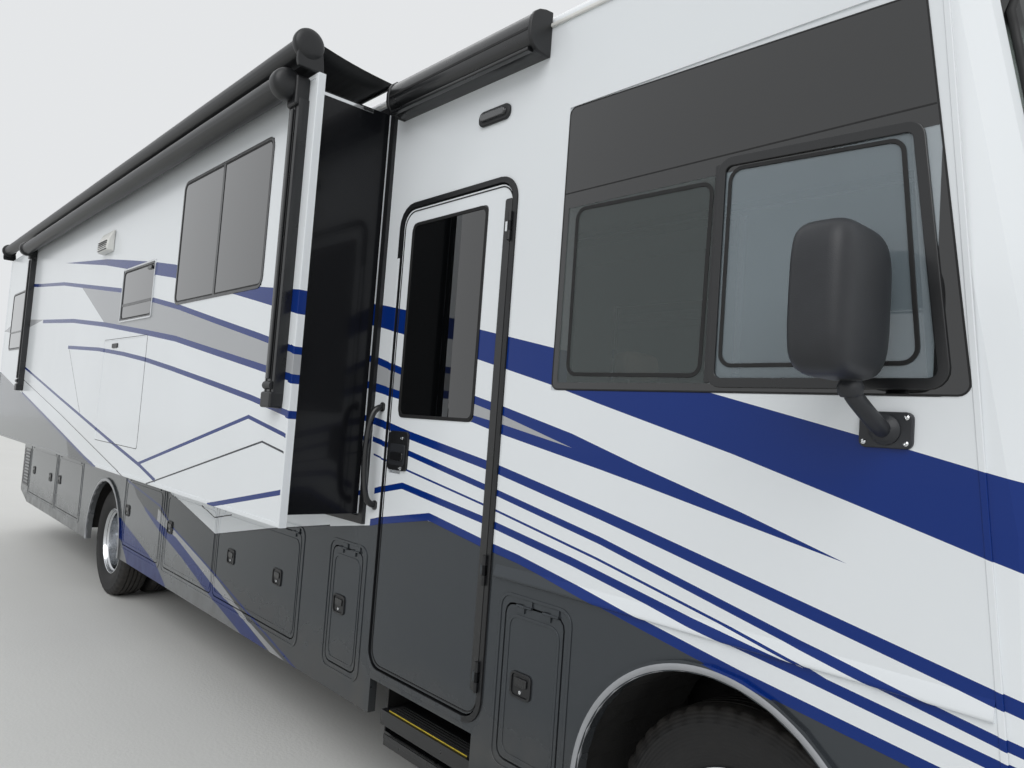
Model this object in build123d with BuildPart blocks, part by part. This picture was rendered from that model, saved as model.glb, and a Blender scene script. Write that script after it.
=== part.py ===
# Motorhome, built on a front-engine rail chassis, with a slide-out room on each side.
# Millimetres. x points forward, y to the driver's side, z up. The origin is on the ground,
# on the centre line, halfway along the coach.
from build123d import *
import math
import os

os.makedirs("parts", exist_ok=True)

# Overall sizes
COACH_LENGTH = 11840
COACH_WIDTH = 2565
FRONT_OVERHANG = 1150
WHEELBASE = 6500

# Heights above the ground
SKIRT_Z = 430
WALL_BASE_Z = 1190
WALL_TOP_Z = 3400
ROOF_SIDE_Z = 3520
ROOF_TOP_Z = 3555
FLOOR_T = 60

# Walls and gaps
WALL_T = 50
CAP_T = 40
GLASS_T = 6
DOOR_GAP = 8
SEAT_GAP = 0.3
# Numbers of sides of rods and pipes, of tubes and drums, and of the wheel arches
PIPE_SIDES = 8
TUBE_SIDES = 16
ARCH_SIDES = 32

# Wheels and tyres, 255/80 R22.5 on 22.5 inch rims
TYRE_R = 490
TYRE_W = 255
TREAD_W = 200
BEAD_R = 288
RIM_FLANGE_R = 300
RIM_W = 200
RIM_T = 12
SPINDLE_R = 38
FRONT_TYRE_Y = 965
REAR_OUTER_Y = 1090
TWIN_SPACING = 295
HAND_HOLES = 10
HAND_HOLE_R = 30

# Chassis rails
RAIL_TOP_Z = 960
RAIL_H = 240
RAIL_Y = 432
RAIL_FLANGE = 75
RAIL_T = 8
RAIL_FRONT_IN = 420
RAIL_REAR_IN = 240

# Steering
KINGPIN_Y = 850
KINGPIN_R = 20
EYE_R = 52
EYE_H = 110
FORK_T = 45
TIE_X = -190

# Front cap. The seam with the side walls leans back.
SEAM_LOW_IN = 396
SEAM_TILT = 0.101
SEAM_REF_Z = 1137
# Plan outlines of the cap. Columns: height, front set back from the nose, corner radius.
CAP_SECTIONS = [
    (SKIRT_Z, 60, 330),
    (900, 0, 340),
    (1650, 40, 340),
    (3050, 330, 300),
    (3380, 430, 280),
    (3600, 640, 250),
]
CAP_BOW = 90
CAP_CORNER_DEG = 72
CAP_CORNER_STEPS = 5
CAP_BOW_STEPS = 3
CAP_BACK_IN = 1150

# Derived places
HALF_W = COACH_WIDTH / 2
NOSE_X = COACH_LENGTH / 2
TAIL_X = -NOSE_X
FRONT_AXLE_X = NOSE_X - FRONT_OVERHANG
REAR_AXLE_X = FRONT_AXLE_X - WHEELBASE
AXLE_Z = TYRE_R
FLOOR_TOP_Z = WALL_BASE_Z + FLOOR_T
INNER_Y = HALF_W - WALL_T
SIDES = [("right", -1), ("left", 1)]


def seam_x(z):
    """Where the front cap meets the side wall at height z."""
    return NOSE_X - SEAM_LOW_IN - SEAM_TILT * (z - SEAM_REF_Z)


def save(part, name):
    """Label one sub-part and write its file."""
    part.label = name
    export_step(part, f"parts/{name}.step")


def middle(low, high):
    """Halfway between two values."""
    return (low + high) / 2


def soft_rectangle(centre, width, height, radius, steps=3):
    """Outline of a rectangle whose corners are rounded off in a few short runs."""
    points = []
    for turn, (way_x, way_y) in enumerate([(1, 1), (-1, 1), (-1, -1), (1, -1)]):
        corner_x = centre[0] + way_x * (width / 2 - radius)
        corner_y = centre[1] + way_y * (height / 2 - radius)
        for step in range(steps + 1):
            angle = math.radians(90 * (turn + step / steps))
            points.append((corner_x + radius * math.cos(angle), corner_y + radius * math.sin(angle)))
    with BuildLine() as outline:
        Polyline(*points, close=True)
    return outline.line


def box_between(x_range, y_range, z_range):
    """Solid box from three pairs of limits."""
    size = (x_range[1] - x_range[0], abs(y_range[1] - y_range[0]), z_range[1] - z_range[0])
    with BuildPart() as box:
        with Locations((middle(*x_range), middle(*y_range), middle(*z_range))):
            Box(*size)
    return box.part


def bar_along(start, way, length, radius, sides):
    """Straight many-sided bar from a point. way is x, y or z; radius is to the flats."""
    x_dir = (0, 1, 0) if way == "x" else (1, 0, 0)
    z_dir = {"x": (1, 0, 0), "y": (0, 1, 0), "z": (0, 0, 1)}[way]
    with BuildPart() as bar:
        with BuildSketch(Plane(origin=start, x_dir=x_dir, z_dir=z_dir)):
            RegularPolygon(radius, sides, major_radius=False, rotation=180 / sides)
        extrude(amount=length)
    return bar.part


# Rear cap
REAR_BUMPER_OUT = 90
REAR_CORNER_R = 130
REAR_CORNER_STEPS = 5
REAR_FACE_X = TAIL_X + REAR_BUMPER_OUT
REAR_CAP_X = REAR_FACE_X + REAR_CORNER_R
REAR_BASE_Z = 540
REAR_CUT_X = -5260

# Wheel arches. Columns: axle position, radius in the skirt, centre height, liner radius.
ARCHES = [
    (FRONT_AXLE_X, 505, 618, 585),
    (REAR_AXLE_X, 545, 500, 575),
]
LIP_W = 32
LIP_T = 14

# Storage bay doors. Columns: name, side, rear edge, front edge. Heights are shared.
BAY_LOW_Z = 560
BAY_HIGH_Z = 1150
BAY_CORNER_R = 45
BAYS = [
    ("bay_door_right_1", -1, 3845, 4165),
    ("bay_door_right_2", -1, 2495, 2795),
    ("bay_door_right_3", -1, 955, 2150),
    ("bay_door_right_4", -1, -60, 935),
    ("bay_door_right_5", -1, -1130, -160),
    ("bay_door_right_6", -1, -3730, -2660),
    ("bay_door_right_7", -1, -5240, -3810),
    ("bay_door_left_1", 1, 2450, 3950),
    ("bay_door_left_2", 1, -1130, 855),
    ("bay_door_left_3", 1, -5240, -3810),
]
SKIRT_T = 40
# Hinges on the top edges of the bay doors and on the front edge of the entry door
BAY_HINGE_OUT = 6
BAY_HINGE_R = 5
BAY_HINGE_Z = 1146
BAY_HINGE_IN = 90
HINGE_LEAF = 26
HINGE_KNUCKLE = 40
TRAY_T = 8
TRAY_BACK_Y = 500

# Entry door, with its black frame round it
ENTRY_REAR_X = 2890
ENTRY_FRONT_X = 3745
ENTRY_LOW_Z = 620
ENTRY_HIGH_Z = 2862
ENTRY_CORNER_R = 110
ENTRY_CORNER_STEPS = 5
ENTRY_WINDOW_R = 25
ENTRY_FRAME_W = 24
ENTRY_FRAME_OUT = 8
ENTRY_DOOR_T = 45
ENTRY_WINDOW = (2995, 3560, 1825, 2760)
ENTRY_HINGE_OUT = 14
ENTRY_HINGE_R = 9
ENTRY_HINGE_X = 3717
ENTRY_HINGE_HEIGHTS = [820, 1240, 2640]
STEP_WELL_TOP_Z = 590

# Slide-out rooms, shown run out. Columns: side, rear end, front end of the outer panel.
SLIDE_LOW_Z = 1285
SLIDE_HIGH_Z = 3410
SLIDE_FLANGE = 42
SLIDE_PANEL_T = 35
SLIDE_WALL_T = 35
SLIDE_TRAVEL = 390
SLIDE_TRIM_OUT = 20
SLIDE_STAND_OFF = 5
SLIDE_IN = 120
SLIDES = [
    ("right", -1, -5100, 2785),
    ("left", 1, -300, 3300),
]
# Windows in the slide-outs. Columns: side, rear edge, front edge, low edge, high edge.
SLIDE_WINDOWS = [
    (-1, 1070, 2350, 2437, 3200),
    (-1, -100, 610, 2395, 2757),
    (-1, -4700, -3950, 2300, 2950),
    (1, 300, 1300, 2150, 2950),
    (1, 1700, 2700, 2150, 2950),
]
TOPPER_R = 55
TOPPER_CAP_R = 78
TOPPER_OUT = 50
AWNING_R = 58
AWNING_CAP_R = 75
AWNING_ARM_W = 100
AWNING_ARM_T = 55
AWNING_FRONT_X = 2660
AWNING_REAR_X = -3600
AWNING_ARM_LOW_Z = 1825

# Cab windows, one on each side, and wall windows. Heights of the black panel.
CAB_GLASS_REAR_X = 4010
CAB_GLASS_LOW_Z = 1967
CAB_GLASS_SPLIT_Z = 2685
CAB_GLASS_HIGH_Z = 3060
CAB_GLASS_PILLAR = 75
# Columns: side, rear edge, front edge, low edge, high edge.
WALL_WINDOWS = [
    (1, -4700, -3800, 2150, 2900),
    (1, -2600, -1700, 2150, 2900),
    (-1, -5620, -5260, 2150, 2850),
]


# Ladder chassis: two channel rails, tubes between them and floor beams over them
RAIL_FRONT_X = NOSE_X - RAIL_FRONT_IN
RAIL_REAR_X = TAIL_X + RAIL_REAR_IN
RAIL_LOW_Z = RAIL_TOP_Z - RAIL_H
RAIL_LENGTH = RAIL_FRONT_X - RAIL_REAR_X
BEAM_T = 60
BEAM_STATIONS = [5440, 3790, 2845, 1500, 250, -970, -2560, -3780, -5300]
CROSS_TUBE_R = 45
CROSS_TUBE_STATIONS = [5390, 2600, 400, -2600, -5200]
CROSS_TUBE_DROP = 75

with BuildPart() as chassis_frame:
    for name, side in SIDES:
        with BuildSketch(Plane.YZ.offset(RAIL_REAR_X)):
            with Locations((side * (RAIL_Y - RAIL_FLANGE / 2), RAIL_TOP_Z - RAIL_H / 2)):
                Rectangle(RAIL_FLANGE, RAIL_H)
            with Locations((side * (RAIL_Y - RAIL_T - RAIL_FLANGE / 2), RAIL_TOP_Z - RAIL_H / 2)):
                Rectangle(RAIL_FLANGE, RAIL_H - 2 * RAIL_T, mode=Mode.SUBTRACT)
        extrude(amount=RAIL_LENGTH)
    tube_end = RAIL_Y - RAIL_T - SEAT_GAP
    for x in CROSS_TUBE_STATIONS:
        tube_start = (x, -tube_end, RAIL_TOP_Z - CROSS_TUBE_DROP)
        add(bar_along(tube_start, "y", 2 * tube_end, CROSS_TUBE_R, PIPE_SIDES))
    for x in BEAM_STATIONS:
        add(
            box_between(
                (x - BEAM_T / 2, x + BEAM_T / 2),
                (-INNER_Y, INNER_Y),
                (RAIL_TOP_Z + SEAT_GAP, WALL_BASE_Z),
            )
        )
save(chassis_frame.part, "chassis_frame")

# Leaf springs hang from the rails on brackets and carry an axle at their middle.
SPRING_HALF = 620
SPRING_T = 50
SPRING_W = 70
SPRING_EYE_Z = RAIL_LOW_Z - 90
SPRING_SAG = 60
SPRING_FLAT = 200
SPRING_Y = RAIL_Y - RAIL_FLANGE / 2
BRACKET_W = 60


def springs(axle_x):
    """A pair of bowed leaf packs with brackets up to the rails."""
    with BuildPart() as pair:
        for name, side in SIDES:
            with BuildSketch(Plane.XZ.offset(-side * SPRING_Y - SPRING_W / 2)):
                with BuildLine():
                    Polyline(
                        (axle_x - SPRING_HALF, SPRING_EYE_Z),
                        (axle_x - SPRING_FLAT, SPRING_EYE_Z - SPRING_SAG),
                        (axle_x + SPRING_FLAT, SPRING_EYE_Z - SPRING_SAG),
                        (axle_x + SPRING_HALF, SPRING_EYE_Z),
                        (axle_x + SPRING_HALF, SPRING_EYE_Z + SPRING_T / 2),
                        (axle_x + SPRING_FLAT, SPRING_EYE_Z - SPRING_SAG + SPRING_T),
                        (axle_x - SPRING_FLAT, SPRING_EYE_Z - SPRING_SAG + SPRING_T),
                        (axle_x - SPRING_HALF, SPRING_EYE_Z + SPRING_T / 2),
                        close=True,
                    )
                make_face()
            extrude(amount=SPRING_W)
            with Locations(
                (axle_x - SPRING_HALF, side * SPRING_Y, RAIL_LOW_Z),
                (axle_x + SPRING_HALF, side * SPRING_Y, RAIL_LOW_Z),
            ):
                Box(BRACKET_W, SPRING_W, RAIL_LOW_Z - SPRING_EYE_Z + SPRING_T / 2,
                    align=(Align.CENTER, Align.CENTER, Align.MAX))
    return pair.part


# Front axle: a dropped I-beam with an upright eye at each end for the kingpin
BEAM_TOP_Z = SPRING_EYE_Z - SPRING_SAG + 2
BEAM_H = 90
BEAM_W = 90

with BuildPart() as front_axle:
    add(springs(FRONT_AXLE_X))
    with BuildSketch(Plane.YZ.offset(FRONT_AXLE_X - BEAM_W / 2)):
        with BuildLine():
            Polyline(
                (-KINGPIN_Y, AXLE_Z + 40),
                (-KINGPIN_Y + 120, AXLE_Z + 40),
                (-SPRING_Y - 80, BEAM_TOP_Z),
                (SPRING_Y + 80, BEAM_TOP_Z),
                (KINGPIN_Y - 120, AXLE_Z + 40),
                (KINGPIN_Y, AXLE_Z + 40),
                (KINGPIN_Y, AXLE_Z - 40),
                (KINGPIN_Y - 120, AXLE_Z - 40),
                (SPRING_Y + 80, BEAM_TOP_Z - BEAM_H),
                (-SPRING_Y - 80, BEAM_TOP_Z - BEAM_H),
                (-KINGPIN_Y + 120, AXLE_Z - 40),
                (-KINGPIN_Y, AXLE_Z - 40),
                close=True,
            )
        make_face()
    extrude(amount=BEAM_W)
    for name, side in SIDES:
        add(bar_along((FRONT_AXLE_X, side * KINGPIN_Y, AXLE_Z - EYE_H / 2), "z", EYE_H, EYE_R, PIPE_SIDES))
        with Locations((FRONT_AXLE_X, side * KINGPIN_Y, AXLE_Z)):
            Cylinder(KINGPIN_R + SEAT_GAP, EYE_H * 2, mode=Mode.SUBTRACT)

# Rear axle: a banjo housing with the bowl at its middle and a spindle at each end
AXLE_TUBE_R = 68
BANJO_R = 205
BANJO_W = 300
AXLE_TUBE_END_Y = 640
REAR_SPINDLE_END_Y = REAR_OUTER_Y

with BuildPart() as rear_axle:
    add(springs(REAR_AXLE_X))
    with Locations(Location((REAR_AXLE_X, 0, AXLE_Z), (90, 0, 0))):
        Cylinder(SPINDLE_R, 2 * REAR_SPINDLE_END_Y)
    tube_start = (REAR_AXLE_X, -AXLE_TUBE_END_Y, AXLE_Z)
    add(bar_along(tube_start, "y", 2 * AXLE_TUBE_END_Y, AXLE_TUBE_R, TUBE_SIDES))
    add(bar_along((REAR_AXLE_X - BANJO_W / 4, 0, AXLE_Z), "x", BANJO_W / 2, BANJO_R, TUBE_SIDES))
    with Locations((REAR_AXLE_X, SPRING_Y, AXLE_Z), (REAR_AXLE_X, -SPRING_Y, AXLE_Z)):
        Box(120, SPRING_W, SPRING_EYE_Z - SPRING_SAG + 2 - AXLE_Z,
            align=(Align.CENTER, Align.CENTER, Align.MIN))

# Engine and gearbox, closed inside and so one plain block each
ENGINE_LENGTH = 950
ENGINE_W = 640
ENGINE_LOW_Z = 640
ENGINE_H = 740
ENGINE_REAR_X = FRONT_AXLE_X - 480
GEARBOX_LENGTH = 950
GEARBOX_W = 420
GEARBOX_H = 360
SHAFT_Z = 800

with BuildPart() as engine_block:
    with Locations((ENGINE_REAR_X, 0, ENGINE_LOW_Z)):
        Box(ENGINE_LENGTH, ENGINE_W, ENGINE_H, align=(Align.MIN, Align.CENTER, Align.MIN))
    with Locations((ENGINE_REAR_X + 1, 0, SHAFT_Z)):
        Box(GEARBOX_LENGTH, GEARBOX_W, GEARBOX_H - 60, align=(Align.MAX, Align.CENTER, Align.CENTER))
    chamfer(engine_block.edges().filter_by(Axis.X), 30)
save(engine_block.part, "engine_block")

# Propeller shaft from the gearbox to the bowl of the rear axle
SHAFT_R = 50
GEARBOX_REAR_X = ENGINE_REAR_X + 1 - GEARBOX_LENGTH
BANJO_FRONT_X = REAR_AXLE_X + BANJO_W / 4

with BuildPart() as drive_shaft:
    with BuildSketch(Plane.YZ.offset(GEARBOX_REAR_X - SEAT_GAP)):
        with Locations((0, SHAFT_Z)):
            RegularPolygon(SHAFT_R, PIPE_SIDES)
    with BuildSketch(Plane.YZ.offset(BANJO_FRONT_X + SEAT_GAP)):
        with Locations((0, AXLE_Z)):
            RegularPolygon(SHAFT_R, PIPE_SIDES)
    loft(ruled=True)

with BuildPart() as axles:
    add(front_axle.part)
    add(rear_axle.part)
    add(drive_shaft.part)
save(axles.part, "axles")

# Exhaust: a pipe from the engine, a silencer, and a pipe over the axle to the tail
EXHAUST_Y = 270
EXHAUST_R = 38
SILENCER_R = 110
SILENCER_LENGTH = 900
SILENCER_FRONT_X = 2000
EXHAUST_Z = ENGINE_LOW_Z - EXHAUST_R - SEAT_GAP
EXHAUST_HUMP_Z = 815
EXHAUST_TAIL_IN = 700
EXHAUST_START_X = ENGINE_REAR_X + 200

with BuildPart() as exhaust:
    with BuildLine():
        pipe_path = Polyline(
            (EXHAUST_START_X, EXHAUST_Y, EXHAUST_Z),
            (REAR_AXLE_X + 700, EXHAUST_Y, EXHAUST_Z),
            (REAR_AXLE_X + 350, EXHAUST_Y, EXHAUST_HUMP_Z),
            (REAR_AXLE_X - 350, EXHAUST_Y, EXHAUST_HUMP_Z),
            (REAR_AXLE_X - 700, EXHAUST_Y, EXHAUST_Z),
            (TAIL_X + EXHAUST_TAIL_IN, EXHAUST_Y, EXHAUST_Z),
            (TAIL_X + EXHAUST_TAIL_IN - 140, EXHAUST_Y, EXHAUST_Z - 150),
        )
    with BuildSketch(Plane(origin=pipe_path @ 0, x_dir=(0, 1, 0), z_dir=pipe_path % 0)):
        RegularPolygon(EXHAUST_R, PIPE_SIDES)
    sweep(transition=Transition.RIGHT)
    with BuildSketch(Plane.YZ.offset(SILENCER_FRONT_X)):
        with Locations((EXHAUST_Y, EXHAUST_Z)):
            RegularPolygon(SILENCER_R, TUBE_SIDES)
    extrude(amount=-SILENCER_LENGTH)
save(exhaust.part, "exhaust")

# Fuel tank between the rails, and flat water tanks among the floor beams
FUEL_TANK_W = 520
FUEL_TANK_LENGTH = 1500
FUEL_TANK_FRONT_X = -2900
FUEL_TANK_LOW_Z = 520
FUEL_TANK_RIGHT_Y = -(RAIL_Y - RAIL_FLANGE - 3)
WATER_TANK_Y = 980
WATER_TANK_H = 210

with BuildPart() as tanks:
    with Locations((FUEL_TANK_FRONT_X, FUEL_TANK_RIGHT_Y, RAIL_TOP_Z - SEAT_GAP)):
        Box(FUEL_TANK_LENGTH, FUEL_TANK_W, RAIL_TOP_Z - FUEL_TANK_LOW_Z,
            align=(Align.MAX, Align.MIN, Align.MAX))
    chamfer(tanks.edges().filter_by(Axis.X), 50)
    for first, second in [(3, 4), (4, 5)]:
        front = BEAM_STATIONS[first] - BEAM_T / 2 - SEAT_GAP
        rear = BEAM_STATIONS[second] + BEAM_T / 2 + SEAT_GAP
        with Locations(((front + rear) / 2, 0, RAIL_TOP_Z)):
            Box(front - rear, 2 * WATER_TANK_Y, WATER_TANK_H,
                align=(Align.CENTER, Align.CENTER, Align.MIN))
save(tanks.part, "tanks")

# Cross-section of the body, as a closed outline set in from the outside by any amount
ROOF_FLAT_Y = 450
ROOF_EDGE_R = 100


def body_outline(inset, low_z):
    """Closed outline across the coach: upright sides, rounded roof edges, flat crown."""
    half = HALF_W - inset
    edge = ROOF_EDGE_R - inset
    side_top = ROOF_SIDE_Z - ROOF_EDGE_R
    corner = edge * math.sqrt(0.5)
    with BuildLine() as outline:
        Polyline((-half, side_top), (-half, low_z), (half, low_z), (half, side_top))
        ThreePointArc(
            (half, side_top),
            (half - edge + corner, side_top + corner),
            (half - edge, side_top + edge),
        )
        Polyline(
            (half - edge, side_top + edge),
            (ROOF_FLAT_Y, ROOF_TOP_Z - inset),
            (-ROOF_FLAT_Y, ROOF_TOP_Z - inset),
            (-half + edge, side_top + edge),
        )
        ThreePointArc(
            (-half + edge, side_top + edge),
            (-half + edge - corner, side_top + corner),
            (-half, side_top),
        )
    return outline.line


def body_block(inset, low_z, rear_x, front_x):
    """Solid of the body's cross-section between two places."""
    with BuildPart() as block:
        with BuildSketch(Plane.YZ.offset(rear_x)):
            add(body_outline(inset, low_z))
            make_face()
        extrude(amount=front_x - rear_x)
    return block.part


# Front cap. Its outside and inside are stacked plan outlines, cut by the body's cross-section.
CAP_BACK_X = NOSE_X - CAP_BACK_IN


def cap_outline(front_in, corner_r, inset):
    """Closed plan outline of the cap: rounded corners and a bowed front, in short straight runs."""
    half = HALF_W - inset
    front = NOSE_X - front_in - inset
    corner = corner_r - inset
    side_x = front - CAP_BOW - corner
    turn = math.radians(CAP_CORNER_DEG)
    near_side = []
    for step in range(CAP_CORNER_STEPS + 1):
        angle = turn * step / CAP_CORNER_STEPS
        near_side.append((side_x + corner * math.sin(angle), half - corner * (1 - math.cos(angle))))
    end_x, end_y = near_side[-1]
    rise = front - end_x
    bow_r = (end_y**2 + rise**2) / (2 * rise)
    for step in range(1, CAP_BOW_STEPS + 1):
        y = end_y * (1 - step / CAP_BOW_STEPS)
        near_side.append((front - bow_r + math.sqrt(bow_r**2 - y**2), y))
    far_side = [(x, -y) for x, y in reversed(near_side[:-1])]
    with BuildLine() as outline:
        Polyline((CAP_BACK_X, half), *near_side, *far_side, (CAP_BACK_X, -half), close=True)
    return outline.line


def cap_block(inset):
    """Solid nose of the coach, set in from the outside by any amount."""
    with BuildPart() as nose:
        for z, front_in, corner_r in CAP_SECTIONS:
            with BuildSketch(Plane.XY.offset(z)):
                add(cap_outline(front_in, corner_r, inset))
                make_face()
        loft(ruled=True)
        add(body_block(inset, SKIRT_Z, CAP_BACK_X, NOSE_X + CAP_BOW), mode=Mode.INTERSECT)
    return nose.part


def ahead_of_seam():
    """Block that holds all that lies ahead of the leaning seam."""
    with BuildPart() as ahead:
        with BuildSketch(Plane.XZ.offset(-COACH_WIDTH)):
            with BuildLine():
                Polyline(
                    (seam_x(0), 0),
                    (seam_x(2 * ROOF_TOP_Z), 2 * ROOF_TOP_Z),
                    (NOSE_X + COACH_WIDTH, 2 * ROOF_TOP_Z),
                    (NOSE_X + COACH_WIDTH, 0),
                    close=True,
                )
            make_face()
        extrude(amount=2 * COACH_WIDTH)
    return ahead.part


# Windscreen: wraps both corners, and its ends lean back with the pillars.
SCREEN_LOW_Z = 1800
SCREEN_HIGH_Z = 3060
SCREEN_LOW_IN = 258
SCREEN_TILT = 0.193
# Headlamps wrap the corners too.
LAMP_LOW_Z = 930
LAMP_HIGH_Z = 1170
LAMP_INNER_Y = 790
LAMP_REAR_IN = 330
LAMP_T = 40
# Grille and air intake in the nose. Columns: half width, low edge, high edge, bar count.
GRILLES = [
    (640, 800, 1270, 6),
    (760, 500, 670, 2),
]
GRILLE_BAR = 26
GRILLE_RIM = 28
GRILLE_CORNER = 20
CUT_X = NOSE_X - 500


def screen_block():
    """Block across the nose that the windscreen fills."""
    with BuildPart() as block:
        with BuildSketch(Plane.XZ.offset(-COACH_WIDTH)):
            with BuildLine():
                low_x = NOSE_X - SCREEN_LOW_IN
                high_x = low_x - SCREEN_TILT * (SCREEN_HIGH_Z - SCREEN_LOW_Z)
                Polyline(
                    (low_x, SCREEN_LOW_Z),
                    (high_x, SCREEN_HIGH_Z),
                    (NOSE_X + CAP_BOW, SCREEN_HIGH_Z),
                    (NOSE_X + CAP_BOW, SCREEN_LOW_Z),
                    close=True,
                )
            make_face()
        extrude(amount=2 * COACH_WIDTH)
    return block.part


def lamp_blocks():
    """Two blocks, one at each corner of the nose, that the headlamps fill."""
    with BuildPart() as blocks:
        for name, side in SIDES:
            with BuildSketch(Plane.YZ.offset(NOSE_X - LAMP_REAR_IN)):
                with BuildLine():
                    Polyline(
                        (side * LAMP_INNER_Y, LAMP_LOW_Z + 40),
                        (side * LAMP_INNER_Y, LAMP_HIGH_Z - 20),
                        (side * (HALF_W + CAP_BOW), LAMP_HIGH_Z + 30),
                        (side * (HALF_W + CAP_BOW), LAMP_LOW_Z),
                        close=True,
                    )
                make_face()
            extrude(amount=LAMP_REAR_IN + CAP_BOW)
    return blocks.part


def grille_blocks():
    """Blocks through the nose for the grille and the air intake."""
    with BuildPart() as blocks:
        for half, low, high, bars in GRILLES:
            with BuildSketch(Plane.YZ.offset(CUT_X)) as hole:
                with Locations((0, middle(low, high))):
                    Rectangle(2 * half, high - low)
                chamfer(hole.vertices(), GRILLE_CORNER)
            extrude(amount=NOSE_X + CAP_BOW - CUT_X)
    return blocks.part


cap_outer = cap_block(0)

with BuildPart() as front_cap:
    add(cap_outer)
    add(cap_block(CAP_T), mode=Mode.SUBTRACT)
    add(ahead_of_seam(), mode=Mode.INTERSECT)
    add(screen_block(), mode=Mode.SUBTRACT)
    add(lamp_blocks(), mode=Mode.SUBTRACT)
    add(grille_blocks(), mode=Mode.SUBTRACT)
save(front_cap.part, "front_cap")

with BuildPart() as windscreen:
    add(cap_outer)
    add(cap_block(GLASS_T), mode=Mode.SUBTRACT)
    add(screen_block(), mode=Mode.INTERSECT)
save(windscreen.part, "windscreen")

with BuildPart() as headlamps:
    add(cap_outer)
    add(cap_block(LAMP_T), mode=Mode.SUBTRACT)
    add(lamp_blocks(), mode=Mode.INTERSECT)

with BuildPart() as grille:
    for half, low, high, bars in GRILLES:
        with BuildSketch(Plane.YZ.offset(CUT_X)) as ring:
            with Locations((0, middle(low, high))):
                Rectangle(2 * half, high - low)
            chamfer(ring.vertices(), GRILLE_CORNER)
            with Locations((0, middle(low, high))):
                Rectangle(2 * (half - GRILLE_RIM), high - low - 2 * GRILLE_RIM, mode=Mode.SUBTRACT)
                with GridLocations(0, (high - low) / (bars + 1), 1, bars):
                    Rectangle(2 * half - GRILLE_RIM, GRILLE_BAR)
        extrude(amount=NOSE_X + CAP_BOW - CUT_X)
    add(cap_outer, mode=Mode.INTERSECT)
    add(cap_block(CAP_T), mode=Mode.SUBTRACT)
save(grille.part, "grille")

# Side walls: flat panels from the rear cap to the seam, with every opening cut
SLIDE_OPEN_GAP = 10


def bay_hinge_places(rear, front):
    """Distances along the coach of a bay door's two hinges."""
    return (rear + BAY_HINGE_IN, front - BAY_HINGE_IN)


def bay_hinges(side, rear, front, door_side):
    """Barrels and leaves of one door's hinges: the door's round ones or the skirt's next to them."""
    axis_y = side * (HALF_W + BAY_HINGE_OUT)
    shift = 0 if door_side else HINGE_KNUCKLE + SEAT_GAP
    if door_side:
        leaf_z = (BAY_HINGE_Z - HINGE_LEAF, BAY_HINGE_Z)
    else:
        leaf_z = (BAY_HINGE_Z, BAY_HINGE_Z + HINGE_LEAF)
    with BuildPart() as hinges:
        for hinge_x in bay_hinge_places(rear, front):
            start_x = hinge_x + shift - HINGE_KNUCKLE / 2
            if door_side:
                with Locations(Location((hinge_x, axis_y, BAY_HINGE_Z), (0, 90, 0))):
                    Cylinder(BAY_HINGE_R, HINGE_KNUCKLE)
            else:
                add(bar_along((start_x, axis_y, BAY_HINGE_Z), "x", HINGE_KNUCKLE, BAY_HINGE_R, PIPE_SIDES))
            add(
                box_between(
                    (start_x, start_x + HINGE_KNUCKLE),
                    sorted((side * (HALF_W - 1), axis_y)),
                    leaf_z,
                )
            )
    return hinges.part


def side_plane(side, out=0):
    """Upright plane on the outside of one side wall, moved outwards by any amount."""
    return Plane.XZ.offset(-side * (HALF_W + out))


def slide_opening(rear_x, front_x):
    """Corners of the hole for one slide-out: rear, front, low, high."""
    return (
        rear_x + SLIDE_FLANGE,
        front_x - SLIDE_FLANGE,
        SLIDE_LOW_Z + SLIDE_FLANGE,
        SLIDE_HIGH_Z - SLIDE_FLANGE,
    )


def entry_outline(inset):
    """Centre and size of the entry opening, set in on every edge."""
    centre = (middle(ENTRY_REAR_X, ENTRY_FRONT_X), middle(ENTRY_LOW_Z, ENTRY_HIGH_Z))
    width = ENTRY_FRONT_X - ENTRY_REAR_X - 2 * inset
    height = ENTRY_HIGH_Z - ENTRY_LOW_Z - 2 * inset
    return centre, width, height, ENTRY_CORNER_R - inset


def cab_glass_points(inset):
    """Corners of the cab side window, whose front edge leans with the seam."""
    low = CAB_GLASS_LOW_Z + inset
    high = CAB_GLASS_HIGH_Z - inset
    return [
        (CAB_GLASS_REAR_X + inset, low),
        (seam_x(low) - CAB_GLASS_PILLAR - inset, low),
        (seam_x(high) - CAB_GLASS_PILLAR - inset, high),
        (CAB_GLASS_REAR_X + inset, high),
    ]


CAB_GLASS_REBATE = 30
WINDOW_R = 60
WINDOW_FRAME_W = 30
# Windows in the side walls and slide-outs are one black pane in a rebate over a smaller hole.

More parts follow.
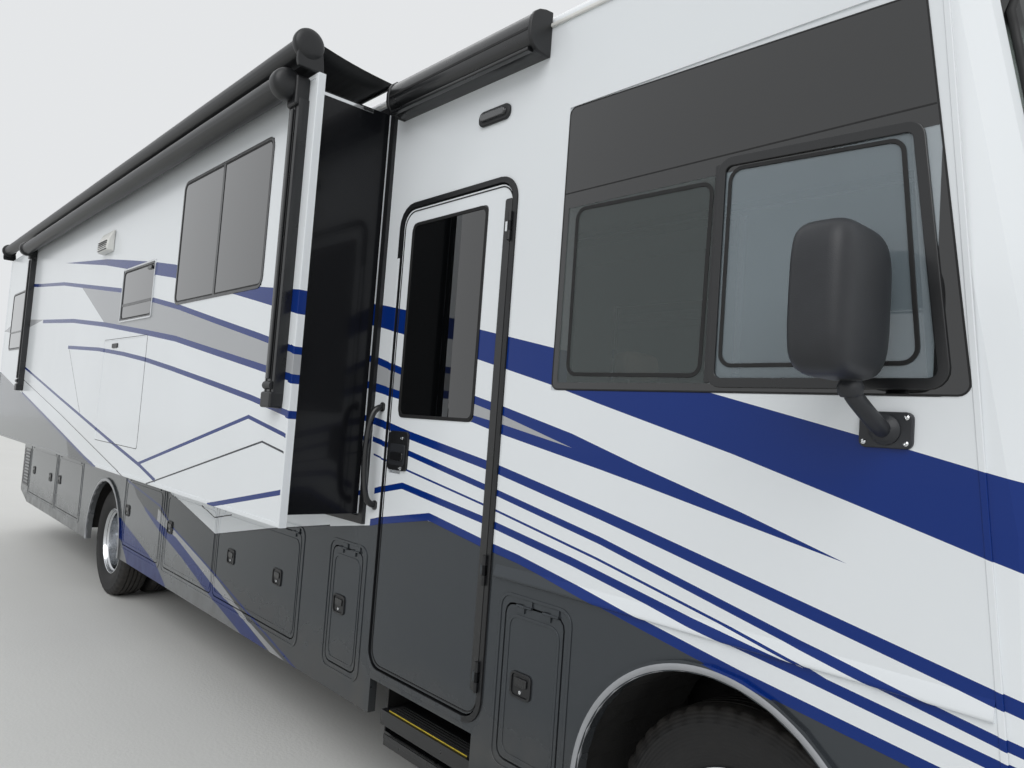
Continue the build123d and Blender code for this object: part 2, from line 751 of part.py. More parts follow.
for side_name, side in SIDES:
    with BuildPart() as side_wall:
        with BuildSketch(side_plane(side)):
            with BuildLine():
                Polyline(
                    (REAR_CAP_X, WALL_BASE_Z),
                    (seam_x(WALL_BASE_Z), WALL_BASE_Z),
                    (seam_x(WALL_TOP_Z), WALL_TOP_Z),
                    (REAR_CAP_X, WALL_TOP_Z),
                    close=True,
                )
            make_face()
            for slide_name, slide_side, rear_x, front_x in SLIDES:
                if slide_side == side:
                    rear, front, low, high = slide_opening(rear_x, front_x)
                    with Locations((middle(rear, front), middle(low, high))):
                        Rectangle(front - rear, high - low, mode=Mode.SUBTRACT)
            for window_side, rear, front, low, high in WALL_WINDOWS:
                if window_side == side:
                    add(soft_rectangle((middle(rear, front), middle(low, high)),
                                       front - rear - 2 * WINDOW_FRAME_W,
                                       high - low - 2 * WINDOW_FRAME_W,
                                       WINDOW_R - WINDOW_FRAME_W / 2))
                    make_face(mode=Mode.SUBTRACT)
            if side < 0:
                add(soft_rectangle(*entry_outline(0), ENTRY_CORNER_STEPS))
                make_face(mode=Mode.SUBTRACT)
            with BuildLine():
                low = CAB_GLASS_LOW_Z + CAB_GLASS_REBATE
                high = CAB_GLASS_SPLIT_Z - CAB_GLASS_REBATE
                Polyline(
                    (CAB_GLASS_REAR_X + CAB_GLASS_REBATE, low),
                    (seam_x(low) - CAB_GLASS_PILLAR - CAB_GLASS_REBATE, low),
                    (seam_x(high) - CAB_GLASS_PILLAR - CAB_GLASS_REBATE, high),
                    (CAB_GLASS_REAR_X + CAB_GLASS_REBATE, high),
                    close=True,
                )
            make_face(mode=Mode.SUBTRACT)
        extrude(amount=side * WALL_T)
        with BuildSketch(side_plane(side)):
            with BuildLine():
                Polyline(*cab_glass_points(0), close=True)
            make_face()
            for window_side, rear, front, low, high in WALL_WINDOWS:
                if window_side == side:
                    add(soft_rectangle((middle(rear, front), middle(low, high)),
                                       front - rear, high - low, WINDOW_R))
                    make_face()
        extrude(amount=side * GLASS_T, mode=Mode.SUBTRACT)
    save(side_wall.part, f"{side_name}_wall")

# Fixed glass of the side walls, flush in its rebates
with BuildPart() as side_glass:
    for side_name, side in SIDES:
        with BuildSketch(side_plane(side)):
            with BuildLine():
                Polyline(*cab_glass_points(1), close=True)
            make_face()
            for window_side, rear, front, low, high in WALL_WINDOWS:
                if window_side == side:
                    add(soft_rectangle((middle(rear, front), middle(low, high)),
                                       front - rear - 2, high - low - 2, WINDOW_R - 1))
                    make_face()
        extrude(amount=side * GLASS_T)

save(side_glass.part, "side_glass")

# Skirts below the walls: wheel arches with raised lips, and holes for the bay doors
for side_name, side in SIDES:
    with BuildPart() as skirt:
        with BuildSketch(side_plane(side)):
            with BuildLine():
                Polyline(
                    (REAR_CAP_X, WALL_BASE_Z),
                    (REAR_CAP_X, REAR_BASE_Z),
                    (REAR_CUT_X, SKIRT_Z),
                    (seam_x(SKIRT_Z), SKIRT_Z),
                    (seam_x(WALL_BASE_Z), WALL_BASE_Z),
                    close=True,
                )
            make_face()
        extrude(amount=side * SKIRT_T)
        for axle_x, radius, centre_z, liner_r in ARCHES:
            with BuildSketch(side_plane(side)):
                with Locations((axle_x, centre_z)):
                    RegularPolygon(radius + LIP_W, ARCH_SIDES)
                with Locations((axle_x, centre_z)):
                    Rectangle(2 * (radius + LIP_W), radius + LIP_W,
                              align=(Align.CENTER, Align.MAX), mode=Mode.SUBTRACT)
                with Locations((axle_x, SKIRT_Z)):
                    Rectangle(2 * (radius + LIP_W), centre_z - SKIRT_Z,
                              align=(Align.CENTER, Align.MIN))
            extrude(amount=-side * LIP_T)
        with BuildSketch(side_plane(side, LIP_T)):
            for axle_x, radius, centre_z, liner_r in ARCHES:
                with Locations((axle_x, centre_z)):
                    RegularPolygon(radius, ARCH_SIDES)
                with Locations((axle_x, 0)):
                    Rectangle(2 * radius, centre_z, align=(Align.CENTER, Align.MIN))
            for bay_name, bay_side, rear, front in BAYS:
                if bay_side == side:
                    add(soft_rectangle((middle(rear, front), middle(BAY_LOW_Z, BAY_HIGH_Z)),
                                       front - rear, BAY_HIGH_Z - BAY_LOW_Z, BAY_CORNER_R))
                    make_face()
            if side < 0:
                centre, width, height, corner = entry_outline(0)
                add(soft_rectangle(centre, width, height, corner, ENTRY_CORNER_STEPS))
                make_face()
                with Locations((middle(ENTRY_REAR_X, ENTRY_FRONT_X), 0)):
                    Rectangle(width - 2 * WALL_T, STEP_WELL_TOP_Z,
                              align=(Align.CENTER, Align.MIN))
        extrude(amount=side * (SKIRT_T + LIP_T), mode=Mode.SUBTRACT)
        for bay_name, bay_side, rear, front in BAYS:
            if bay_side == side:
                add(bay_hinges(side, rear, front, False))
    save(skirt.part, f"{side_name}_skirt")

# Roof: a slab of the body's cross-section over the walls
with BuildPart() as roof:
    add(body_block(0, WALL_TOP_Z, REAR_CAP_X, NOSE_X))
    with Locations((REAR_CAP_X, 0, 0)):
        Box(NOSE_X - REAR_CAP_X, 2 * (HALF_W - ROOF_EDGE_R), WALL_TOP_Z + WALL_T,
            align=(Align.MIN, Align.CENTER, Align.MIN), mode=Mode.SUBTRACT)
    add(ahead_of_seam(), mode=Mode.SUBTRACT)
save(roof.part, "roof")


def tail_block(inset):
    """Solid tail of the coach with rounded corners, set in by any amount."""
    front_x = REAR_CAP_X + REAR_CORNER_R
    face_x = REAR_FACE_X + inset
    low_z = REAR_BASE_Z - inset
    top_z = ROOF_TOP_Z - inset
    half = HALF_W - inset
    radius = REAR_CORNER_R - inset
    angles = [math.radians(90 * step / REAR_CORNER_STEPS) for step in range(REAR_CORNER_STEPS + 1)]
    corner = [(radius * (1 - math.sin(angle)), radius * (1 - math.cos(angle))) for angle in angles]
    near_side = [(face_x + ahead, half - inward) for ahead, inward in corner]
    far_side = [(x, -y) for x, y in reversed(near_side)]
    top_edge = [(face_x + ahead, top_z - down) for ahead, down in corner]
    with BuildPart() as tail:
        with BuildSketch(Plane.XY):
            with BuildLine():
                Polyline((front_x, half), *near_side, *far_side, (front_x, -half), close=True)
            make_face()
        extrude(amount=2 * ROOF_TOP_Z)
        with BuildSketch(Plane.XZ.offset(-COACH_WIDTH)):
            with BuildLine():
                Polyline((front_x, low_z), (front_x, top_z), *top_edge, (face_x, low_z), close=True)
            make_face()
        extrude(amount=2 * COACH_WIDTH, mode=Mode.INTERSECT)
        add(body_block(inset, low_z, REAR_FACE_X, front_x), mode=Mode.INTERSECT)
    return tail.part


# Rear cap: a moulded shell round the tail
with BuildPart() as rear_cap:
    add(tail_block(0))
    add(tail_block(CAP_T), mode=Mode.SUBTRACT)
    with Locations((REAR_CAP_X, 0, 0)):
        Box(COACH_WIDTH, 2 * COACH_WIDTH, 2 * ROOF_TOP_Z,
            align=(Align.MIN, Align.CENTER, Align.MIN), mode=Mode.SUBTRACT)
save(rear_cap.part, "rear_cap")

# Lamps: the two headlamps and a tall lamp at each side of the tail
TAIL_LAMP_Y = 1075
TAIL_LAMP_W = 110
TAIL_LAMP_Z = (1150, 1750)
TAIL_LAMP_T = 20

with BuildPart() as lamps:
    add(headlamps.part)
    with Locations(
        (REAR_FACE_X - SEAT_GAP, TAIL_LAMP_Y, middle(*TAIL_LAMP_Z)),
        (REAR_FACE_X - SEAT_GAP, -TAIL_LAMP_Y, middle(*TAIL_LAMP_Z)),
    ):
        Box(TAIL_LAMP_T, TAIL_LAMP_W, TAIL_LAMP_Z[1] - TAIL_LAMP_Z[0],
            align=(Align.MAX, Align.CENTER, Align.CENTER))
save(lamps.part, "lamps")

# Floor: one slab with the engine cover and the entry steps formed in it
COVER_T = 15
COVER_SIDE_GAP = 100
COVER_REAR_X = ENGINE_REAR_X - 60
COVER_W = ENGINE_W + 2 * COVER_SIDE_GAP
COVER_TOP_Z = ENGINE_LOW_Z + ENGINE_H + 120
FLOOR_FRONT_X = NOSE_X - 490
COVER_LENGTH = FLOOR_FRONT_X - COVER_REAR_X
RUNNER_W = 120
RUNNER_LENGTH = 70
STAIR_T = 15
STAIR_RUN = 240
STAIR_STEPS = 3
STAIR_LOW_Z = ENTRY_LOW_Z + ENTRY_FRAME_W
STAIR_RISE = (FLOOR_TOP_Z - STAIR_LOW_Z) / STAIR_STEPS
STAIR_REAR_X = ENTRY_REAR_X + ENTRY_FRAME_W
STAIR_FRONT_X = ENTRY_FRONT_X - ENTRY_FRAME_W
STEP_RAIL_T = 10
STEP_RAIL_REAR_X = 3030
STEP_RAIL_FRONT_X = 3690
STEP_RAIL_LOW_Z = 395
STEP_RAIL_LENGTH = 420
FLOOR_Y = INNER_Y - SEAT_GAP


def stair_outline():
    """Corners of the folded stair sheet, seen along the coach, from the sill inwards."""
    top = [(-FLOOR_Y, STAIR_LOW_Z)]
    under = [(-FLOOR_Y, STAIR_LOW_Z - STAIR_T)]
    y = -FLOOR_Y
    z = STAIR_LOW_Z
    for step in range(STAIR_STEPS):
        y += STAIR_RUN
        top.append((y, z))
        under.append((y + STAIR_T, z - STAIR_T))
        z += STAIR_RISE
        top.append((y, z))
        under.append((y + STAIR_T, z - STAIR_T))
    under[-1] = (y + STAIR_T, z)
    return top + under[::-1]


with BuildPart() as floor:
    with Locations((REAR_CAP_X, 0, WALL_BASE_Z)):
        Box(FLOOR_FRONT_X - REAR_CAP_X, 2 * FLOOR_Y, FLOOR_T,
            align=(Align.MIN, Align.CENTER, Align.MIN))
    with Locations((COVER_REAR_X, 0, WALL_BASE_Z)):
        Box(COVER_LENGTH, COVER_W, COVER_TOP_Z - WALL_BASE_Z,
            align=(Align.MIN, Align.CENTER, Align.MIN))
    with Locations((COVER_REAR_X + COVER_T, 0, WALL_BASE_Z)):
        Box(COVER_LENGTH - 2 * COVER_T, COVER_W - 2 * COVER_T, COVER_TOP_Z - WALL_BASE_Z - COVER_T,
            align=(Align.MIN, Align.CENTER, Align.MIN), mode=Mode.SUBTRACT)
    with Locations((STAIR_REAR_X, -FLOOR_Y, WALL_BASE_Z)):
        Box(STAIR_FRONT_X - STAIR_REAR_X, STAIR_STEPS * STAIR_RUN, FLOOR_T,
            align=(Align.MIN, Align.MIN, Align.MIN), mode=Mode.SUBTRACT)
    with BuildSketch(Plane.YZ.offset(STAIR_REAR_X)):
        with BuildLine():
            Polyline(*stair_outline(), close=True)
        make_face()
    extrude(amount=STAIR_FRONT_X - STAIR_REAR_X)
    for cheek_x in (STAIR_REAR_X, STAIR_FRONT_X - STAIR_T):
        with Locations((cheek_x, -FLOOR_Y, STAIR_LOW_Z)):
            Box(STAIR_T, STAIR_STEPS * STAIR_RUN, FLOOR_TOP_Z - STAIR_LOW_Z,
                align=(Align.MIN, Align.MIN, Align.MIN))
    for rail_x in (STEP_RAIL_REAR_X - STEP_RAIL_T, STEP_RAIL_FRONT_X):
        with Locations((rail_x, -FLOOR_Y, STEP_RAIL_LOW_Z)):
            Box(STEP_RAIL_T, STEP_RAIL_LENGTH, STAIR_LOW_Z - STEP_RAIL_LOW_Z - STAIR_T / 2,
                align=(Align.MIN, Align.MIN, Align.MIN))
    for side_name, side, rear_x, front_x in SLIDES:
        rear, front, low, high = slide_opening(rear_x, front_x)
        runner_top = low + SLIDE_OPEN_GAP - SEAT_GAP
        for part_way in (0.1, 0.5, 0.9):
            with Locations((rear + part_way * (front - rear), side * FLOOR_Y, FLOOR_TOP_Z - 1)):
                Box(RUNNER_W, RUNNER_LENGTH, runner_top - FLOOR_TOP_Z + 1,
                    align=(Align.CENTER, Align.MAX if side > 0 else Align.MIN, Align.MIN))
save(floor.part, "floor")

# Wheelhouses: half-round liners over the wheels, against the skirts
LINER_T = 8
LINER_INNER_Y = 620
LINER_UP = 40

with BuildPart() as wheelhouses:
    for axle_x, radius, centre_z, liner_r in ARCHES:
        with BuildSketch(Plane.XZ.offset(LINER_INNER_Y)):
            with Locations((axle_x, AXLE_Z + LINER_UP)):
                RegularPolygon(liner_r + LINER_T, ARCH_SIDES)
                RegularPolygon(liner_r, ARCH_SIDES, mode=Mode.SUBTRACT)
                Rectangle(3 * liner_r, 2 * liner_r, align=(Align.CENTER, Align.MAX), mode=Mode.SUBTRACT)
        extrude(amount=HALF_W - SKIRT_T - SEAT_GAP - LINER_INNER_Y)
    mirror(about=Plane.XZ)
save(wheelhouses.part, "wheelhouses")

# Storage trays: open boxes behind the bay doors, hung under the floor beams
TRAY_SIDE = 4
TRAY_TOP_Z = RAIL_TOP_Z - SEAT_GAP
TRAY_LOW_Z = BAY_LOW_Z - 14
TRAY_OUT_Y = HALF_W - SKIRT_T - SEAT_GAP

with BuildPart() as storage_trays:
    for bay_name, side, rear, front in BAYS:
        end_rear = rear - TRAY_SIDE
        end_front = front + TRAY_SIDE
        out_y = side * TRAY_OUT_Y
        back_y = side * TRAY_BACK_Y
        back_front_y = side * (TRAY_BACK_Y + TRAY_T)
        wall_low_z = TRAY_LOW_Z + TRAY_T + SEAT_GAP
        end_y = (back_front_y + side * SEAT_GAP, out_y)
        sheets = [
            ((end_rear, end_front), (back_y, out_y), (TRAY_LOW_Z, TRAY_LOW_Z + TRAY_T)),
            ((end_rear, end_front), (back_y, back_front_y), (wall_low_z, TRAY_TOP_Z)),
            ((end_rear, end_rear + TRAY_T), end_y, (wall_low_z, TRAY_TOP_Z)),
            ((end_front - TRAY_T, end_front), end_y, (wall_low_z, TRAY_TOP_Z)),
        ]
        for x_range, y_range, z_range in sheets:
            add(box_between(x_range, y_range, z_range))
save(storage_trays.part, "storage_trays")

# Bay doors: flush panels as thick as the skirt, each hung on its top edge
for bay_name, side, rear, front in BAYS:
    with BuildPart() as bay_door:
        with BuildSketch(side_plane(side)):
            add(soft_rectangle((middle(rear, front), middle(BAY_LOW_Z, BAY_HIGH_Z)),
                               front - rear - 2 * DOOR_GAP, BAY_HIGH_Z - BAY_LOW_Z - 2 * DOOR_GAP,
                               BAY_CORNER_R - DOOR_GAP))
            make_face()
        extrude(amount=side * SKIRT_T)
        add(bay_hinges(side, rear, front, True))
    save(bay_door.part, bay_name)

ENTRY_HINGE_CLEAR = 5

# Black frame round the entry door, let into the wall and standing a little proud
with BuildPart() as entry_frame:
    with BuildSketch(side_plane(-1, ENTRY_FRAME_OUT)):
        add(soft_rectangle(*entry_outline(SEAT_GAP), ENTRY_CORNER_STEPS))
        make_face()
        add(soft_rectangle(*entry_outline(ENTRY_FRAME_W), ENTRY_CORNER_STEPS))
        make_face(mode=Mode.SUBTRACT)
    extrude(amount=-(WALL_T + ENTRY_FRAME_OUT))
    for hinge_z in ENTRY_HINGE_HEIGHTS:
        barrel_foot = (ENTRY_HINGE_X, -HALF_W - ENTRY_HINGE_OUT, hinge_z - 1.5 * HINGE_KNUCKLE)
        add(bar_along(barrel_foot, "z", 3 * HINGE_KNUCKLE, ENTRY_HINGE_R, PIPE_SIDES))
        with Locations((ENTRY_HINGE_X, -HALF_W - ENTRY_HINGE_OUT, hinge_z)):
            notch = 2 * (ENTRY_HINGE_R + ENTRY_HINGE_CLEAR)
            Box(notch, notch, HINGE_KNUCKLE + 2 * SEAT_GAP, mode=Mode.SUBTRACT)

# Entry door with a hole for its window, and a recess for its latch
ENTRY_EDGE = ENTRY_FRAME_W + DOOR_GAP
LATCH_X = 3000
LATCH_Z = 1655
LATCH_W = 95
LATCH_H = 190
LATCH_DEEP = 18

with BuildPart() as entry_door:
    with BuildSketch(side_plane(-1)):
        add(soft_rectangle(*entry_outline(ENTRY_EDGE), ENTRY_CORNER_STEPS))
        make_face()
    extrude(amount=-ENTRY_DOOR_T)
    rear, front, low, high = ENTRY_WINDOW
    window_centre = (middle(rear, front), middle(low, high))
    with BuildSketch(side_plane(-1)):
        add(soft_rectangle(window_centre, front - rear - 2 * WINDOW_FRAME_W,
                           high - low - 2 * WINDOW_FRAME_W, ENTRY_WINDOW_R / 2))
        make_face()
    extrude(amount=-ENTRY_DOOR_T, mode=Mode.SUBTRACT)
    with BuildSketch(side_plane(-1)):
        add(soft_rectangle(window_centre, front - rear, high - low, ENTRY_WINDOW_R))
        make_face()
    extrude(amount=-GLASS_T, mode=Mode.SUBTRACT)
    with BuildSketch(side_plane(-1)):
        with Locations((LATCH_X, LATCH_Z)):
            Rectangle(LATCH_W, LATCH_H)
    extrude(amount=-LATCH_DEEP, mode=Mode.SUBTRACT)
    for hinge_z in ENTRY_HINGE_HEIGHTS:
        with Locations((ENTRY_HINGE_X, -HALF_W - ENTRY_HINGE_OUT, hinge_z)):
            Cylinder(ENTRY_HINGE_R, HINGE_KNUCKLE)
            Box(HINGE_LEAF, ENTRY_HINGE_OUT + 1, HINGE_KNUCKLE,
                align=(Align.MAX, Align.MIN, Align.CENTER))
save(entry_door.part, "entry_door")

with BuildPart() as entry_door_glass:
    with BuildSketch(side_plane(-1)):
        add(soft_rectangle(window_centre, front - rear - 2, high - low - 2, ENTRY_WINDOW_R - 1))
        make_face()
    extrude(amount=-GLASS_T)
save(entry_door_glass.part, "entry_door_glass")

# Entry step: two treads between runners, run in under the door
STEP_OUT_Y = 1268
STEP_DEPTH = 270
STEP_RUNNER_T = 8
STEP_LIP_H = 65
TREAD_T = 20
STEP_TOP_Z = 474
STEP_LOW_TOP_Z = 372
STEP_SET_BACK = 25

with BuildPart() as entry_step:
    inner_rear = STEP_RAIL_REAR_X + SEAT_GAP
    inner_front = STEP_RAIL_FRONT_X - SEAT_GAP
    for top_z, set_back in ((STEP_TOP_Z, 0), (STEP_LOW_TOP_Z, STEP_SET_BACK)):
        with Locations((middle(inner_rear, inner_front), -STEP_OUT_Y + set_back, top_z)):
            Box(inner_front - inner_rear, STEP_DEPTH, TREAD_T,
                align=(Align.CENTER, Align.MIN, Align.MAX))
            Box(inner_front - inner_rear, TREAD_T, STEP_LIP_H,
                align=(Align.CENTER, Align.MIN, Align.MAX))
    for runner_x in (inner_rear, inner_front - STEP_RUNNER_T):
        with Locations((runner_x, -STEP_OUT_Y + STEP_SET_BACK, STEP_TOP_Z)):
            Box(STEP_RUNNER_T, STEP_DEPTH + STEP_SET_BACK, STEP_TOP_Z - STEP_LOW_TOP_Z + STEP_LIP_H,
                align=(Align.MIN, Align.MIN, Align.MAX))
save(entry_step.part, "entry_step")

# Slide-out rooms: an outer panel with a flange, and a five-sided room behind it, open inwards
SLIDE_INNER_FACE = HALF_W + SLIDE_TRIM_OUT + SLIDE_STAND_OFF + SLIDE_TRAVEL
SLIDE_OUTER_FACE = SLIDE_INNER_FACE + SLIDE_PANEL_T
TOPPER_Y = SLIDE_OUTER_FACE + TOPPER_OUT
TOPPER_Z = SLIDE_HIGH_Z + 118
TOPPER_CAP_T = 40


toppers = []

for side_name, side, rear_x, front_x in SLIDES:
    rear, front, low, high = slide_opening(rear_x, front_x)
    windows = [w for w in SLIDE_WINDOWS if w[0] == side]
    with BuildPart() as room:
        with BuildSketch(side_plane(side, SLIDE_OUTER_FACE - HALF_W)):
            with Locations((middle(rear_x, front_x), middle(SLIDE_LOW_Z, SLIDE_HIGH_Z))):
                Rectangle(front_x - rear_x, SLIDE_HIGH_Z - SLIDE_LOW_Z)
        extrude(amount=side * SLIDE_PANEL_T)
        for inset in (SLIDE_OPEN_GAP, SLIDE_OPEN_GAP + SLIDE_WALL_T):
            hollow = inset > SLIDE_OPEN_GAP
            add(
                box_between(
                    (rear + inset, front - inset),
                    (side * (HALF_W - SLIDE_IN - hollow), side * SLIDE_INNER_FACE),
                    (low + inset, high - inset),
                ),
                mode=Mode.SUBTRACT if hollow else Mode.ADD,
            )
        for window_side, w_rear, w_front, w_low, w_high in windows:
            with BuildSketch(side_plane(side, SLIDE_OUTER_FACE - HALF_W)):
                with Locations((middle(w_rear, w_front), middle(w_low, w_high))):
                    Rectangle(w_front - w_rear - 2 * WINDOW_FRAME_W, w_high - w_low - 2 * WINDOW_FRAME_W)
            extrude(amount=side * SLIDE_PANEL_T, mode=Mode.SUBTRACT)
            with BuildSketch(side_plane(side, SLIDE_OUTER_FACE - HALF_W)):
                with Locations((middle(w_rear, w_front), middle(w_low, w_high))):
                    Rectangle(w_front - w_rear, w_high - w_low)
            extrude(amount=side * GLASS_T, mode=Mode.SUBTRACT)
    save(room.part, f"{side_name}_slide_room")

    with BuildPart() as slide_glass:
        with BuildSketch(side_plane(side, SLIDE_OUTER_FACE - HALF_W)):
            for window_side, w_rear, w_front, w_low, w_high in windows:
                with Locations((middle(w_rear, w_front), middle(w_low, w_high))):
                    Rectangle(w_front - w_rear - 2, w_high - w_low - 2)
        extrude(amount=side * GLASS_T)
    save(slide_glass.part, f"{side_name}_slide_glass")

    # Topper: the roller over the slide-out, held by a plate at each end
    with BuildPart() as topper:
        add(bar_along((rear_x, side * TOPPER_Y, TOPPER_Z), "x", front_x - rear_x, TOPPER_R, TUBE_SIDES))
        for cap_x in (rear_x, front_x - TOPPER_CAP_T):
            add(bar_along((cap_x, side * TOPPER_Y, TOPPER_Z), "x", TOPPER_CAP_T, TOPPER_CAP_R, TUBE_SIDES))
            add(
                box_between(
                    (cap_x, cap_x + TOPPER_CAP_T),
                    sorted((side * (SLIDE_OUTER_FACE - SLIDE_PANEL_T), side * TOPPER_Y)),
                    (SLIDE_HIGH_Z + SEAT_GAP, TOPPER_Z),
                )
            )
    toppers.append(topper.part)

# Patio awning on the right slide-out: a roller between two folded arms on the outer panel
AWNING_OUT = 95
AWNING_Y = SLIDE_OUTER_FACE + AWNING_OUT
AWNING_Z = SLIDE_HIGH_Z - 55
AWNING_CAP_T = 70
AWNING_SEAT_Y = SLIDE_OUTER_FACE + SEAT_GAP

with BuildPart() as right_awnings:
    add(toppers[0])
    awning_length = AWNING_FRONT_X - AWNING_REAR_X
    add(bar_along((AWNING_REAR_X, -AWNING_Y, AWNING_Z), "x", awning_length, AWNING_R, TUBE_SIDES))
    for arm_x in (AWNING_REAR_X, AWNING_FRONT_X):
        cap_start = (arm_x - AWNING_CAP_T / 2, -AWNING_Y, AWNING_Z)
        add(bar_along(cap_start, "x", AWNING_CAP_T, AWNING_CAP_R, TUBE_SIDES))
        add(
            box_between(
                (arm_x - AWNING_ARM_W / 2, arm_x + AWNING_ARM_W / 2),
                (-AWNING_SEAT_Y - AWNING_ARM_T, -AWNING_SEAT_Y),
                (AWNING_ARM_LOW_Z, AWNING_Z),
            )
        )
save(right_awnings.part, "right_awnings")

with BuildPart() as left_topper:
    add(toppers[1])
save(left_topper.part, "left_topper")

# Trims round the openings: the entry door frame and a band round each slide-out
with BuildPart() as opening_trims:
    add(entry_frame.part)
    for side_name, side, rear_x, front_x in SLIDES:
        rear, front, low, high = slide_opening(rear_x, front_x)
        with BuildSketch(side_plane(side, SLIDE_TRIM_OUT)):
            with Locations((middle(rear, front), middle(low, high))):
                Rectangle(front - rear + 2 * SLIDE_FLANGE - 10, high - low + 2 * SLIDE_FLANGE - 10)
                Rectangle(front - rear, high - low, mode=Mode.SUBTRACT)
        extrude(amount=side * SLIDE_TRIM_OUT)
save(opening_trims.part, "opening_trims")


# Wheels, built up from many-sided rings, with a flat of the tread on the ground
TYRE_SIDES = 32
RIM_SIDES = 20
HUB_SIDES = 16


def ring_stack(stations, sides):
    """Solid through many-sided rings along y about the origin. Stations: place, radius to the flats."""
    with BuildPart() as stack:
        for out_y, radius in stations:
            with BuildSketch(Plane(origin=(0, out_y, 0), x_dir=(1, 0, 0), z_dir=(0, 1, 0))):
                RegularPolygon(radius, sides, major_radius=False, rotation=180 / sides)
        loft(ruled=True)
    return stack.part


# One tyre about the origin: flat tread, sloped shoulders, and side walls that fall in to the beads
TYRE_MIDDLE_R = middle(BEAD_R, TYRE_R)
BEAD_Y = RIM_W / 2 - SEAT_GAP

with BuildPart() as tyre:
    half_w = TYRE_W / 2
    half_tread = TREAD_W / 2
    add(ring_stack([(-half_w, TYRE_MIDDLE_R), (-half_tread, TYRE_R), (half_tread, TYRE_R),
                    (half_w, TYRE_MIDDLE_R)], TYRE_SIDES))
    for way in (-1, 1):
        recess = [(way * BEAD_Y, RIM_FLANGE_R + 2), (way * (half_w + 1), TYRE_MIDDLE_R - 20)]
        add(ring_stack(recess, RIM_SIDES), mode=Mode.SUBTRACT)
    add(ring_stack([(-TYRE_W, BEAD_R), (TYRE_W, BEAD_R)], RIM_SIDES), mode=Mode.SUBTRACT)

# Where the bolting face of a rim lies, out from the rim's middle
DISC_OFFSET = 135
DISC_T = 14
DISC_FLAT_R = 175
DISC_ROOT_Y = 60
HAND_HOLE_PCR = 222
HUB_BODY_R = 90
HUB_OUT = 55
BRAKE_R = 195
BRAKE_T = 60


HUB_INNER_END = 20


def rim(holes):
    """One rim about the origin: a barrel with two flanges, and a dished disc that bulges to +y."""
    half = RIM_W / 2
    barrel_r = BEAD_R - RIM_T
    with BuildPart() as wheel:
        add(ring_stack([(-half, BEAD_R - SEAT_GAP), (half, BEAD_R - SEAT_GAP)], RIM_SIDES))
        for near, far in ((-half - RIM_T, -half), (half, half + RIM_T)):
            add(ring_stack([(near, RIM_FLANGE_R), (far, RIM_FLANGE_R)], RIM_SIDES))
        add(ring_stack([(-TYRE_W, barrel_r), (TYRE_W, barrel_r)], RIM_SIDES), mode=Mode.SUBTRACT)
        with BuildPart() as disc:
            add(ring_stack([(DISC_ROOT_Y, barrel_r + 2), (DISC_OFFSET, DISC_FLAT_R)], RIM_SIDES))
            add(ring_stack([(DISC_ROOT_Y - DISC_T, barrel_r + 2), (DISC_OFFSET - DISC_T, DISC_FLAT_R)],
                           RIM_SIDES), mode=Mode.SUBTRACT)
            if holes:
                with BuildSketch(Plane.XZ.offset(-DISC_OFFSET - 1)):
                    with PolarLocations(HAND_HOLE_PCR, HAND_HOLES):
                        RegularPolygon(HAND_HOLE_R, 6)
                extrude(amount=DISC_OFFSET, mode=Mode.SUBTRACT)
        add(disc.part)
    return wheel.part


def on_axle(part, axle_x, centre_y, flipped):
    """A wheel's piece moved to its axle, and turned round where it bulges to -y."""
    turn = 180 if flipped else 0
    return Location((axle_x, centre_y, AXLE_Z), (0, 0, turn)) * part


holed_rim = rim(True)
plain_rim = rim(False)
FRONT_SPINDLE_END = FRONT_TYRE_Y + DISC_OFFSET - 5
REAR_INNER_Y = REAR_OUTER_Y - TWIN_SPACING
REAR_HUB_IN = AXLE_TUBE_END_Y + 10

# Front wheel about its own middle: rim, hub and brake drum on a bore for the spindle
with BuildPart() as front_wheel:
    add(holed_rim)
    hub_start = (0, -HUB_INNER_END, 0)
    add(bar_along(hub_start, "y", HUB_INNER_END + DISC_OFFSET + HUB_OUT, HUB_BODY_R, TUBE_SIDES))
    add(bar_along(hub_start, "y", BRAKE_T, BRAKE_R, TUBE_SIDES))
    with Locations(Location((0, -HUB_INNER_END - 1, 0), (-90, 0, 0))):
        Cylinder(SPINDLE_R + SEAT_GAP, HUB_INNER_END + DISC_OFFSET, mode=Mode.SUBTRACT,
                 align=(Align.CENTER, Align.CENTER, Align.MIN))

# Rear twin wheels about the centre line of the coach, for the left side
with BuildPart() as twin_wheels:
    add(Location((0, REAR_OUTER_Y, 0), (0, 0, 180)) * holed_rim)
    add(Location((0, REAR_INNER_Y, 0)) * plain_rim)
    hub_start = (0, REAR_HUB_IN, 0)
    add(bar_along(hub_start, "y", REAR_OUTER_Y + HUB_OUT - REAR_HUB_IN, HUB_BODY_R, TUBE_SIDES))
    add(bar_along(hub_start, "y", 2 * BRAKE_T, BRAKE_R, TUBE_SIDES))
    with Locations(Location((0, REAR_HUB_IN - 1, 0), (-90, 0, 0))):
        Cylinder(SPINDLE_R + SEAT_GAP, REAR_SPINDLE_END_Y - REAR_HUB_IN + 3, mode=Mode.SUBTRACT,
                 align=(Align.CENTER, Align.CENTER, Align.MIN))

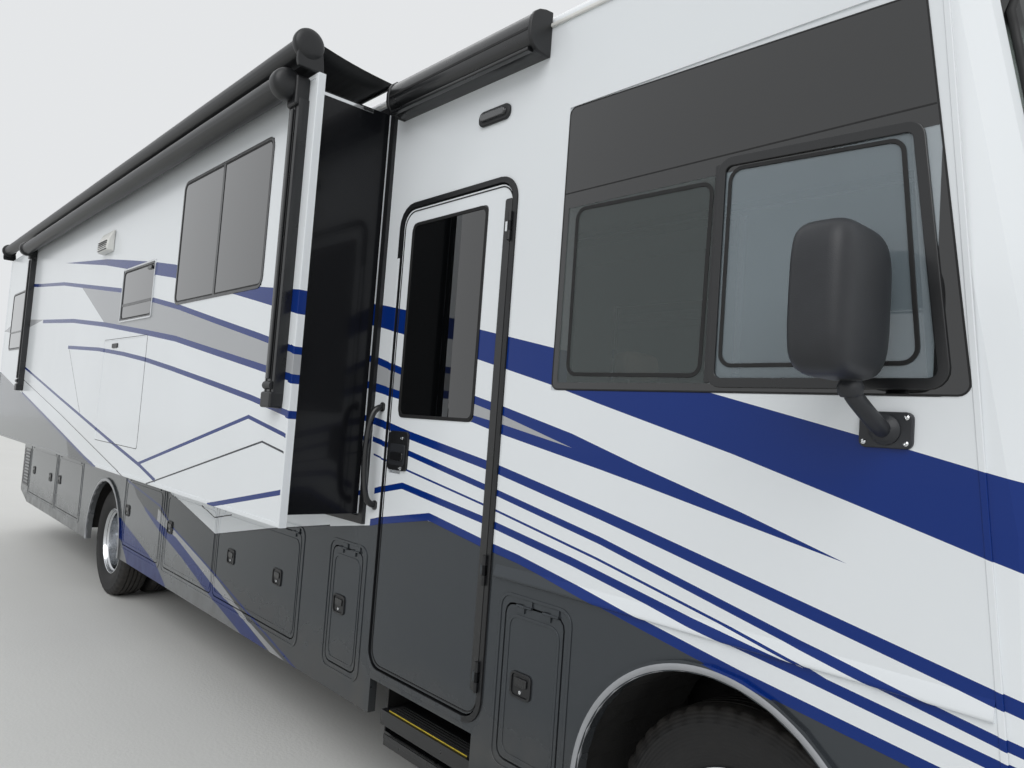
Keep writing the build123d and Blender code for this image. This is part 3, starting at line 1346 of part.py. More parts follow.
for side_name, side in SIDES:
    flipped = side < 0
    save(on_axle(tyre.part, FRONT_AXLE_X, side * FRONT_TYRE_Y, flipped), f"front_{side_name}_tyre")
    save(on_axle(front_wheel.part, FRONT_AXLE_X, side * FRONT_TYRE_Y, flipped), f"front_{side_name}_rim")
    save(on_axle(twin_wheels.part, REAR_AXLE_X, 0, flipped), f"rear_{side_name}_rims")
    with BuildPart() as rear_tyres:
        add(on_axle(tyre.part, REAR_AXLE_X, side * REAR_OUTER_Y, flipped))
        add(on_axle(tyre.part, REAR_AXLE_X, side * REAR_INNER_Y, flipped))
    save(rear_tyres.part, f"rear_{side_name}_tyres")

# Knuckles: a fork round the axle's eye, with the spindle, the kingpin and the steering arm
FORK_GAP = 0.5
PLATE_T = 26
PLATE_W = 110
PLATE_Y = KINGPIN_Y + EYE_R + 5
ARM_W = 40
ARM_T = 28
TIE_PIN_R = 12
TIE_EYE_R = 24
TIE_EYE_H = 34
FORK_LOW_Z = AXLE_Z - EYE_H / 2 - FORK_GAP - FORK_T

for side_name, side in SIDES:
    with BuildPart() as knuckle:
        for fork_z in (AXLE_Z + EYE_H / 2 + FORK_GAP, FORK_LOW_Z):
            add(bar_along((FRONT_AXLE_X, side * KINGPIN_Y, fork_z), "z", FORK_T, EYE_R, PIPE_SIDES))
            with Locations((FRONT_AXLE_X, side * KINGPIN_Y, fork_z)):
                Box(2 * EYE_R, PLATE_Y + PLATE_T / 2 - KINGPIN_Y, FORK_T,
                    align=(Align.CENTER, Align.MIN if side > 0 else Align.MAX, Align.MIN))
        with Locations((FRONT_AXLE_X, side * KINGPIN_Y, AXLE_Z)):
            Cylinder(KINGPIN_R, EYE_H + FORK_T)
        with Locations((FRONT_AXLE_X, side * (PLATE_Y + PLATE_T / 2), AXLE_Z)):
            Box(PLATE_W, PLATE_T, EYE_H + 2 * FORK_T + 2 * FORK_GAP)
        spindle_y = side * middle(PLATE_Y, FRONT_SPINDLE_END)
        with Locations(Location((FRONT_AXLE_X, spindle_y, AXLE_Z), (90, 0, 0))):
            Cylinder(SPINDLE_R, FRONT_SPINDLE_END - PLATE_Y)
        with Locations((FRONT_AXLE_X, side * KINGPIN_Y, FORK_LOW_Z)):
            Box(-TIE_X, ARM_W, ARM_T, align=(Align.MAX, Align.CENTER, Align.MIN))
        arm_end = (FRONT_AXLE_X + TIE_X, side * KINGPIN_Y, FORK_LOW_Z)
        add(bar_along(arm_end, "z", ARM_T, ARM_W / 2, PIPE_SIDES))
        with Locations((FRONT_AXLE_X + TIE_X, side * KINGPIN_Y, FORK_LOW_Z + ARM_T)):
            Cylinder(TIE_PIN_R, ARM_T + TIE_EYE_H + FORK_GAP,
                     align=(Align.CENTER, Align.CENTER, Align.MAX))
    save(knuckle.part, f"{side_name}_knuckle")

# Tie rod: keeps the two knuckles parallel
TIE_R = 16

with BuildPart() as tie_rod:
    tie_z = FORK_LOW_Z - FORK_GAP - TIE_EYE_H / 2
    tie_x = FRONT_AXLE_X + TIE_X
    add(bar_along((tie_x, -KINGPIN_Y, tie_z), "y", 2 * KINGPIN_Y, TIE_R, PIPE_SIDES))
    for name, side in SIDES:
        eye_foot = (tie_x, side * KINGPIN_Y, tie_z - TIE_EYE_H / 2)
        add(bar_along(eye_foot, "z", TIE_EYE_H, TIE_EYE_R, PIPE_SIDES))
    with Locations((tie_x, KINGPIN_Y, tie_z), (tie_x, -KINGPIN_Y, tie_z)):
        Cylinder(TIE_PIN_R + SEAT_GAP, 2 * TIE_EYE_H, mode=Mode.SUBTRACT)
save(tie_rod.part, "tie_rod")

# Bumper bar across the tail, with a receiver for a tow bar under its middle
BUMPER_LOW_Z = 500
BUMPER_H = 190
BUMPER_W = 2400
BUMPER_T = REAR_BUMPER_OUT - 5
HITCH_TUBE = 60
HITCH_TUBE_Z = 502
HITCH_TUBE_X = -5665
HITCH_PLATE_T = 12
HITCH_PLATE_TOP_Z = 900
RECEIVER_OUTER = 64
RECEIVER_BORE = 51
RECEIVER_Z = 442
RECEIVER_END_X = TAIL_X + 5
HITCH_PIN_R = 8
HITCH_PIN_IN = 64
BUMPER_BRACKET_Y = 390

with BuildPart() as rear_bumper:
    with Locations((TAIL_X, 0, BUMPER_LOW_Z)):
        Box(BUMPER_T, BUMPER_W, BUMPER_H, align=(Align.MIN, Align.CENTER, Align.MIN))
    chamfer(rear_bumper.edges().filter_by(Axis.Z).group_by(Axis.X)[0], 40)
    with Locations((HITCH_TUBE_X, 0, HITCH_TUBE_Z)):
        Box(HITCH_TUBE, 2 * (RAIL_Y + SEAT_GAP + HITCH_PLATE_T), HITCH_TUBE)
    for name, side in SIDES:
        with Locations((HITCH_TUBE_X - HITCH_TUBE / 2, side * (RAIL_Y + SEAT_GAP), HITCH_TUBE_Z - 30)):
            Box(150, HITCH_PLATE_T, HITCH_PLATE_TOP_Z - HITCH_TUBE_Z,
                align=(Align.MIN, Align.MIN if side > 0 else Align.MAX, Align.MIN))
        with Locations((HITCH_TUBE_X, side * BUMPER_BRACKET_Y, HITCH_TUBE_Z)):
            Box(HITCH_TUBE_X - TAIL_X - BUMPER_T / 2, HITCH_TUBE, HITCH_TUBE - 10,
                align=(Align.MAX, Align.CENTER, Align.CENTER))
    with Locations((RECEIVER_END_X, 0, RECEIVER_Z)):
        Box(HITCH_TUBE_X + HITCH_TUBE / 2 - RECEIVER_END_X, RECEIVER_OUTER, RECEIVER_OUTER,
            align=(Align.MIN, Align.CENTER, Align.CENTER))
        Box(2 * COACH_WIDTH, RECEIVER_BORE, RECEIVER_BORE, mode=Mode.SUBTRACT)
    with Locations(Location((RECEIVER_END_X + HITCH_PIN_IN, 0, RECEIVER_Z), (90, 0, 0))):
        Cylinder(HITCH_PIN_R, 2 * RECEIVER_OUTER, mode=Mode.SUBTRACT)
save(rear_bumper.part, "rear_bumper")

# Hand rails: the bowed handle beside the entry door and the ladder on the tail
HANDLE_X = 2832
HANDLE_Z = (1400, 1862)
HANDLE_OUT = 62
HANDLE_R = 13
HANDLE_BEND = 30
LADDER_Y = (480, 860)
LADDER_X = TAIL_X + 25
LADDER_R = 14
LADDER_Z = (980, 3420)
RUNG_R = 12
RUNG_SIDES = 6
RUNG_COUNT = 8
RUNG_PITCH = 300

with BuildPart() as hand_rails:
    with BuildLine():
        Polyline(
            (HANDLE_X, -HALF_W - SEAT_GAP, HANDLE_Z[0]),
            (HANDLE_X, -HALF_W - HANDLE_OUT + HANDLE_BEND, HANDLE_Z[0]),
            (HANDLE_X, -HALF_W - HANDLE_OUT, HANDLE_Z[0] + HANDLE_BEND),
            (HANDLE_X, -HALF_W - HANDLE_OUT, HANDLE_Z[1] - HANDLE_BEND),
            (HANDLE_X, -HALF_W - HANDLE_OUT + HANDLE_BEND, HANDLE_Z[1]),
            (HANDLE_X, -HALF_W - SEAT_GAP, HANDLE_Z[1]),
        )
    with BuildSketch(Plane.XZ.offset(HALF_W + SEAT_GAP)):
        with Locations((HANDLE_X, HANDLE_Z[0])):
            RegularPolygon(HANDLE_R, PIPE_SIDES)
    sweep(transition=Transition.RIGHT)
    for y in LADDER_Y:
        with BuildSketch(Plane.XY.offset(LADDER_Z[0])):
            with Locations((LADDER_X, y)):
                RegularPolygon(LADDER_R, RUNG_SIDES)
        extrude(amount=LADDER_Z[1] - LADDER_Z[0])
        with BuildSketch(Plane.YZ.offset(LADDER_X)):
            with Locations(*[(y, z) for z in (LADDER_Z[0] + 60, middle(*LADDER_Z), LADDER_Z[1] - 60)]):
                RegularPolygon(RUNG_R, RUNG_SIDES)
        extrude(amount=REAR_FACE_X - SEAT_GAP - LADDER_X)
    with BuildSketch(Plane.XZ.offset(-LADDER_Y[0])):
        with Locations(*[(LADDER_X, LADDER_Z[0] + 120 + rung * RUNG_PITCH) for rung in range(RUNG_COUNT)]):
            RegularPolygon(RUNG_R, RUNG_SIDES)
    extrude(amount=LADDER_Y[0] - LADDER_Y[1])
save(hand_rails.part, "hand_rails")

# Shrouds on the roof: two air conditioners and two vents. Columns: place, length, width, height.
ROOF_UNITS = [
    (2100, 1050, 700, 305),
    (-2900, 1050, 700, 305),
    (-400, 420, 420, 110),
    (-4300, 420, 420, 110),
]

with BuildPart() as roof_units:
    for unit_x, length, width, height in ROOF_UNITS:
        with BuildSketch(Plane.XY.offset(ROOF_TOP_Z + SEAT_GAP)):
            with Locations((unit_x, 0)):
                corners = Rectangle(length, width).vertices()
            chamfer(corners, 50)
        extrude(amount=height, taper=12)
save(roof_units.part, "roof_units")

# Mirrors: a plate on the wall, a bent arm and an upright head on each side
MIRROR_PLATE_X = (5170, 5310)
MIRROR_PLATE_Z = (1830, 1930)
MIRROR_PLATE_T = 16
MIRROR_HEAD = (5190, 1500, 2200)
MIRROR_HEAD_D = 150
MIRROR_HEAD_W = 230
MIRROR_HEAD_H = 370
MIRROR_ARM_R = 22
MIRROR_ARM_BEND = 60

with BuildPart() as mirrors:
    for name, side in SIDES:
        head_x, head_y, head_z = MIRROR_HEAD
        foot_x = middle(*MIRROR_PLATE_X)
        foot_y = HALF_W + SEAT_GAP
        foot_z = middle(*MIRROR_PLATE_Z)
        with Locations((foot_x, side * (foot_y + MIRROR_PLATE_T / 2), foot_z)):
            Box(MIRROR_PLATE_X[1] - MIRROR_PLATE_X[0], MIRROR_PLATE_T,
                MIRROR_PLATE_Z[1] - MIRROR_PLATE_Z[0])
        with BuildPart() as arm:
            with BuildLine():
                Polyline(
                    (foot_x, side * (foot_y + 5), foot_z),
                    (foot_x, side * (head_y - MIRROR_ARM_BEND), foot_z),
                    (head_x, side * head_y, foot_z + MIRROR_ARM_BEND),
                    (head_x, side * head_y, head_z),
                )
            with BuildSketch(Plane(origin=(foot_x, side * (foot_y + 5), foot_z), z_dir=(0, side, 0))):
                RegularPolygon(MIRROR_ARM_R, PIPE_SIDES)
            sweep(transition=Transition.RIGHT)
        add(arm.part)
        with BuildPart() as head:
            with Locations((head_x, side * head_y, head_z)):
                Box(MIRROR_HEAD_D, MIRROR_HEAD_W, MIRROR_HEAD_H)
            chamfer(head.faces().sort_by(Axis.X)[-1].edges(), 45, 60)
            chamfer(head.edges().filter_by(Axis.Z), 20)
        add(head.part)
save(mirrors.part, "mirrors")

# Dashboard on two legs, with the steering column on the driver's side
DASH_LOW_Z = 1560
DASH_PROFILE = [
    (5480, DASH_LOW_Z),
    (4980, DASH_LOW_Z),
    (4910, 1680),
    (5050, 1790),
    (5480, 1830),
]
DASH_HALF_W = 1100
DASH_LEG_Y = 520
DASH_LEG_W = 90
DASH_LEG_X = (5060, 5260)
DRIVER_Y = 690
WHEEL_CENTRE = (4790, DRIVER_Y, 1830)
WHEEL_TILT = 40
WHEEL_R = 210
WHEEL_GRIP_R = 16
WHEEL_HUB_R = 60
WHEEL_HUB_T = 40
COLUMN_R = 34
COLUMN_LENGTH = 290
# Plane of the steering wheel, square to its column
wheel_face = Plane(origin=WHEEL_CENTRE, x_dir=(0, 1, 0),
                   z_dir=Vector(0, 0, 1).rotate(Axis.Y, -WHEEL_TILT))

with BuildPart() as dashboard:
    with BuildSketch(Plane.XZ.offset(-DASH_HALF_W)):
        with BuildLine():
            Polyline(*DASH_PROFILE, close=True)
        make_face()
    extrude(amount=2 * DASH_HALF_W)
    for name, side in SIDES:
        with Locations((middle(*DASH_LEG_X), side * DASH_LEG_Y, FLOOR_TOP_Z + SEAT_GAP)):
            Box(DASH_LEG_X[1] - DASH_LEG_X[0], DASH_LEG_W, DASH_LOW_Z + 10 - FLOOR_TOP_Z,
                align=(Align.CENTER, Align.CENTER, Align.MIN))
    with BuildSketch(wheel_face.offset(-WHEEL_HUB_T / 2 - FORK_GAP)):
        Circle(COLUMN_R)
    extrude(amount=-COLUMN_LENGTH)
save(dashboard.part, "dashboard")

with BuildPart() as steering_wheel:
    with BuildSketch(wheel_face.offset(-WHEEL_HUB_T / 2)):
        Circle(WHEEL_HUB_R)
    extrude(amount=WHEEL_HUB_T)
    with BuildSketch(wheel_face.offset(-WHEEL_HUB_T / 4)):
        with PolarLocations(WHEEL_R / 2, 3, start_angle=30):
            Rectangle(WHEEL_R, 36)
    extrude(amount=WHEEL_HUB_T / 2)
    with BuildLine(wheel_face):
        ring_turns = [2 * math.pi * step / HUB_SIDES for step in range(HUB_SIDES)]
        ring_points = [(WHEEL_R * math.cos(turn), WHEEL_R * math.sin(turn)) for turn in ring_turns]
        ring_path = Polyline(*ring_points, close=True)
    with BuildSketch(Plane(origin=ring_path @ 0, x_dir=wheel_face.z_dir, z_dir=ring_path % 0)):
        RegularPolygon(WHEEL_GRIP_R, 6)
    sweep(path=ring_path, transition=Transition.RIGHT)
save(steering_wheel.part, "steering_wheel")

# Cab seats: cushion and back in one bent profile on a pedestal
SEAT_X = 4250
SEAT_W = 500
SEAT_LOW_Z = 1500
SEAT_PROFILE = [
    (4520, SEAT_LOW_Z),
    (4030, SEAT_LOW_Z),
    (3850, 2180),
    (3960, 2210),
    (4130, 1650),
    (4540, 1670),
]
SEAT_FOOT_W = 300

with BuildPart() as cab_seats:
    for name, side in SIDES:
        with BuildSketch(Plane.XZ.offset(-side * DRIVER_Y - SEAT_W / 2)):
            with BuildLine():
                Polyline(*SEAT_PROFILE, close=True)
            make_face()
        extrude(amount=SEAT_W)
        with Locations((SEAT_X, side * DRIVER_Y, FLOOR_TOP_Z + SEAT_GAP)):
            Box(SEAT_FOOT_W, SEAT_FOOT_W, SEAT_LOW_Z + 10 - FLOOR_TOP_Z,
                align=(Align.CENTER, Align.CENTER, Align.MIN))
save(cab_seats.part, "cab_seats")

# Awning case over the entry door, with a rounded front
DOOR_AWNING_X = (2840, 3880)
DOOR_AWNING_Z = (3300, 3490)
DOOR_AWNING_OUT = 118

with BuildPart() as door_awning:
    with Locations((middle(*DOOR_AWNING_X), -HALF_W - SEAT_GAP, middle(*DOOR_AWNING_Z))):
        Box(DOOR_AWNING_X[1] - DOOR_AWNING_X[0], DOOR_AWNING_OUT,
            DOOR_AWNING_Z[1] - DOOR_AWNING_Z[0],
            align=(Align.CENTER, Align.MAX, Align.CENTER))
    fillet(door_awning.edges().filter_by(Axis.X).group_by(Axis.Y)[0], 60)
save(door_awning.part, "door_awning")
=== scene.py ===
import math

import bmesh
import bpy
from mathutils import Matrix, Vector


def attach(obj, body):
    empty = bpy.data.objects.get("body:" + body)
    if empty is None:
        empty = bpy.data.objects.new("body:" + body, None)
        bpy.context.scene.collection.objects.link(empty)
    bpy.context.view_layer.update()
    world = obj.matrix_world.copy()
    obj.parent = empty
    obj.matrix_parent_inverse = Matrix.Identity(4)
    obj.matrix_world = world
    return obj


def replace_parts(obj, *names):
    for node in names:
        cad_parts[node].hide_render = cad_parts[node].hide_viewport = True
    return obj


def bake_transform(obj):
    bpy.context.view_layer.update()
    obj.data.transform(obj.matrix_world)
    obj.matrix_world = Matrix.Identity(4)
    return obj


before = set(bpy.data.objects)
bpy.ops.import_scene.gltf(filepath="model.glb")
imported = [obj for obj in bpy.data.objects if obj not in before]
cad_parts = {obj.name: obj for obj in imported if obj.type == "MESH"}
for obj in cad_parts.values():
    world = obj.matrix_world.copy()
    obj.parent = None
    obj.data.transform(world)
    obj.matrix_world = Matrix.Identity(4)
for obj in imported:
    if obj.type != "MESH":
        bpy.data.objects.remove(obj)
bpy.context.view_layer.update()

bl_info = {
    "name": "Motorhome dressing",
    "version": (1, 0, 0),
    "blender": (4, 5, 0),
    "location": "3D View > Sidebar > Motorhome",
    "description": "Paint, glass, trim, wheels and awnings for a motorhome frame",
    "category": "Object",
}

# Places that repeat the frame's driving dimensions, in metres
HALF_W = 1.2825
SLIDE_FACE = 1.7325
SLIDE_BACK = 1.6975
AXLE_Z = 0.49
FRONT_AXLE_X = 4.77
REAR_AXLE_X = -1.73
FRONT_TYRE_Y = 0.965
REAR_OUTER_Y = 1.09
REAR_INNER_Y = 0.795
SIDES = (("right", -1), ("left", 1))

# Bay doors: name, side, rear edge, front edge, middle of the latch, rear edge of the moulded surround.
# The fourth door on the right stands in the surround of the third.
BAY_LOW, BAY_HIGH = 0.56, 1.15
BAYS = (
    ("bay_door_right_1", -1, 3.845, 4.165, 3.96, 0.855, 3.845),
    ("bay_door_right_2", -1, 2.495, 2.795, 2.6, 0.861, 2.495),
    ("bay_door_right_3", -1, 0.955, 2.15, 1.217, 0.86, -0.06),
    ("bay_door_right_4", -1, -0.06, 0.935, 0.046, 0.876, None),
    ("bay_door_right_5", -1, -1.13, -0.16, -1.035, 0.864, -1.13),
    ("bay_door_right_6", -1, -3.73, -2.66, -3.613, 0.871, -3.73),
    ("bay_door_right_7", -1, -5.24, -3.81, -4.07, 0.855, -5.24),
    ("bay_door_left_1", 1, 2.45, 3.95, 3.2, 0.86, 2.45),
    ("bay_door_left_2", 1, -1.13, 0.855, -0.14, 0.86, -1.13),
    ("bay_door_left_3", 1, -5.24, -3.81, -4.525, 0.86, -5.24),
)
# Entry door opening and its window: rear, front, low, high
ENTRY = (2.89, 3.745, 0.62, 2.862)
ENTRY_CORNER = 0.11
ENTRY_WINDOW = (2.995, 3.56, 1.825, 2.76)
# Slide-outs: name, side, rear edge, front edge
SLIDES = (("right", -1, -5.1, 2.785), ("left", 1, -0.3, 3.3))
SLIDE_LOW, SLIDE_HIGH = 1.285, 3.41
# See-through part of the cab's side glass: rear, front, low, high
CAB_OPENING = (4.04, 5.345, 1.997, 2.66)

# Painted stripes as rows of (distance along the coach, height), from the rear forwards.
# A band has a top and a bottom edge. A line has one edge and a width.
BLUE_BANDS = (
    (
        ((-2.146, 3.057), (-0.65, 2.921), (-0.138, 2.855), (0.56, 2.762), (1.007, 2.693), (2.349, 2.43),
         (2.782, 2.379), (2.971, 2.344), (3.568, 2.218), (4.001, 2.13), (4.796, 1.948), (5.31, 1.83),
         (5.508, 1.782), (5.93, 1.69)),
        ((-2.146, 3.057), (-0.685, 2.875), (-0.067, 2.779), (0.666, 2.659), (1.015, 2.606), (2.0, 2.422),
         (2.355, 2.352), (2.805, 2.261), (2.989, 2.222), (3.575, 2.089), (3.995, 1.991), (4.259, 1.921),
         (4.797, 1.785), (5.166, 1.681), (5.515, 1.58), (5.93, 1.455)),
    ),
    (
        ((2.74, 2.126), (2.973, 2.068), (3.581, 1.933), (3.738, 1.9), (4.133, 1.81), (4.453, 1.718),
         (4.835, 1.617), (5.152, 1.524)),
        ((2.74, 2.09), (2.97, 2.033), (3.579, 1.899), (3.737, 1.864), (4.138, 1.758), (4.28, 1.715),
         (4.458, 1.659), (4.837, 1.585), (5.152, 1.524)),
    ),
    (
        ((2.74, 1.994), (2.982, 1.952), (3.567, 1.854), (3.735, 1.828), (4.138, 1.758), (4.458, 1.69)),
        ((2.74, 1.95), (2.98, 1.913), (3.565, 1.824), (3.734, 1.788), (4.28, 1.692), (4.458, 1.659)),
    ),
    (
        ((-0.596, 0.953), (-0.178, 0.867), (0.191, 0.821), (0.984, 0.621), (1.371, 0.548), (1.832, 0.435)),
        ((-0.596, 0.93), (-0.276, 0.836), (0.344, 0.7), (0.838, 0.569), (1.43, 0.439), (1.832, 0.34)),
    ),
    (
        ((-1.462, 0.825), (-0.19, 0.555), (0.053, 0.441)),
        ((-1.462, 0.815), (-0.913, 0.425), (0.053, 0.3)),
    ),
)
BLUE_LINES = (
    (((-3.769, 2.99), (-3.225, 2.941), (-2.098, 2.854), (-0.132, 2.623), (0.618, 2.496), (1.149, 2.41),
      (1.79, 2.288), (2.356, 2.182), (2.783, 2.098)), 0.033),
    (((-2.892, 2.541), (-1.587, 2.475), (-0.508, 2.385), (0.512, 2.281), (1.139, 2.213), (1.833, 2.11),
      (2.356, 2.033), (2.781, 1.969)), 0.036),
    (((-1.683, 2.242), (-0.643, 2.195), (0.059, 2.142), (0.574, 2.093), (1.128, 2.027), (1.851, 1.935),
      (2.35, 1.869), (2.778, 1.803)), 0.03),
    (((2.745, 1.806), (2.92, 1.78), (3.091, 1.747), (3.737, 1.645), (4.291, 1.539), (4.472, 1.502),
      (5.039, 1.381), (5.513, 1.28), (5.93, 1.18)), 0.037),
    (((2.788, 1.71), (3.104, 1.663), (3.686, 1.562), (4.299, 1.449), (5.037, 1.283), (5.516, 1.188),
      (5.93, 1.1)), 0.026),
    (((2.807, 1.636), (3.102, 1.584), (3.684, 1.492), (4.292, 1.385), (5.04, 1.232), (5.24, 1.172)), 0.009),
    (((2.841, 1.46), (3.075, 1.509), (3.68, 1.432), (4.174, 1.355), (4.68, 1.262), (5.041, 1.211),
      (5.518, 1.134), (5.93, 1.062)), 0.03),
    (((2.825, 1.304), (2.919, 1.326), (3.303, 1.396), (3.685, 1.339), (3.896, 1.314), (4.319, 1.242),
      (4.864, 1.148), (5.365, 1.078), (5.93, 0.999)), 0.034),
    (((-3.6, 2.08), (-1.787, 1.783), (0.042, 1.489), (0.68, 1.391), (1.022, 1.323)), 0.024),
    (((-3.6, 1.809), (-1.65, 1.488), (-0.723, 1.333), (-0.367, 1.284)), 0.02),
    (((0.631, 1.394), (2.34, 1.774), (2.776, 1.703)), 0.02),
    (((1.914, 1.281), (2.773, 1.446)), 0.025),
    (((-1.15, 1.117), (-0.218, 1.001), (0.074, 0.887), (0.963, 0.705), (1.603, 0.56), (2.215, 0.422)), 0.014),
)
DARK_LINES = (
    (((-3.6, 1.95), (-1.722, 1.644), (0.393, 1.275)), 0.007),
    (((0.855, 1.285), (1.022, 1.323), (2.524, 1.661), (2.771, 1.626)), 0.01),
    (((-1.65, 2.24), (-1.027, 1.678)), 0.01),
    (((0.083, 1.114), (0.92, 0.957), (1.751, 1.116), (2.442, 1.235)), 0.008),
    (((0.634, 1.115), (0.886, 1.064), (1.166, 1.119)), 0.008),
)
SILVER_BANDS = (
    (
        ((2.74, 2.09), (2.97, 2.033), (3.579, 1.899), (3.737, 1.864), (4.138, 1.758)),
        ((2.74, 1.994), (2.982, 1.952), (3.567, 1.854), (3.735, 1.828), (4.138, 1.758)),
    ),
    (
        ((-1.4, 2.766), (-0.132, 2.623), (0.618, 2.496), (1.149, 2.41), (1.79, 2.288), (2.783, 2.098)),
        ((-1.4, 2.76), (-0.508, 2.385), (0.512, 2.281), (1.139, 2.213), (1.833, 2.11), (2.783, 1.969)),
    ),
    (
        ((-5.1, 2.542), (-4.3, 2.64), (-2.9, 2.56)),
        ((-5.1, 2.538), (-4.3, 2.47), (-2.9, 2.555)),
    ),
    (
        ((-0.265, 0.977), (0.178, 0.869), (1.007, 0.684), (1.544, 0.533), (2.051, 0.431)),
        ((-0.265, 0.885), (0.191, 0.821), (0.984, 0.621), (1.371, 0.548), (2.051, 0.39)),
    ),
)
# Above this edge the body is white, below it grey. Below the second edge the grey is the pale one.
GREY_TOP = (
    (-5.95, 2.16), (-5.1, 2.04), (-3.6, 1.8), (-1.65, 1.478), (-0.723, 1.323), (-0.367, 1.284),
    (-0.05, 1.15), (0.083, 1.11), (0.92, 0.953), (1.751, 1.112), (2.442, 1.231), (2.825, 1.29),
    (2.919, 1.312), (3.303, 1.381), (3.685, 1.325), (3.896, 1.299), (4.319, 1.225), (4.864, 1.131),
    (5.365, 1.062), (5.93, 0.984),
)
PALE_TOP = (
    (-5.95, 2.4), (-3.6, 2.1), (-1.65, 1.7), (-1.2, 1.25), (-0.825, 1.009), (-0.276, 0.836),
    (0.344, 0.7), (0.838, 0.569), (1.43, 0.439), (1.8, 0.3), (5.93, 0.2),
)


# Nodes, colours and finishes


def linear(value):
    """Colour of a hex code as linear red, green, blue and alpha."""
    parts = [int(value[i:i + 2], 16) / 255 for i in (1, 3, 5)]
    return [c / 12.92 if c <= 0.04045 else ((c + 0.055) / 1.055) ** 2.4 for c in parts] + [1.0]


def place(tree, kind, inputs=None, **settings):
    """Adds one node with its own settings, and with values or links on its inputs."""
    item = tree.nodes.new(kind)
    for name, value in settings.items():
        setattr(item, name, value)
    for key, value in (inputs or {}).items():
        if isinstance(value, bpy.types.NodeSocket):
            tree.links.new(value, item.inputs[key])
        else:
            item.inputs[key].default_value = value
    return item


def finish(name, base, roughness, metallic=0.0, coat=0.0, coat_roughness=0.05, ior=1.5):
    """A principled material with its uniform values set, its tree and its shader."""
    material = bpy.data.materials.new(name)
    material.use_nodes = True
    tree = material.node_tree
    shader = tree.nodes["Principled BSDF"]
    for key, value in (("Base Color", linear(base)), ("Roughness", roughness), ("Metallic", metallic),
                       ("Coat Weight", coat), ("Coat Roughness", coat_roughness), ("IOR", ior)):
        shader.inputs[key].default_value = value
    material.diffuse_color = linear(base)
    return material, tree, shader


def place_of(tree):
    """Position on the piece, in metres: as one vector and as three separate numbers."""
    where = place(tree, "ShaderNodeTexCoord").outputs["Object"]
    return where, place(tree, "ShaderNodeSeparateXYZ", {0: where}).outputs


def math_node(tree, operation, first, second=0.0, third=0.0):
    """Result of one sum on numbers or sockets."""
    return place(tree, "ShaderNodeMath", {0: first, 1: second, 2: third}, operation=operation).outputs[0]


def ranged(tree, value, low, high, to_low, to_high):
    """Value carried from one range to another and held at its ends."""
    return place(tree, "ShaderNodeMapRange", {0: value, 1: low, 2: high, 3: to_low, 4: to_high}).outputs[0]


def noise(tree, where, size, detail, stretch=None):
    """Soft random values of a real size in metres, drawn out where a stretch is given."""
    if stretch:
        where = place(tree, "ShaderNodeMapping", {"Vector": where, "Scale": stretch}).outputs[0]
    cloud = place(tree, "ShaderNodeTexNoise", {"Vector": where, "Scale": 1 / size, "Detail": detail})
    return cloud.outputs[0]


def patch(tree, where, size, detail, low, high):
    """Soft random patches of a real size in metres, as a number from low to high."""
    return ranged(tree, noise(tree, where, size, detail), 0.3, 0.7, low, high)


def ripple(tree, value, pitch):
    """Even wave with a real pitch in metres."""
    return math_node(tree, "SINE", math_node(tree, "MULTIPLY", value, 2 * math.pi / pitch))


def axle_distance(tree, along, height):
    """Distance from the wheel's own axle."""
    squares = [math_node(tree, "POWER", value, 2.0) for value in (along, height)]
    return math_node(tree, "SQRT", math_node(tree, "ADD", *squares))


def shaded(tree, shader, base, variation, amount):
    """Lightens and darkens a colour by a small amount where the patches say."""
    value = math_node(tree, "MULTIPLY_ADD", variation, amount, 1 - amount / 2)
    colour = place(tree, "ShaderNodeHueSaturation", {"Color": base, "Value": value})
    tree.links.new(colour.outputs[0], shader.inputs["Base Color"])


def bumped(tree, shader, height, distance, strength=1.0):
    """Gives the shader a bump of a real depth in metres."""
    bump = place(tree, "ShaderNodeBump", {"Height": height, "Distance": distance, "Strength": strength})
    tree.links.new(bump.outputs[0], shader.inputs["Normal"])


def edge_height(tree, along, points):
    """Height of a painted edge at each distance along the coach."""
    start, end = points[0][0], points[-1][0]
    heights = [z for x, z in points]
    low, high = min(heights), max(heights)
    item = place(tree, "ShaderNodeFloatCurve", {"Value": ranged(tree, along, start, end, 0.0, 1.0)})
    curve = item.mapping.curves[0]
    places = [((x - start) / (end - start), (z - low) / (high - low)) for x, z in points]
    curve.points[0].location = places[0]
    curve.points[1].location = places[-1]
    for x, z in places[1:-1]:
        curve.points.new(x, z)
    for point in curve.points:
        point.handle_type = "VECTOR"
    item.mapping.update()
    return math_node(tree, "MULTIPLY_ADD", item.outputs[0], high - low, low)


def between(tree, value, low, high):
    """One between two limits, and nothing past them."""
    return math_node(tree, "COMPARE", value, (low + high) / 2, (high - low) / 2)


def combined(tree, operation, values):
    """One operation carried through a row of values."""
    total = values[0]
    for value in values[1:]:
        total = math_node(tree, operation, total, value)
    return total


def any_of(tree, masks):
    """One where any mask is one."""
    return combined(tree, "MAXIMUM", masks)


def all_of(tree, masks):
    """One where every mask is one."""
    return combined(tree, "MULTIPLY", masks)


def line_mask(tree, along, height, points, width):
    """One on a painted line of an even width."""
    on_line = math_node(tree, "COMPARE", height, edge_height(tree, along, points), width / 2)
    return all_of(tree, [on_line, between(tree, along, points[0][0], points[-1][0])])


def band_mask(tree, along, height, top, bottom):
    """One between two painted edges."""
    return all_of(tree, [math_node(tree, "LESS_THAN", height, edge_height(tree, along, top)),
                         math_node(tree, "GREATER_THAN", height, edge_height(tree, along, bottom)),
                         between(tree, along, top[0][0], top[-1][0])])


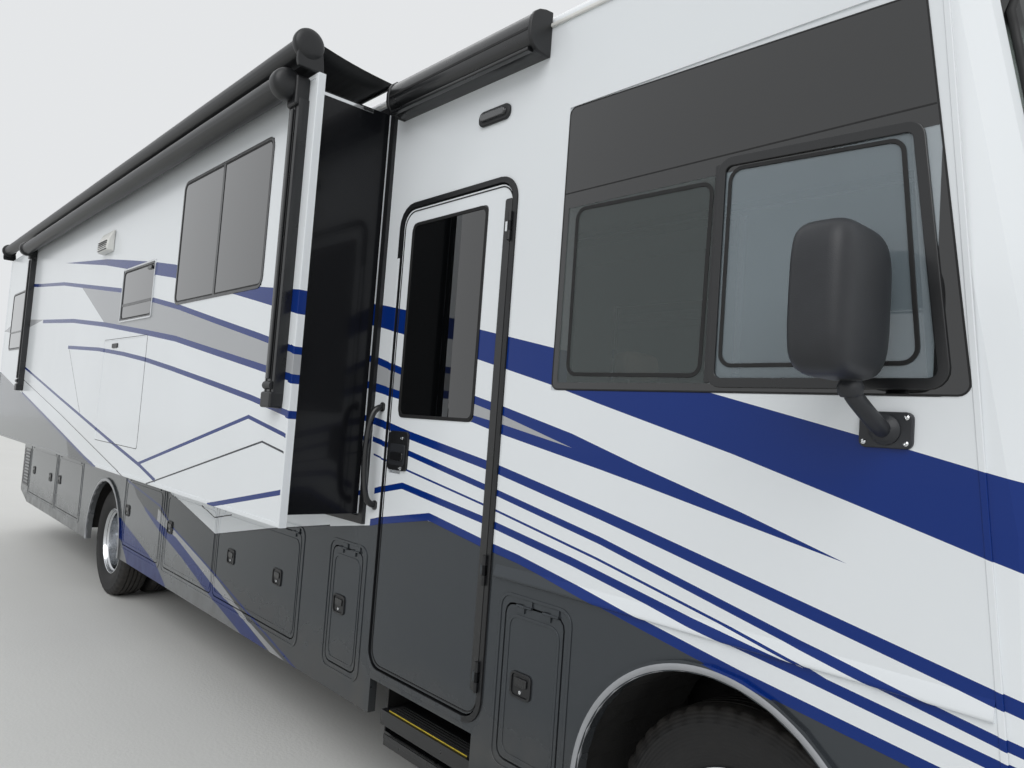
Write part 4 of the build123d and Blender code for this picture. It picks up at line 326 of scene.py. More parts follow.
def mixed(tree, share, first, second):
    """Colour between two others."""
    return place(tree, "ShaderNodeMix", {0: share, 6: first, 7: second}, data_type="RGBA").outputs[2]


# Finishes, each made once and named for the real surface


def gelcoat_paint(colours):
    """Gelcoated fibreglass with sprayed stripes under clear lacquer: deep gloss, slight panel waves."""
    material, tree, shader = finish("Gelcoat with sprayed stripes", "#FFFFFF", 0.2, coat=0.12,
                                    coat_roughness=0.03, ior=1.34)
    where, (along, across, height) = place_of(tree)
    grey, pale = [math_node(tree, "LESS_THAN", height, edge_height(tree, along, edge))
                  for edge in (GREY_TOP, PALE_TOP)]
    blue_bands, silver_bands = [[band_mask(tree, along, height, *band) for band in bands]
                                for bands in (BLUE_BANDS, SILVER_BANDS)]
    blue_lines, dark_lines = [[line_mask(tree, along, height, *line) for line in lines]
                              for lines in (BLUE_LINES, DARK_LINES)]
    facing_way = place(tree, "ShaderNodeSeparateXYZ",
                       {0: tree.nodes["Texture Coordinate"].outputs["Normal"]}).outputs
    far_out = math_node(tree, "ABSOLUTE", across)
    # The end walls of the slide-outs are black panels between the coach and the outer panel.
    end_face = math_node(tree, "GREATER_THAN", math_node(tree, "ABSOLUTE", facing_way[0]), 0.7)
    above_sill = math_node(tree, "GREATER_THAN", height, 1.3)
    end_wall = all_of(tree, [end_face, between(tree, far_out, 1.3035, 1.6965), above_sill])
    # The entry door's hinge barrels stand out of the wall and are black.
    barrels = all_of(tree, [between(tree, along, 3.705, 3.765), between(tree, far_out, 1.2837, 1.3093)])
    # Faces turned towards the inside of the coach are coloured dark all over.
    inward = math_node(tree, "MULTIPLY", facing_way[1], math_node(tree, "SIGN", across))
    colour = mixed(tree, grey, colours.white[:],
                   mixed(tree, pale, colours.lower_grey[:], colours.pale_grey[:]))
    for share, sprayed in ((any_of(tree, silver_bands), colours.silver),
                           (any_of(tree, blue_bands + blue_lines), colours.blue),
                           (any_of(tree, dark_lines), colours.line_dark),
                           (any_of(tree, [end_wall, barrels]), colours.end_black),
                           (math_node(tree, "LESS_THAN", inward, -0.5), colours.inner_side)):
        colour = mixed(tree, share, colour, sprayed[:])
    dust = all_of(tree, [ranged(tree, height, 0.8, 0.43, 0.0, 0.35), patch(tree, where, 0.12, 5, 0.2, 1.0)])
    colour = mixed(tree, dust, colour, linear("#77726A"))
    shaded(tree, shader, colour, patch(tree, where, 0.9, 2, 0.0, 1.0), 0.035)
    # Metal flake only in the grey paint
    tree.links.new(math_node(tree, "MULTIPLY", grey, 0.55), shader.inputs["Metallic"])
    tree.links.new(ranged(tree, dust, 0.0, 0.35, 0.2, 0.55), shader.inputs["Roughness"])
    # Panel waves 0.35 m across
    bumped(tree, shader, noise(tree, where, 0.35, 1.0), 0.0008)
    return material


def surface(name, base, roughness, grain, depth, spread=0.08, amount=0.25, **rest):
    """A plain finish with fine grain of a real size in metres, soft colour patches and patchy gloss."""
    material, tree, shader = finish(name, base, roughness, **rest)
    where = place_of(tree)[0]
    patches = patch(tree, where, spread, 5, 0.0, 1.0)
    shaded(tree, shader, linear(base), patches, amount)
    gloss = math_node(tree, "MULTIPLY_ADD", patches, 0.25 * roughness, 0.88 * roughness)
    tree.links.new(gloss, shader.inputs["Roughness"])
    bumped(tree, shader, noise(tree, where, grain, 3.0), depth)
    return material


def tinted_glass():
    """Dark tinted safety glass: near black where it is painted behind, see-through in the cab, where its grey
    is a painted sky reflection, paler on the front pane.
    """
    material, tree, shader = finish("Tinted glass", "#08090B", 0.015, coat=1.0, coat_roughness=0.01, ior=1.52)
    where, (along, across, height) = place_of(tree)
    opening = all_of(tree, [between(tree, along, *CAB_OPENING[:2]), between(tree, height, *CAB_OPENING[2:])])
    # Painted reflection: the grey of the glass in the cab's opening stands in for the sky mirrored in it,
    # paler on the front pane.
    front_pane = math_node(tree, "GREATER_THAN", along, 4.7)
    tint_and_reflection = mixed(tree, front_pane, linear("#3C4645"), linear("#86939A"))
    colour = mixed(tree, opening, linear("#060708"), tint_and_reflection)
    shaded(tree, shader, colour, patch(tree, where, 0.5, 2, 0.0, 1.0), 0.12)
    tree.links.new(math_node(tree, "MULTIPLY_ADD", opening, -0.5, 1.0), shader.inputs["Alpha"])
    return material


def windscreen_glass():
    """Laminated windscreen glass: clear with a green-grey cast, a shade band above and a black rim."""
    material, tree, shader = finish("Laminated windscreen glass", "#9DAAA4", 0.02, coat=0.5,
                                    coat_roughness=0.01, ior=1.52)
    height = place_of(tree)[1][2]
    covered = any_of(tree, [ranged(tree, height, 2.8, 2.93, 0.0, 1.0),
                            math_node(tree, "LESS_THAN", height, 1.86)])
    colour = mixed(tree, covered, linear("#9DAAA4"), linear("#0B0D0D"))
    tree.links.new(colour, shader.inputs["Base Color"])
    tree.links.new(math_node(tree, "MULTIPLY_ADD", covered, 0.68, 0.3), shader.inputs["Alpha"])
    return material


def mirror_grain():
    """Textured moulded ABS: matt black with a leather grain, drawn at 3 mm so that it shows."""
    material, tree, shader = finish("Grained black ABS", "#26282C", 0.46)
    where = place_of(tree)[0]
    shaded(tree, shader, linear("#26282C"), patch(tree, where, 0.05, 4, 0.0, 1.0), 0.2)
    cells = place(tree, "ShaderNodeTexVoronoi", {"Vector": where, "Scale": 1 / 0.003})
    bumped(tree, shader, cells.outputs["Distance"], 0.0004, 0.7)
    return material


def awning_vinyl():
    """Rolled vinyl fabric: black, lightly sheened, with wraps that show as faint lines along the roll."""
    material, tree, shader = finish("Rolled awning vinyl", "#17181A", 0.42)
    where = place_of(tree)[0]
    shaded(tree, shader, linear("#17181A"), patch(tree, where, 0.25, 4, 0.0, 1.0), 0.3)
    bumped(tree, shader, noise(tree, where, 1.0, 3.0, stretch=(0.6, 60.0, 60.0)), 0.0025, 0.8)
    return material


def tyre_rubber():
    """Vulcanised rubber: matt near-black, browner and dustier towards the tread."""
    material, tree, shader = finish("Tyre rubber", "#1A1A1B", 0.72, ior=1.52)
    where, (along, across, height) = place_of(tree)
    radius = axle_distance(tree, along, height)
    dust = all_of(tree, [ranged(tree, radius, 0.44, 0.49, 0.05, 0.55), patch(tree, where, 0.03, 5, 0.2, 1.0)])
    colour = mixed(tree, dust, linear("#1A1A1B"), linear("#4B4640"))
    tree.links.new(colour, shader.inputs["Base Color"])
    rings, grain = ripple(tree, radius, 0.012), noise(tree, where, 0.004, 3.0)
    bumped(tree, shader, math_node(tree, "MULTIPLY_ADD", rings, 0.35, grain), 0.0008)
    return material


def polished_aluminium():
    """Forged and polished aluminium: bright with fine turning marks about the axle."""
    material, tree, shader = finish("Polished forged aluminium", "#D5D7DA", 0.14, metallic=1.0)
    where, (along, across, height) = place_of(tree)
    shaded(tree, shader, linear("#D5D7DA"), patch(tree, where, 0.05, 4, 0.0, 1.0), 0.12)
    tree.links.new(patch(tree, where, 0.04, 4, 0.1, 0.24), shader.inputs["Roughness"])
    bumped(tree, shader, ripple(tree, axle_distance(tree, along, height), 0.003), 0.00006)
    return material


def lamp_lens(name, base, ribs):
    """Moulded clear lens over a reflector: bright, coloured, with upright ribs of a real pitch, and painted
    highlight and shade in step with the ribs.
    """
    material, tree, shader = finish(name, base, 0.06, coat=1.0, coat_roughness=0.02, ior=1.58)
    along, across = place_of(tree)[1][:2]
    wave = ripple(tree, across, ribs)
    behind = math_node(tree, "LESS_THAN", along, -5.0)
    # Painted highlight and shade: the colour is lighter and darker in step with the ribs.
    shaded(tree, shader, mixed(tree, behind, linear(base), linear("#7E1014")),
           ranged(tree, wave, -1.0, 1.0, 0.0, 1.0), 0.35)
    bumped(tree, shader, wave, 0.0015)
    return material


def upholstery():
    """Coated seat leather: tan, softly creased, with a fine pebble grain."""
    material, tree, shader = finish("Pebbled seat leather", "#8A735C", 0.42)
    where = place_of(tree)[0]
    shaded(tree, shader, linear("#8A735C"), patch(tree, where, 0.1, 4, 0.0, 1.0), 0.2)
    pebbles = place(tree, "ShaderNodeTexVoronoi", {"Vector": where, "Scale": 1 / 0.004}).outputs["Distance"]
    relief = math_node(tree, "MULTIPLY_ADD", noise(tree, where, 0.06, 2.0), 4.0, pebbles)
    bumped(tree, shader, relief, 0.0006)
    return material


def floor_planks():
    """Vinyl plank floor: wood-toned boards 150 mm wide with fine streaks along them."""
    material, tree, shader = finish("Vinyl floor planks", "#7A5C40", 0.45, coat=0.2)
    where, (along, across, height) = place_of(tree)
    boards = place(tree, "ShaderNodeTexBrick", {
        "Vector": where, "Scale": 1.0, "Color1": linear("#7A5C40"), "Color2": linear("#8C6B4A"),
        "Mortar": linear("#3A2C20"), "Mortar Size": 0.002, "Brick Width": 1.2, "Row Height": 0.15}).outputs[0]
    grain = noise(tree, where, 1.0, 4.0, stretch=(3.0, 90.0, 3.0))
    far_out = math_node(tree, "ABSOLUTE", across)
    # Boards only on top and inside the walls; the floor's edges are black
    inside = all_of(tree, [math_node(tree, "GREATER_THAN", height, 1.24),
                           math_node(tree, "LESS_THAN", far_out, 1.225)])
    shaded(tree, shader, mixed(tree, inside, linear("#161616"), boards), grain, 0.3)
    bumped(tree, shader, grain, 0.0003)
    return material


def make_finishes(colours):
    """Every finish of the coach by a short name."""
    return {
        "paint": gelcoat_paint(colours),
        "glass": tinted_glass(),
        "screen": windscreen_glass(),
        "grained": mirror_grain(),
        "vinyl": awning_vinyl(),
        "tyre": tyre_rubber(),
        "polished": polished_aluminium(),
        "leather": upholstery(),
        "planks": floor_planks(),
        "clear_lens": lamp_lens("Clear lamp lens", "#B9BEC4", 0.03),
        "red_lens": lamp_lens("Red lamp lens", "#8E1216", 0.012),
        "amber_lens": lamp_lens("Amber lamp lens", "#C86A12", 0.008),
        "smoked_lens": lamp_lens("Smoked lamp lens", "#2A2B2D", 0.01),
        # Black leather of the steering wheel: fine grain, slightly worn
        "leather_black": surface("Black grip leather", "#1C1B1A", 0.5, 0.003, 0.0003),
        # Blank display glass: black and mirror smooth
        "gloss_black": surface("Black display glass", "#050506", 0.05, 0.2, 0.00002, coat=0.8, amount=0.1),
        # Silver-grey painted moulding of the wheel arches: satin metallic
        "arch_silver": surface("Silver painted moulding", "#A3A5A9", 0.34, 0.004, 0.0001, metallic=0.4,
                               coat=0.5, amount=0.1),
        # Black powder coat on aluminium: even satin black with faint orange peel
        "black_metal": surface("Black powder-coated aluminium", "#131416", 0.3, 0.004, 0.00012, coat=0.35,
                               coat_roughness=0.15, amount=0.15),
        # EPDM rubber: dull black seals that frame the doors and windows
        "rubber": surface("EPDM rubber seal", "#101011", 0.62, 0.006, 0.0003),
        # Smooth moulded plastic: black, a little glossier than the rubber
        "black_plastic": surface("Moulded black plastic", "#18191B", 0.38, 0.003, 0.00015),
        # White moulded plastic: roof shrouds, vents and rain rails, slightly chalky
        "white_plastic": surface("Weathered white moulding", "#E2E2DE", 0.45, 0.005, 0.0002, amount=0.08),
        # Undercoated steel: rough black chassis, springs and wheelhouses
        "undercoat": surface("Undercoated steel", "#191817", 0.78, 0.009, 0.0012, amount=0.5),
        # Forged steel of the steering parts: dark scale with oily patches
        "forged": surface("Forged steel", "#3A3937", 0.55, 0.005, 0.0005, metallic=0.7, amount=0.5),
        # Aluminised exhaust tube: dull silver with heat-browned patches
        "exhaust": surface("Aluminised steel tube", "#8B867D", 0.42, 0.004, 0.0002, metallic=1.0,
                           amount=0.45),
        # Cast iron of the engine: grey, grainy and greasy
        "cast": surface("Cast iron", "#35363A", 0.6, 0.006, 0.0008, metallic=0.5, amount=0.4),
        # Roto-moulded tank plastic: waxy black with a coarse skin
        "tank": surface("Roto-moulded polyethylene", "#1D1E1F", 0.55, 0.012, 0.0006),
        # Chromed steel: lug nuts, lamp bezels and drip bars, mirror bright
        "chrome": surface("Chromed steel", "#D8DADC", 0.08, 0.01, 0.00002, metallic=1.0, amount=0.08),
        # Soft-touch dashboard skin: dark grey with a fine pebble
        "dash": surface("Soft-touch dashboard skin", "#2A2927", 0.6, 0.003, 0.0003),
        # Grip tape: black grit on the step treads
        "grit": surface("Black grip tape", "#1B1B1B", 0.9, 0.003, 0.0012, spread=0.02, amount=0.6),
        # Safety line on the step: worn yellow paint
        "yellow": surface("Worn yellow edge strip", "#C9B23A", 0.55, 0.004, 0.0003, spread=0.02, amount=0.4),
        # Silvered mirror glass: clear reflections behind the mirror heads
        "silvered": surface("Silvered mirror glass", "#E8ECEC", 0.015, 0.5, 0.00001, metallic=1.0,
                            amount=0.02),
    }


# Finish of each node that is carried over from the frame
NODE_FINISHES = {name: nodes.split() for name, nodes in {
    "paint": "front_cap rear_cap roof left_wall right_wall left_slide_room right_slide_room entry_door "
             "left_skirt right_skirt " + " ".join(row[0] for row in BAYS),
    "glass": "side_glass entry_door_glass left_slide_glass right_slide_glass",
    "screen": "windscreen",
    "clear_lens": "lamps",
    "black_plastic": "grille opening_trims",
    "black_metal": "entry_step door_awning left_topper right_awnings hand_rails",
    "grained": "mirrors",
    "planks": "floor",
    "undercoat": "chassis_frame axles wheelhouses storage_trays rear_bumper",
    "forged": "left_knuckle right_knuckle tie_rod",
    "exhaust": "exhaust",
    "cast": "engine_block",
    "tank": "tanks",
    "dash": "dashboard steering_wheel",
    "leather": "cab_seats",
    "white_plastic": "roof_units",
    "tyre": "front_left_tyre front_right_tyre rear_left_tyres rear_right_tyres",
    "polished": "front_left_rim front_right_rim rear_left_rims rear_right_rims",
}.items()}

# Finishes by their short names, filled by the first operator
FINISHES = {}


# Shapes of the pieces


def spot(axis, first, second, along):
    """Point from two coordinates across an axis and one along it."""
    return {"x": (along, first, second), "y": (first, along, second), "z": (first, second, along)}[axis]


def around(count, radius=1.0, start=0.0):
    """Places on a circle, as pairs; the start is a share of the step between them."""
    turns = [2 * math.pi * (number + start) / count for number in range(count)]
    return [(radius * math.cos(turn), radius * math.sin(turn)) for turn in turns]


def soft_outline(centre, width, height, radius, steps=6):
    """Rectangle with rounded corners, as points."""
    points = []
    for turn, (way_a, way_b) in enumerate(((1, 1), (-1, 1), (-1, -1), (1, -1))):
        corner = (centre[0] + way_a * (width / 2 - radius), centre[1] + way_b * (height / 2 - radius))
        for step in range(steps + 1):
            angle = math.radians(90 * (turn + step / steps))
            points.append((corner[0] + radius * math.cos(angle), corner[1] + radius * math.sin(angle)))
    return points


def limits_outline(limits, inset, radius, steps=6):
    """Rounded rectangle from rear, front, low and high edges, set in by a distance."""
    rear, front, low, high = limits
    return soft_outline(((rear + front) / 2, (low + high) / 2), front - rear - 2 * inset,
                        high - low - 2 * inset, max(radius - inset, 0.001), steps)


def rounded_polygon(corners, radius, inset=0.0):
    """Outline of a convex polygon, set in by a distance, with rounded corners, run anticlockwise."""
    steps = 5
    round_by = max(radius - inset, 0.001)
    lines = []
    for start, end in zip(corners, corners[1:] + corners[:1]):
        way = (Vector(end) - Vector(start)).normalized()
        lines.append((Vector(start) + Vector((-way.y, way.x)) * inset, way))
    points = []
    for i, (after, turn) in enumerate(lines):
        start, way = lines[i - 1]
        cross = way.x * turn.y - way.y * turn.x
        reach = ((after.x - start.x) * turn.y - (after.y - start.y) * turn.x) / cross
        corner = start + way * reach
        angle = math.atan2(cross, way.dot(turn))
        back = round_by * math.tan(angle / 2)
        centre = corner - way * back + Vector((-way.y, way.x)) * round_by
        from_angle = math.atan2(-way.x, way.y)
        for step in range(steps + 1):
            at = from_angle + angle * step / steps
            points.append((centre.x + round_by * math.cos(at), centre.y + round_by * math.sin(at)))
    return points


def rectangle(rear, front, low, high):
    """Corners of an upright rectangle."""
    return ((rear, low), (front, low), (front, high), (rear, high))


def handed(side, profile, out=0.0):
    """Profile in distances from a wall or a middle plane, moved out and turned to one side."""
    return [(side * (out + y), other) for y, other in profile]


def quads(rows, columns, closed=False):
    """Faces of a net of points in rows; a closed net joins the ends of each row."""
    step = columns if closed else columns + 1
    return [[row * step + c, row * step + (c + 1) % step, (row + 1) * step + (c + 1) % step,
             (row + 1) * step + c] for row in range(rows) for c in range(columns)]


class Shape:
    """Points and faces of a piece under construction."""

    def __init__(self):
        self.points = []
        self.faces = []

    def put(self, points, faces):
        """Adds points, and faces that count from the first of them."""
        start = len(self.points)
        self.points += points
        self.faces += [[start + i for i in face] for face in faces]
        return self

    def prism(self, axis, outline, low, high):
        """Closed prism of an outline between two places along an axis."""
        count = len(outline)
        points = [spot(axis, a, b, along) for along in (low, high) for a, b in outline]
        ends = [list(range(count))[::-1], list(range(count, 2 * count))]
        return self.put(points, quads(1, count, closed=True) + ends)

    def ring(self, axis, outer, inner, low, high):
        """Frame between two outlines with as many points each."""
        count = len(outer)
        points = [spot(axis, a, b, along) for along in (low, high) for a, b in outer + inner]
        faces = [[row + i, row + (i + 1) % count, far + (i + 1) % count, far + i] for i in range(count)
                 for row, far in ((0, count), (2 * count, 3 * count), (0, 2 * count), (count, 3 * count))]
        return self.put(points, faces)

    def lathe(self, axis, centre, profile, sides=48, notch=None):
        """Turned form. Profile: place along the axis, radius. Notched rings dip on every third side."""
        points = []
        rows = []
        for number, (along, radius) in enumerate(profile):
            if radius <= 0:
                rows.append([len(points)])
                points.append(spot(axis, 0.0, 0.0, along))
                continue
            rows.append(list(range(len(points), len(points) + sides)))
            for side, (first, second) in enumerate(around(sides)):
                dip = notch[1] if notch and number in notch[0] and side % 3 == 0 else 0.0
                points.append(spot(axis, (radius - dip) * first, (radius - dip) * second, along))
        faces = []
        for near, far in zip(rows, rows[1:]):
            for side in range(sides):
                after = (side + 1) % sides
                if len(near) == 1:
                    faces.append([near[0], far[side], far[after]])
                elif len(far) == 1:
                    faces.append([near[side], near[after], far[0]])
                else:
                    faces.append([near[side], near[after], far[after], far[side]])
        return self.put([tuple(Vector(p) + Vector(centre)) for p in points], faces)

    def block(self, x_range, y_range, z_range):
        """Box between three pairs of limits, to be rounded by the piece's bevel."""
        return self.prism("z", rectangle(*x_range, *y_range), *z_range)


# Points nearer than this are one, and edges sharper than the angle are rounded
WELD = 0.00001
BEVEL_ANGLE = math.radians(40)


def recalculated(mesh, weld=False):
    """Turns a mesh's faces outwards, with its double points joined where asked."""
    work = bmesh.new()
    work.from_mesh(mesh)
    if weld:
        bmesh.ops.remove_doubles(work, verts=work.verts, dist=WELD)
    bmesh.ops.recalc_face_normals(work, faces=work.faces)
    work.to_mesh(mesh)
    work.free()


def linked(name, data, place_at=(0.0, 0.0, 0.0), turned=(0.0, 0.0, 0.0)):
    """New object in the scene."""
    item = bpy.data.objects.new(name, data)
    bpy.context.scene.collection.objects.link(item)
    item.location = place_at
    item.rotation_euler = turned
    return item


def evaluated(item):
    """Mesh of an object with its modifiers applied."""
    bpy.context.view_layer.update()
    return bpy.data.meshes.new_from_object(item.evaluated_get(bpy.context.evaluated_depsgraph_get()))


def piece(name, body, shape, material, bevel=0.0, segments=2, smooth=35, at=(0.0, 0.0, 0.0),
          turned=(0.0, 0.0, 0.0)):
    """Makes one piece of the dressing, rounded and shaded, on its body."""
    mesh = bpy.data.meshes.new(name)
    mesh.from_pydata(shape.points, [], shape.faces)
    recalculated(mesh, weld=True)
    mesh.shade_smooth()
    mesh.set_sharp_from_angle(angle=math.radians(smooth))
    mesh.materials.append(FINISHES[material])
    item = linked(name, mesh, at, turned)
    if bevel:
        rounding = item.modifiers.new("Rounded edges", "BEVEL")
        rounding.width = bevel
        rounding.segments = segments
        rounding.limit_method = "ANGLE"
        rounding.angle_limit = BEVEL_ANGLE
        rounding.harden_normals = True
    if body:
        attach(item, body)
    return item


def prism(name, body, axis, outline, low, high, material, bevel=0.0, **look):
    """One piece from an outline drawn out along an axis."""
    return piece(name, body, Shape().prism(axis, outline, low, high), material, bevel, **look)


def lathed(name, body, axis, centre, profile, material, sides=48, **look):
    """One piece turned about an axis."""
    return piece(name, body, Shape().lathe(axis, centre, profile, sides), material, **look)


def block(name, body, x_range, y_range, z_range, material, bevel, segments=2):
    """One piece from a box."""
    return piece(name, body, Shape().block(x_range, y_range, z_range), material, bevel, segments)


def bar(name, body, points, radius, material, smooth=True, cyclic=False):
    """Round bar along a line of points."""
    curve = bpy.data.curves.new(name, "CURVE")
    curve.dimensions = "3D"
    curve.bevel_depth = radius
    curve.bevel_resolution = 6
    curve.use_fill_caps = True
    curve.resolution_u = 8
    spline = curve.splines.new("NURBS" if smooth else "POLY")
    spline.points.add(len(points) - 1)
    for item, point in zip(spline.points, points):
        item.co = (*point, 1.0)
    spline.use_cyclic_u = cyclic
    if smooth:
        spline.order_u = 3
        spline.use_endpoint_u = not cyclic
    curve.materials.append(FINISHES[material])
    item = linked(name, curve)
    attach(item, body)
    return item


def cut_out(item, cutter):
    """Cuts one shape out of a piece for good."""
    mesh = bpy.data.meshes.new("cutter")
    mesh.from_pydata(cutter.points, [], cutter.faces)
    recalculated(mesh)
    tool = linked("cutter", mesh)
    cutting = item.modifiers.new("Cut", "BOOLEAN")
    cutting.object = tool
    cutting.solver = "EXACT"
    shaped = evaluated(item)
    item.modifiers.remove(cutting)
    item.data = shaped
    shaped.shade_smooth()
    shaped.set_sharp_from_angle(angle=math.radians(35))
    bpy.data.objects.remove(tool)
    bpy.data.meshes.remove(mesh)


# How far a flat ring or plate reaches into the wall it stands on
SUNK = 0.004


def frame_ring(name, body, corners, radius, out, side, width, proud, material="rubber", bevel=0.0015):
    """Flat ring that frames an opening on a side of the coach and stands proud of it."""
    outer, inner = rounded_polygon(corners, radius), rounded_polygon(corners, radius, width)
    return piece(name, body, Shape().ring("y", outer, inner, side * (out - SUNK), side * (out + proud)),
                 material, bevel)


def facing(name, body, corners, radius, out, side, proud, material, bevel=0.002):
    """Flat plate with rounded corners on a side of the coach."""
    return prism(name, body, "y", rounded_polygon(corners, radius), side * (out - SUNK),
                 side * (out + proud), material, bevel)


def met(node, start, way):
    """Point at which a line meets a node of the frame."""
    hit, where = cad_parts[node].ray_cast(Vector(start), Vector(way))[:2]
    if not hit:
        raise RuntimeError(f"nothing of {node} from {start}")
    return where


def surface_x(node, across, height, from_front=True):
    """Distance along the coach at which a line from the front or the rear meets a node."""
    start, way = (7.0, -1.0) if from_front else (-7.0, 1.0)
    return met(node, (start, across, height), (way, 0.0, 0.0)).x


def surface_z(node, along, across):
    """Height at which a line from above meets a node."""
    return met(node, (along, across, 3.0), (0.0, 0.0, -1.0)).z


def bulb_form(centre, half, squareness, sides=40, rows=24, flat_back=0.0, low=None):
    """Rounded box form: round at squareness 2, boxier above it. A flat back or a low limit cuts it off."""
    def power(value):
        return math.copysign(abs(value) ** (2 / squareness), value)

    points = []
    for row in range(rows + 1):
        polar = math.pi * row / rows
        for side in range(sides):
            turn = 2 * math.pi * side / sides
            x = half[0] * power(math.sin(polar)) * power(math.cos(turn))
            y = half[1] * power(math.sin(polar)) * power(math.sin(turn))
            height = centre[2] + half[2] * power(math.cos(polar))
            if flat_back:
                x = max(x, -flat_back)
            points.append((centre[0] + x, centre[1] + y, height if low is None else max(height, low)))
    return Shape().put(points, quads(rows, sides, closed=True))


# Sizes and colours that a user may change


class PaintColours(bpy.types.PropertyGroup):
    white: bpy.props.FloatVectorProperty(
        name="Gelcoat white", description="Upper body", subtype="COLOR", size=4, min=0.0, max=1.0,
        default=linear("#E8ECEF"))
    lower_grey: bpy.props.FloatVectorProperty(
        name="Lower grey", description="Metallic grey of the lower body", subtype="COLOR", size=4,
        min=0.0, max=1.0, default=linear("#484C50"))
    pale_grey: bpy.props.FloatVectorProperty(
        name="Pale grey", description="Lighter grey towards the rear", subtype="COLOR", size=4, min=0.0,
        max=1.0, default=linear("#7F8285"))
    silver: bpy.props.FloatVectorProperty(
        name="Silver", description="Silver bands between the blue stripes", subtype="COLOR", size=4,
        min=0.0, max=1.0, default=linear("#A9ABAE"))
    blue: bpy.props.FloatVectorProperty(
        name="Blue", description="Blue stripes", subtype="COLOR", size=4, min=0.0, max=1.0,
        default=linear("#042C78"))
    line_dark: bpy.props.FloatVectorProperty(
        name="Dark line", description="Thin dark pinstripes", subtype="COLOR", size=4, min=0.0, max=1.0,
        default=linear("#2B2E38"))
    end_black: bpy.props.FloatVectorProperty(
        name="End wall black", description="End walls of the slide-outs", subtype="COLOR", size=4,
        min=0.0, max=1.0, default=linear("#121316"))
    inner_side: bpy.props.FloatVectorProperty(
        name="Inner side colour", description="Inner side of the shell", subtype="COLOR", size=4, min=0.0, max=1.0,
        default=linear("#3A3632"))


class WheelSizes(bpy.types.PropertyGroup):
    hand_holes: bpy.props.IntProperty(
        name="Hand holes", description="Holes through each wheel disc", default=10, min=4, max=16)
    hole_circle: bpy.props.FloatProperty(
        name="Hole circle", description="Radius of the circle of hand holes", default=0.222,
        unit="LENGTH")
    hole_radius: bpy.props.FloatProperty(
        name="Hole radius", description="Radius of one hand hole", default=0.028, unit="LENGTH")
    lug_nuts: bpy.props.IntProperty(
        name="Lug nuts", description="Nuts on each wheel", default=10, min=4, max=12)
    lug_circle: bpy.props.FloatProperty(
        name="Lug circle", description="Radius of the circle of lug nuts", default=0.1676, unit="LENGTH")
    tread_depth: bpy.props.FloatProperty(
        name="Tread depth", description="Depth of the tread grooves", default=0.012, unit="LENGTH")


class TrimSizes(bpy.types.PropertyGroup):
    seal_width: bpy.props.FloatProperty(
        name="Seal width", description="Rubber seals around the bay doors", default=0.007, unit="LENGTH")
    latch_length: bpy.props.FloatProperty(
        name="Latch length", description="Length of a bay door latch", default=0.112, unit="LENGTH")
    latch_height: bpy.props.FloatProperty(
        name="Latch height", description="Height of a bay door latch", default=0.096, unit="LENGTH")
    frame_width: bpy.props.FloatProperty(
        name="Window frame", description="Face width of the window frames", default=0.016, unit="LENGTH")
    arch_lip: bpy.props.FloatProperty(
        name="Arch lip", description="Face width of the wheel arch lips", default=0.021, unit="LENGTH")


class AwningSizes(bpy.types.PropertyGroup):
    roller_radius: bpy.props.FloatProperty(
        name="Roller radius", description="Rolled fabric of the patio awning", default=0.058,
        unit="LENGTH")
    cap_radius: bpy.props.FloatProperty(
        name="Cap radius", description="End caps of the patio awning", default=0.075, unit="LENGTH")
    topper_width: bpy.props.FloatProperty(
        name="Topper width", description="Fabric from the roof to a slide topper", default=0.52,
        unit="LENGTH")


class CabSizes(bpy.types.PropertyGroup):
    cushion_swell: bpy.props.FloatProperty(
        name="Cushion swell", description="Most that a seat cushion swells", default=0.022, unit="LENGTH")
    wheel_rim: bpy.props.FloatProperty(
        name="Steering wheel grip", description="Radius of the wheel's grip", default=0.015,
        unit="LENGTH")


class StageLook(bpy.types.PropertyGroup):
    floor_colour: bpy.props.FloatVectorProperty(
        name="Floor", description="Plain pale floor", subtype="COLOR", size=4, min=0.0, max=1.0,
        default=linear("#D9D9D6"))
    lens: bpy.props.FloatProperty(
        name="Lens", description="Focal length in millimetres on a 36 mm sensor", default=26.79, min=10.0,
        max=200.0)
    soft_light: bpy.props.FloatProperty(
        name="Soft light", description="Strength of the surroundings", default=0.62, min=0.0, max=4.0)
    key_power: bpy.props.FloatProperty(
        name="Key light", description="Strength of the soft key lamp", default=1.25, min=0.0)


# Pieces


class DressBody(bpy.types.Operator):
    """Makes the finishes and gives each carried-over node its own"""
    bl_idname = "motorhome.dress_body"
    bl_label = "Paint and glaze the body"

    def execute(self, context):
        FINISHES.update(make_finishes(context.scene.motorhome_paint))
        for name, nodes in NODE_FINISHES.items():
            for node in nodes:
                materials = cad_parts[node].data.materials
                materials.clear()
                materials.append(FINISHES[name])
        return {"FINISHED"}


# Profiles about the axle: distance from the middle of the wheel, radius
TYRE_HALF = ((-0.09, 0.284), (-0.096, 0.3), (-0.106, 0.312), (-0.109, 0.318), (-0.121, 0.345),
             (-0.1265, 0.375), (-0.127, 0.4), (-0.125, 0.43), (-0.1265, 0.436), (-0.12, 0.455),
             (-0.112, 0.474), (-0.104, 0.484), (-0.092, 0.4885))
TYRE_RADIUS = 0.49
# Rows of the tyre's profile that are notched: both shoulders
SHOULDERS = (9, 10, 11, 12, 29, 30, 31, 32)
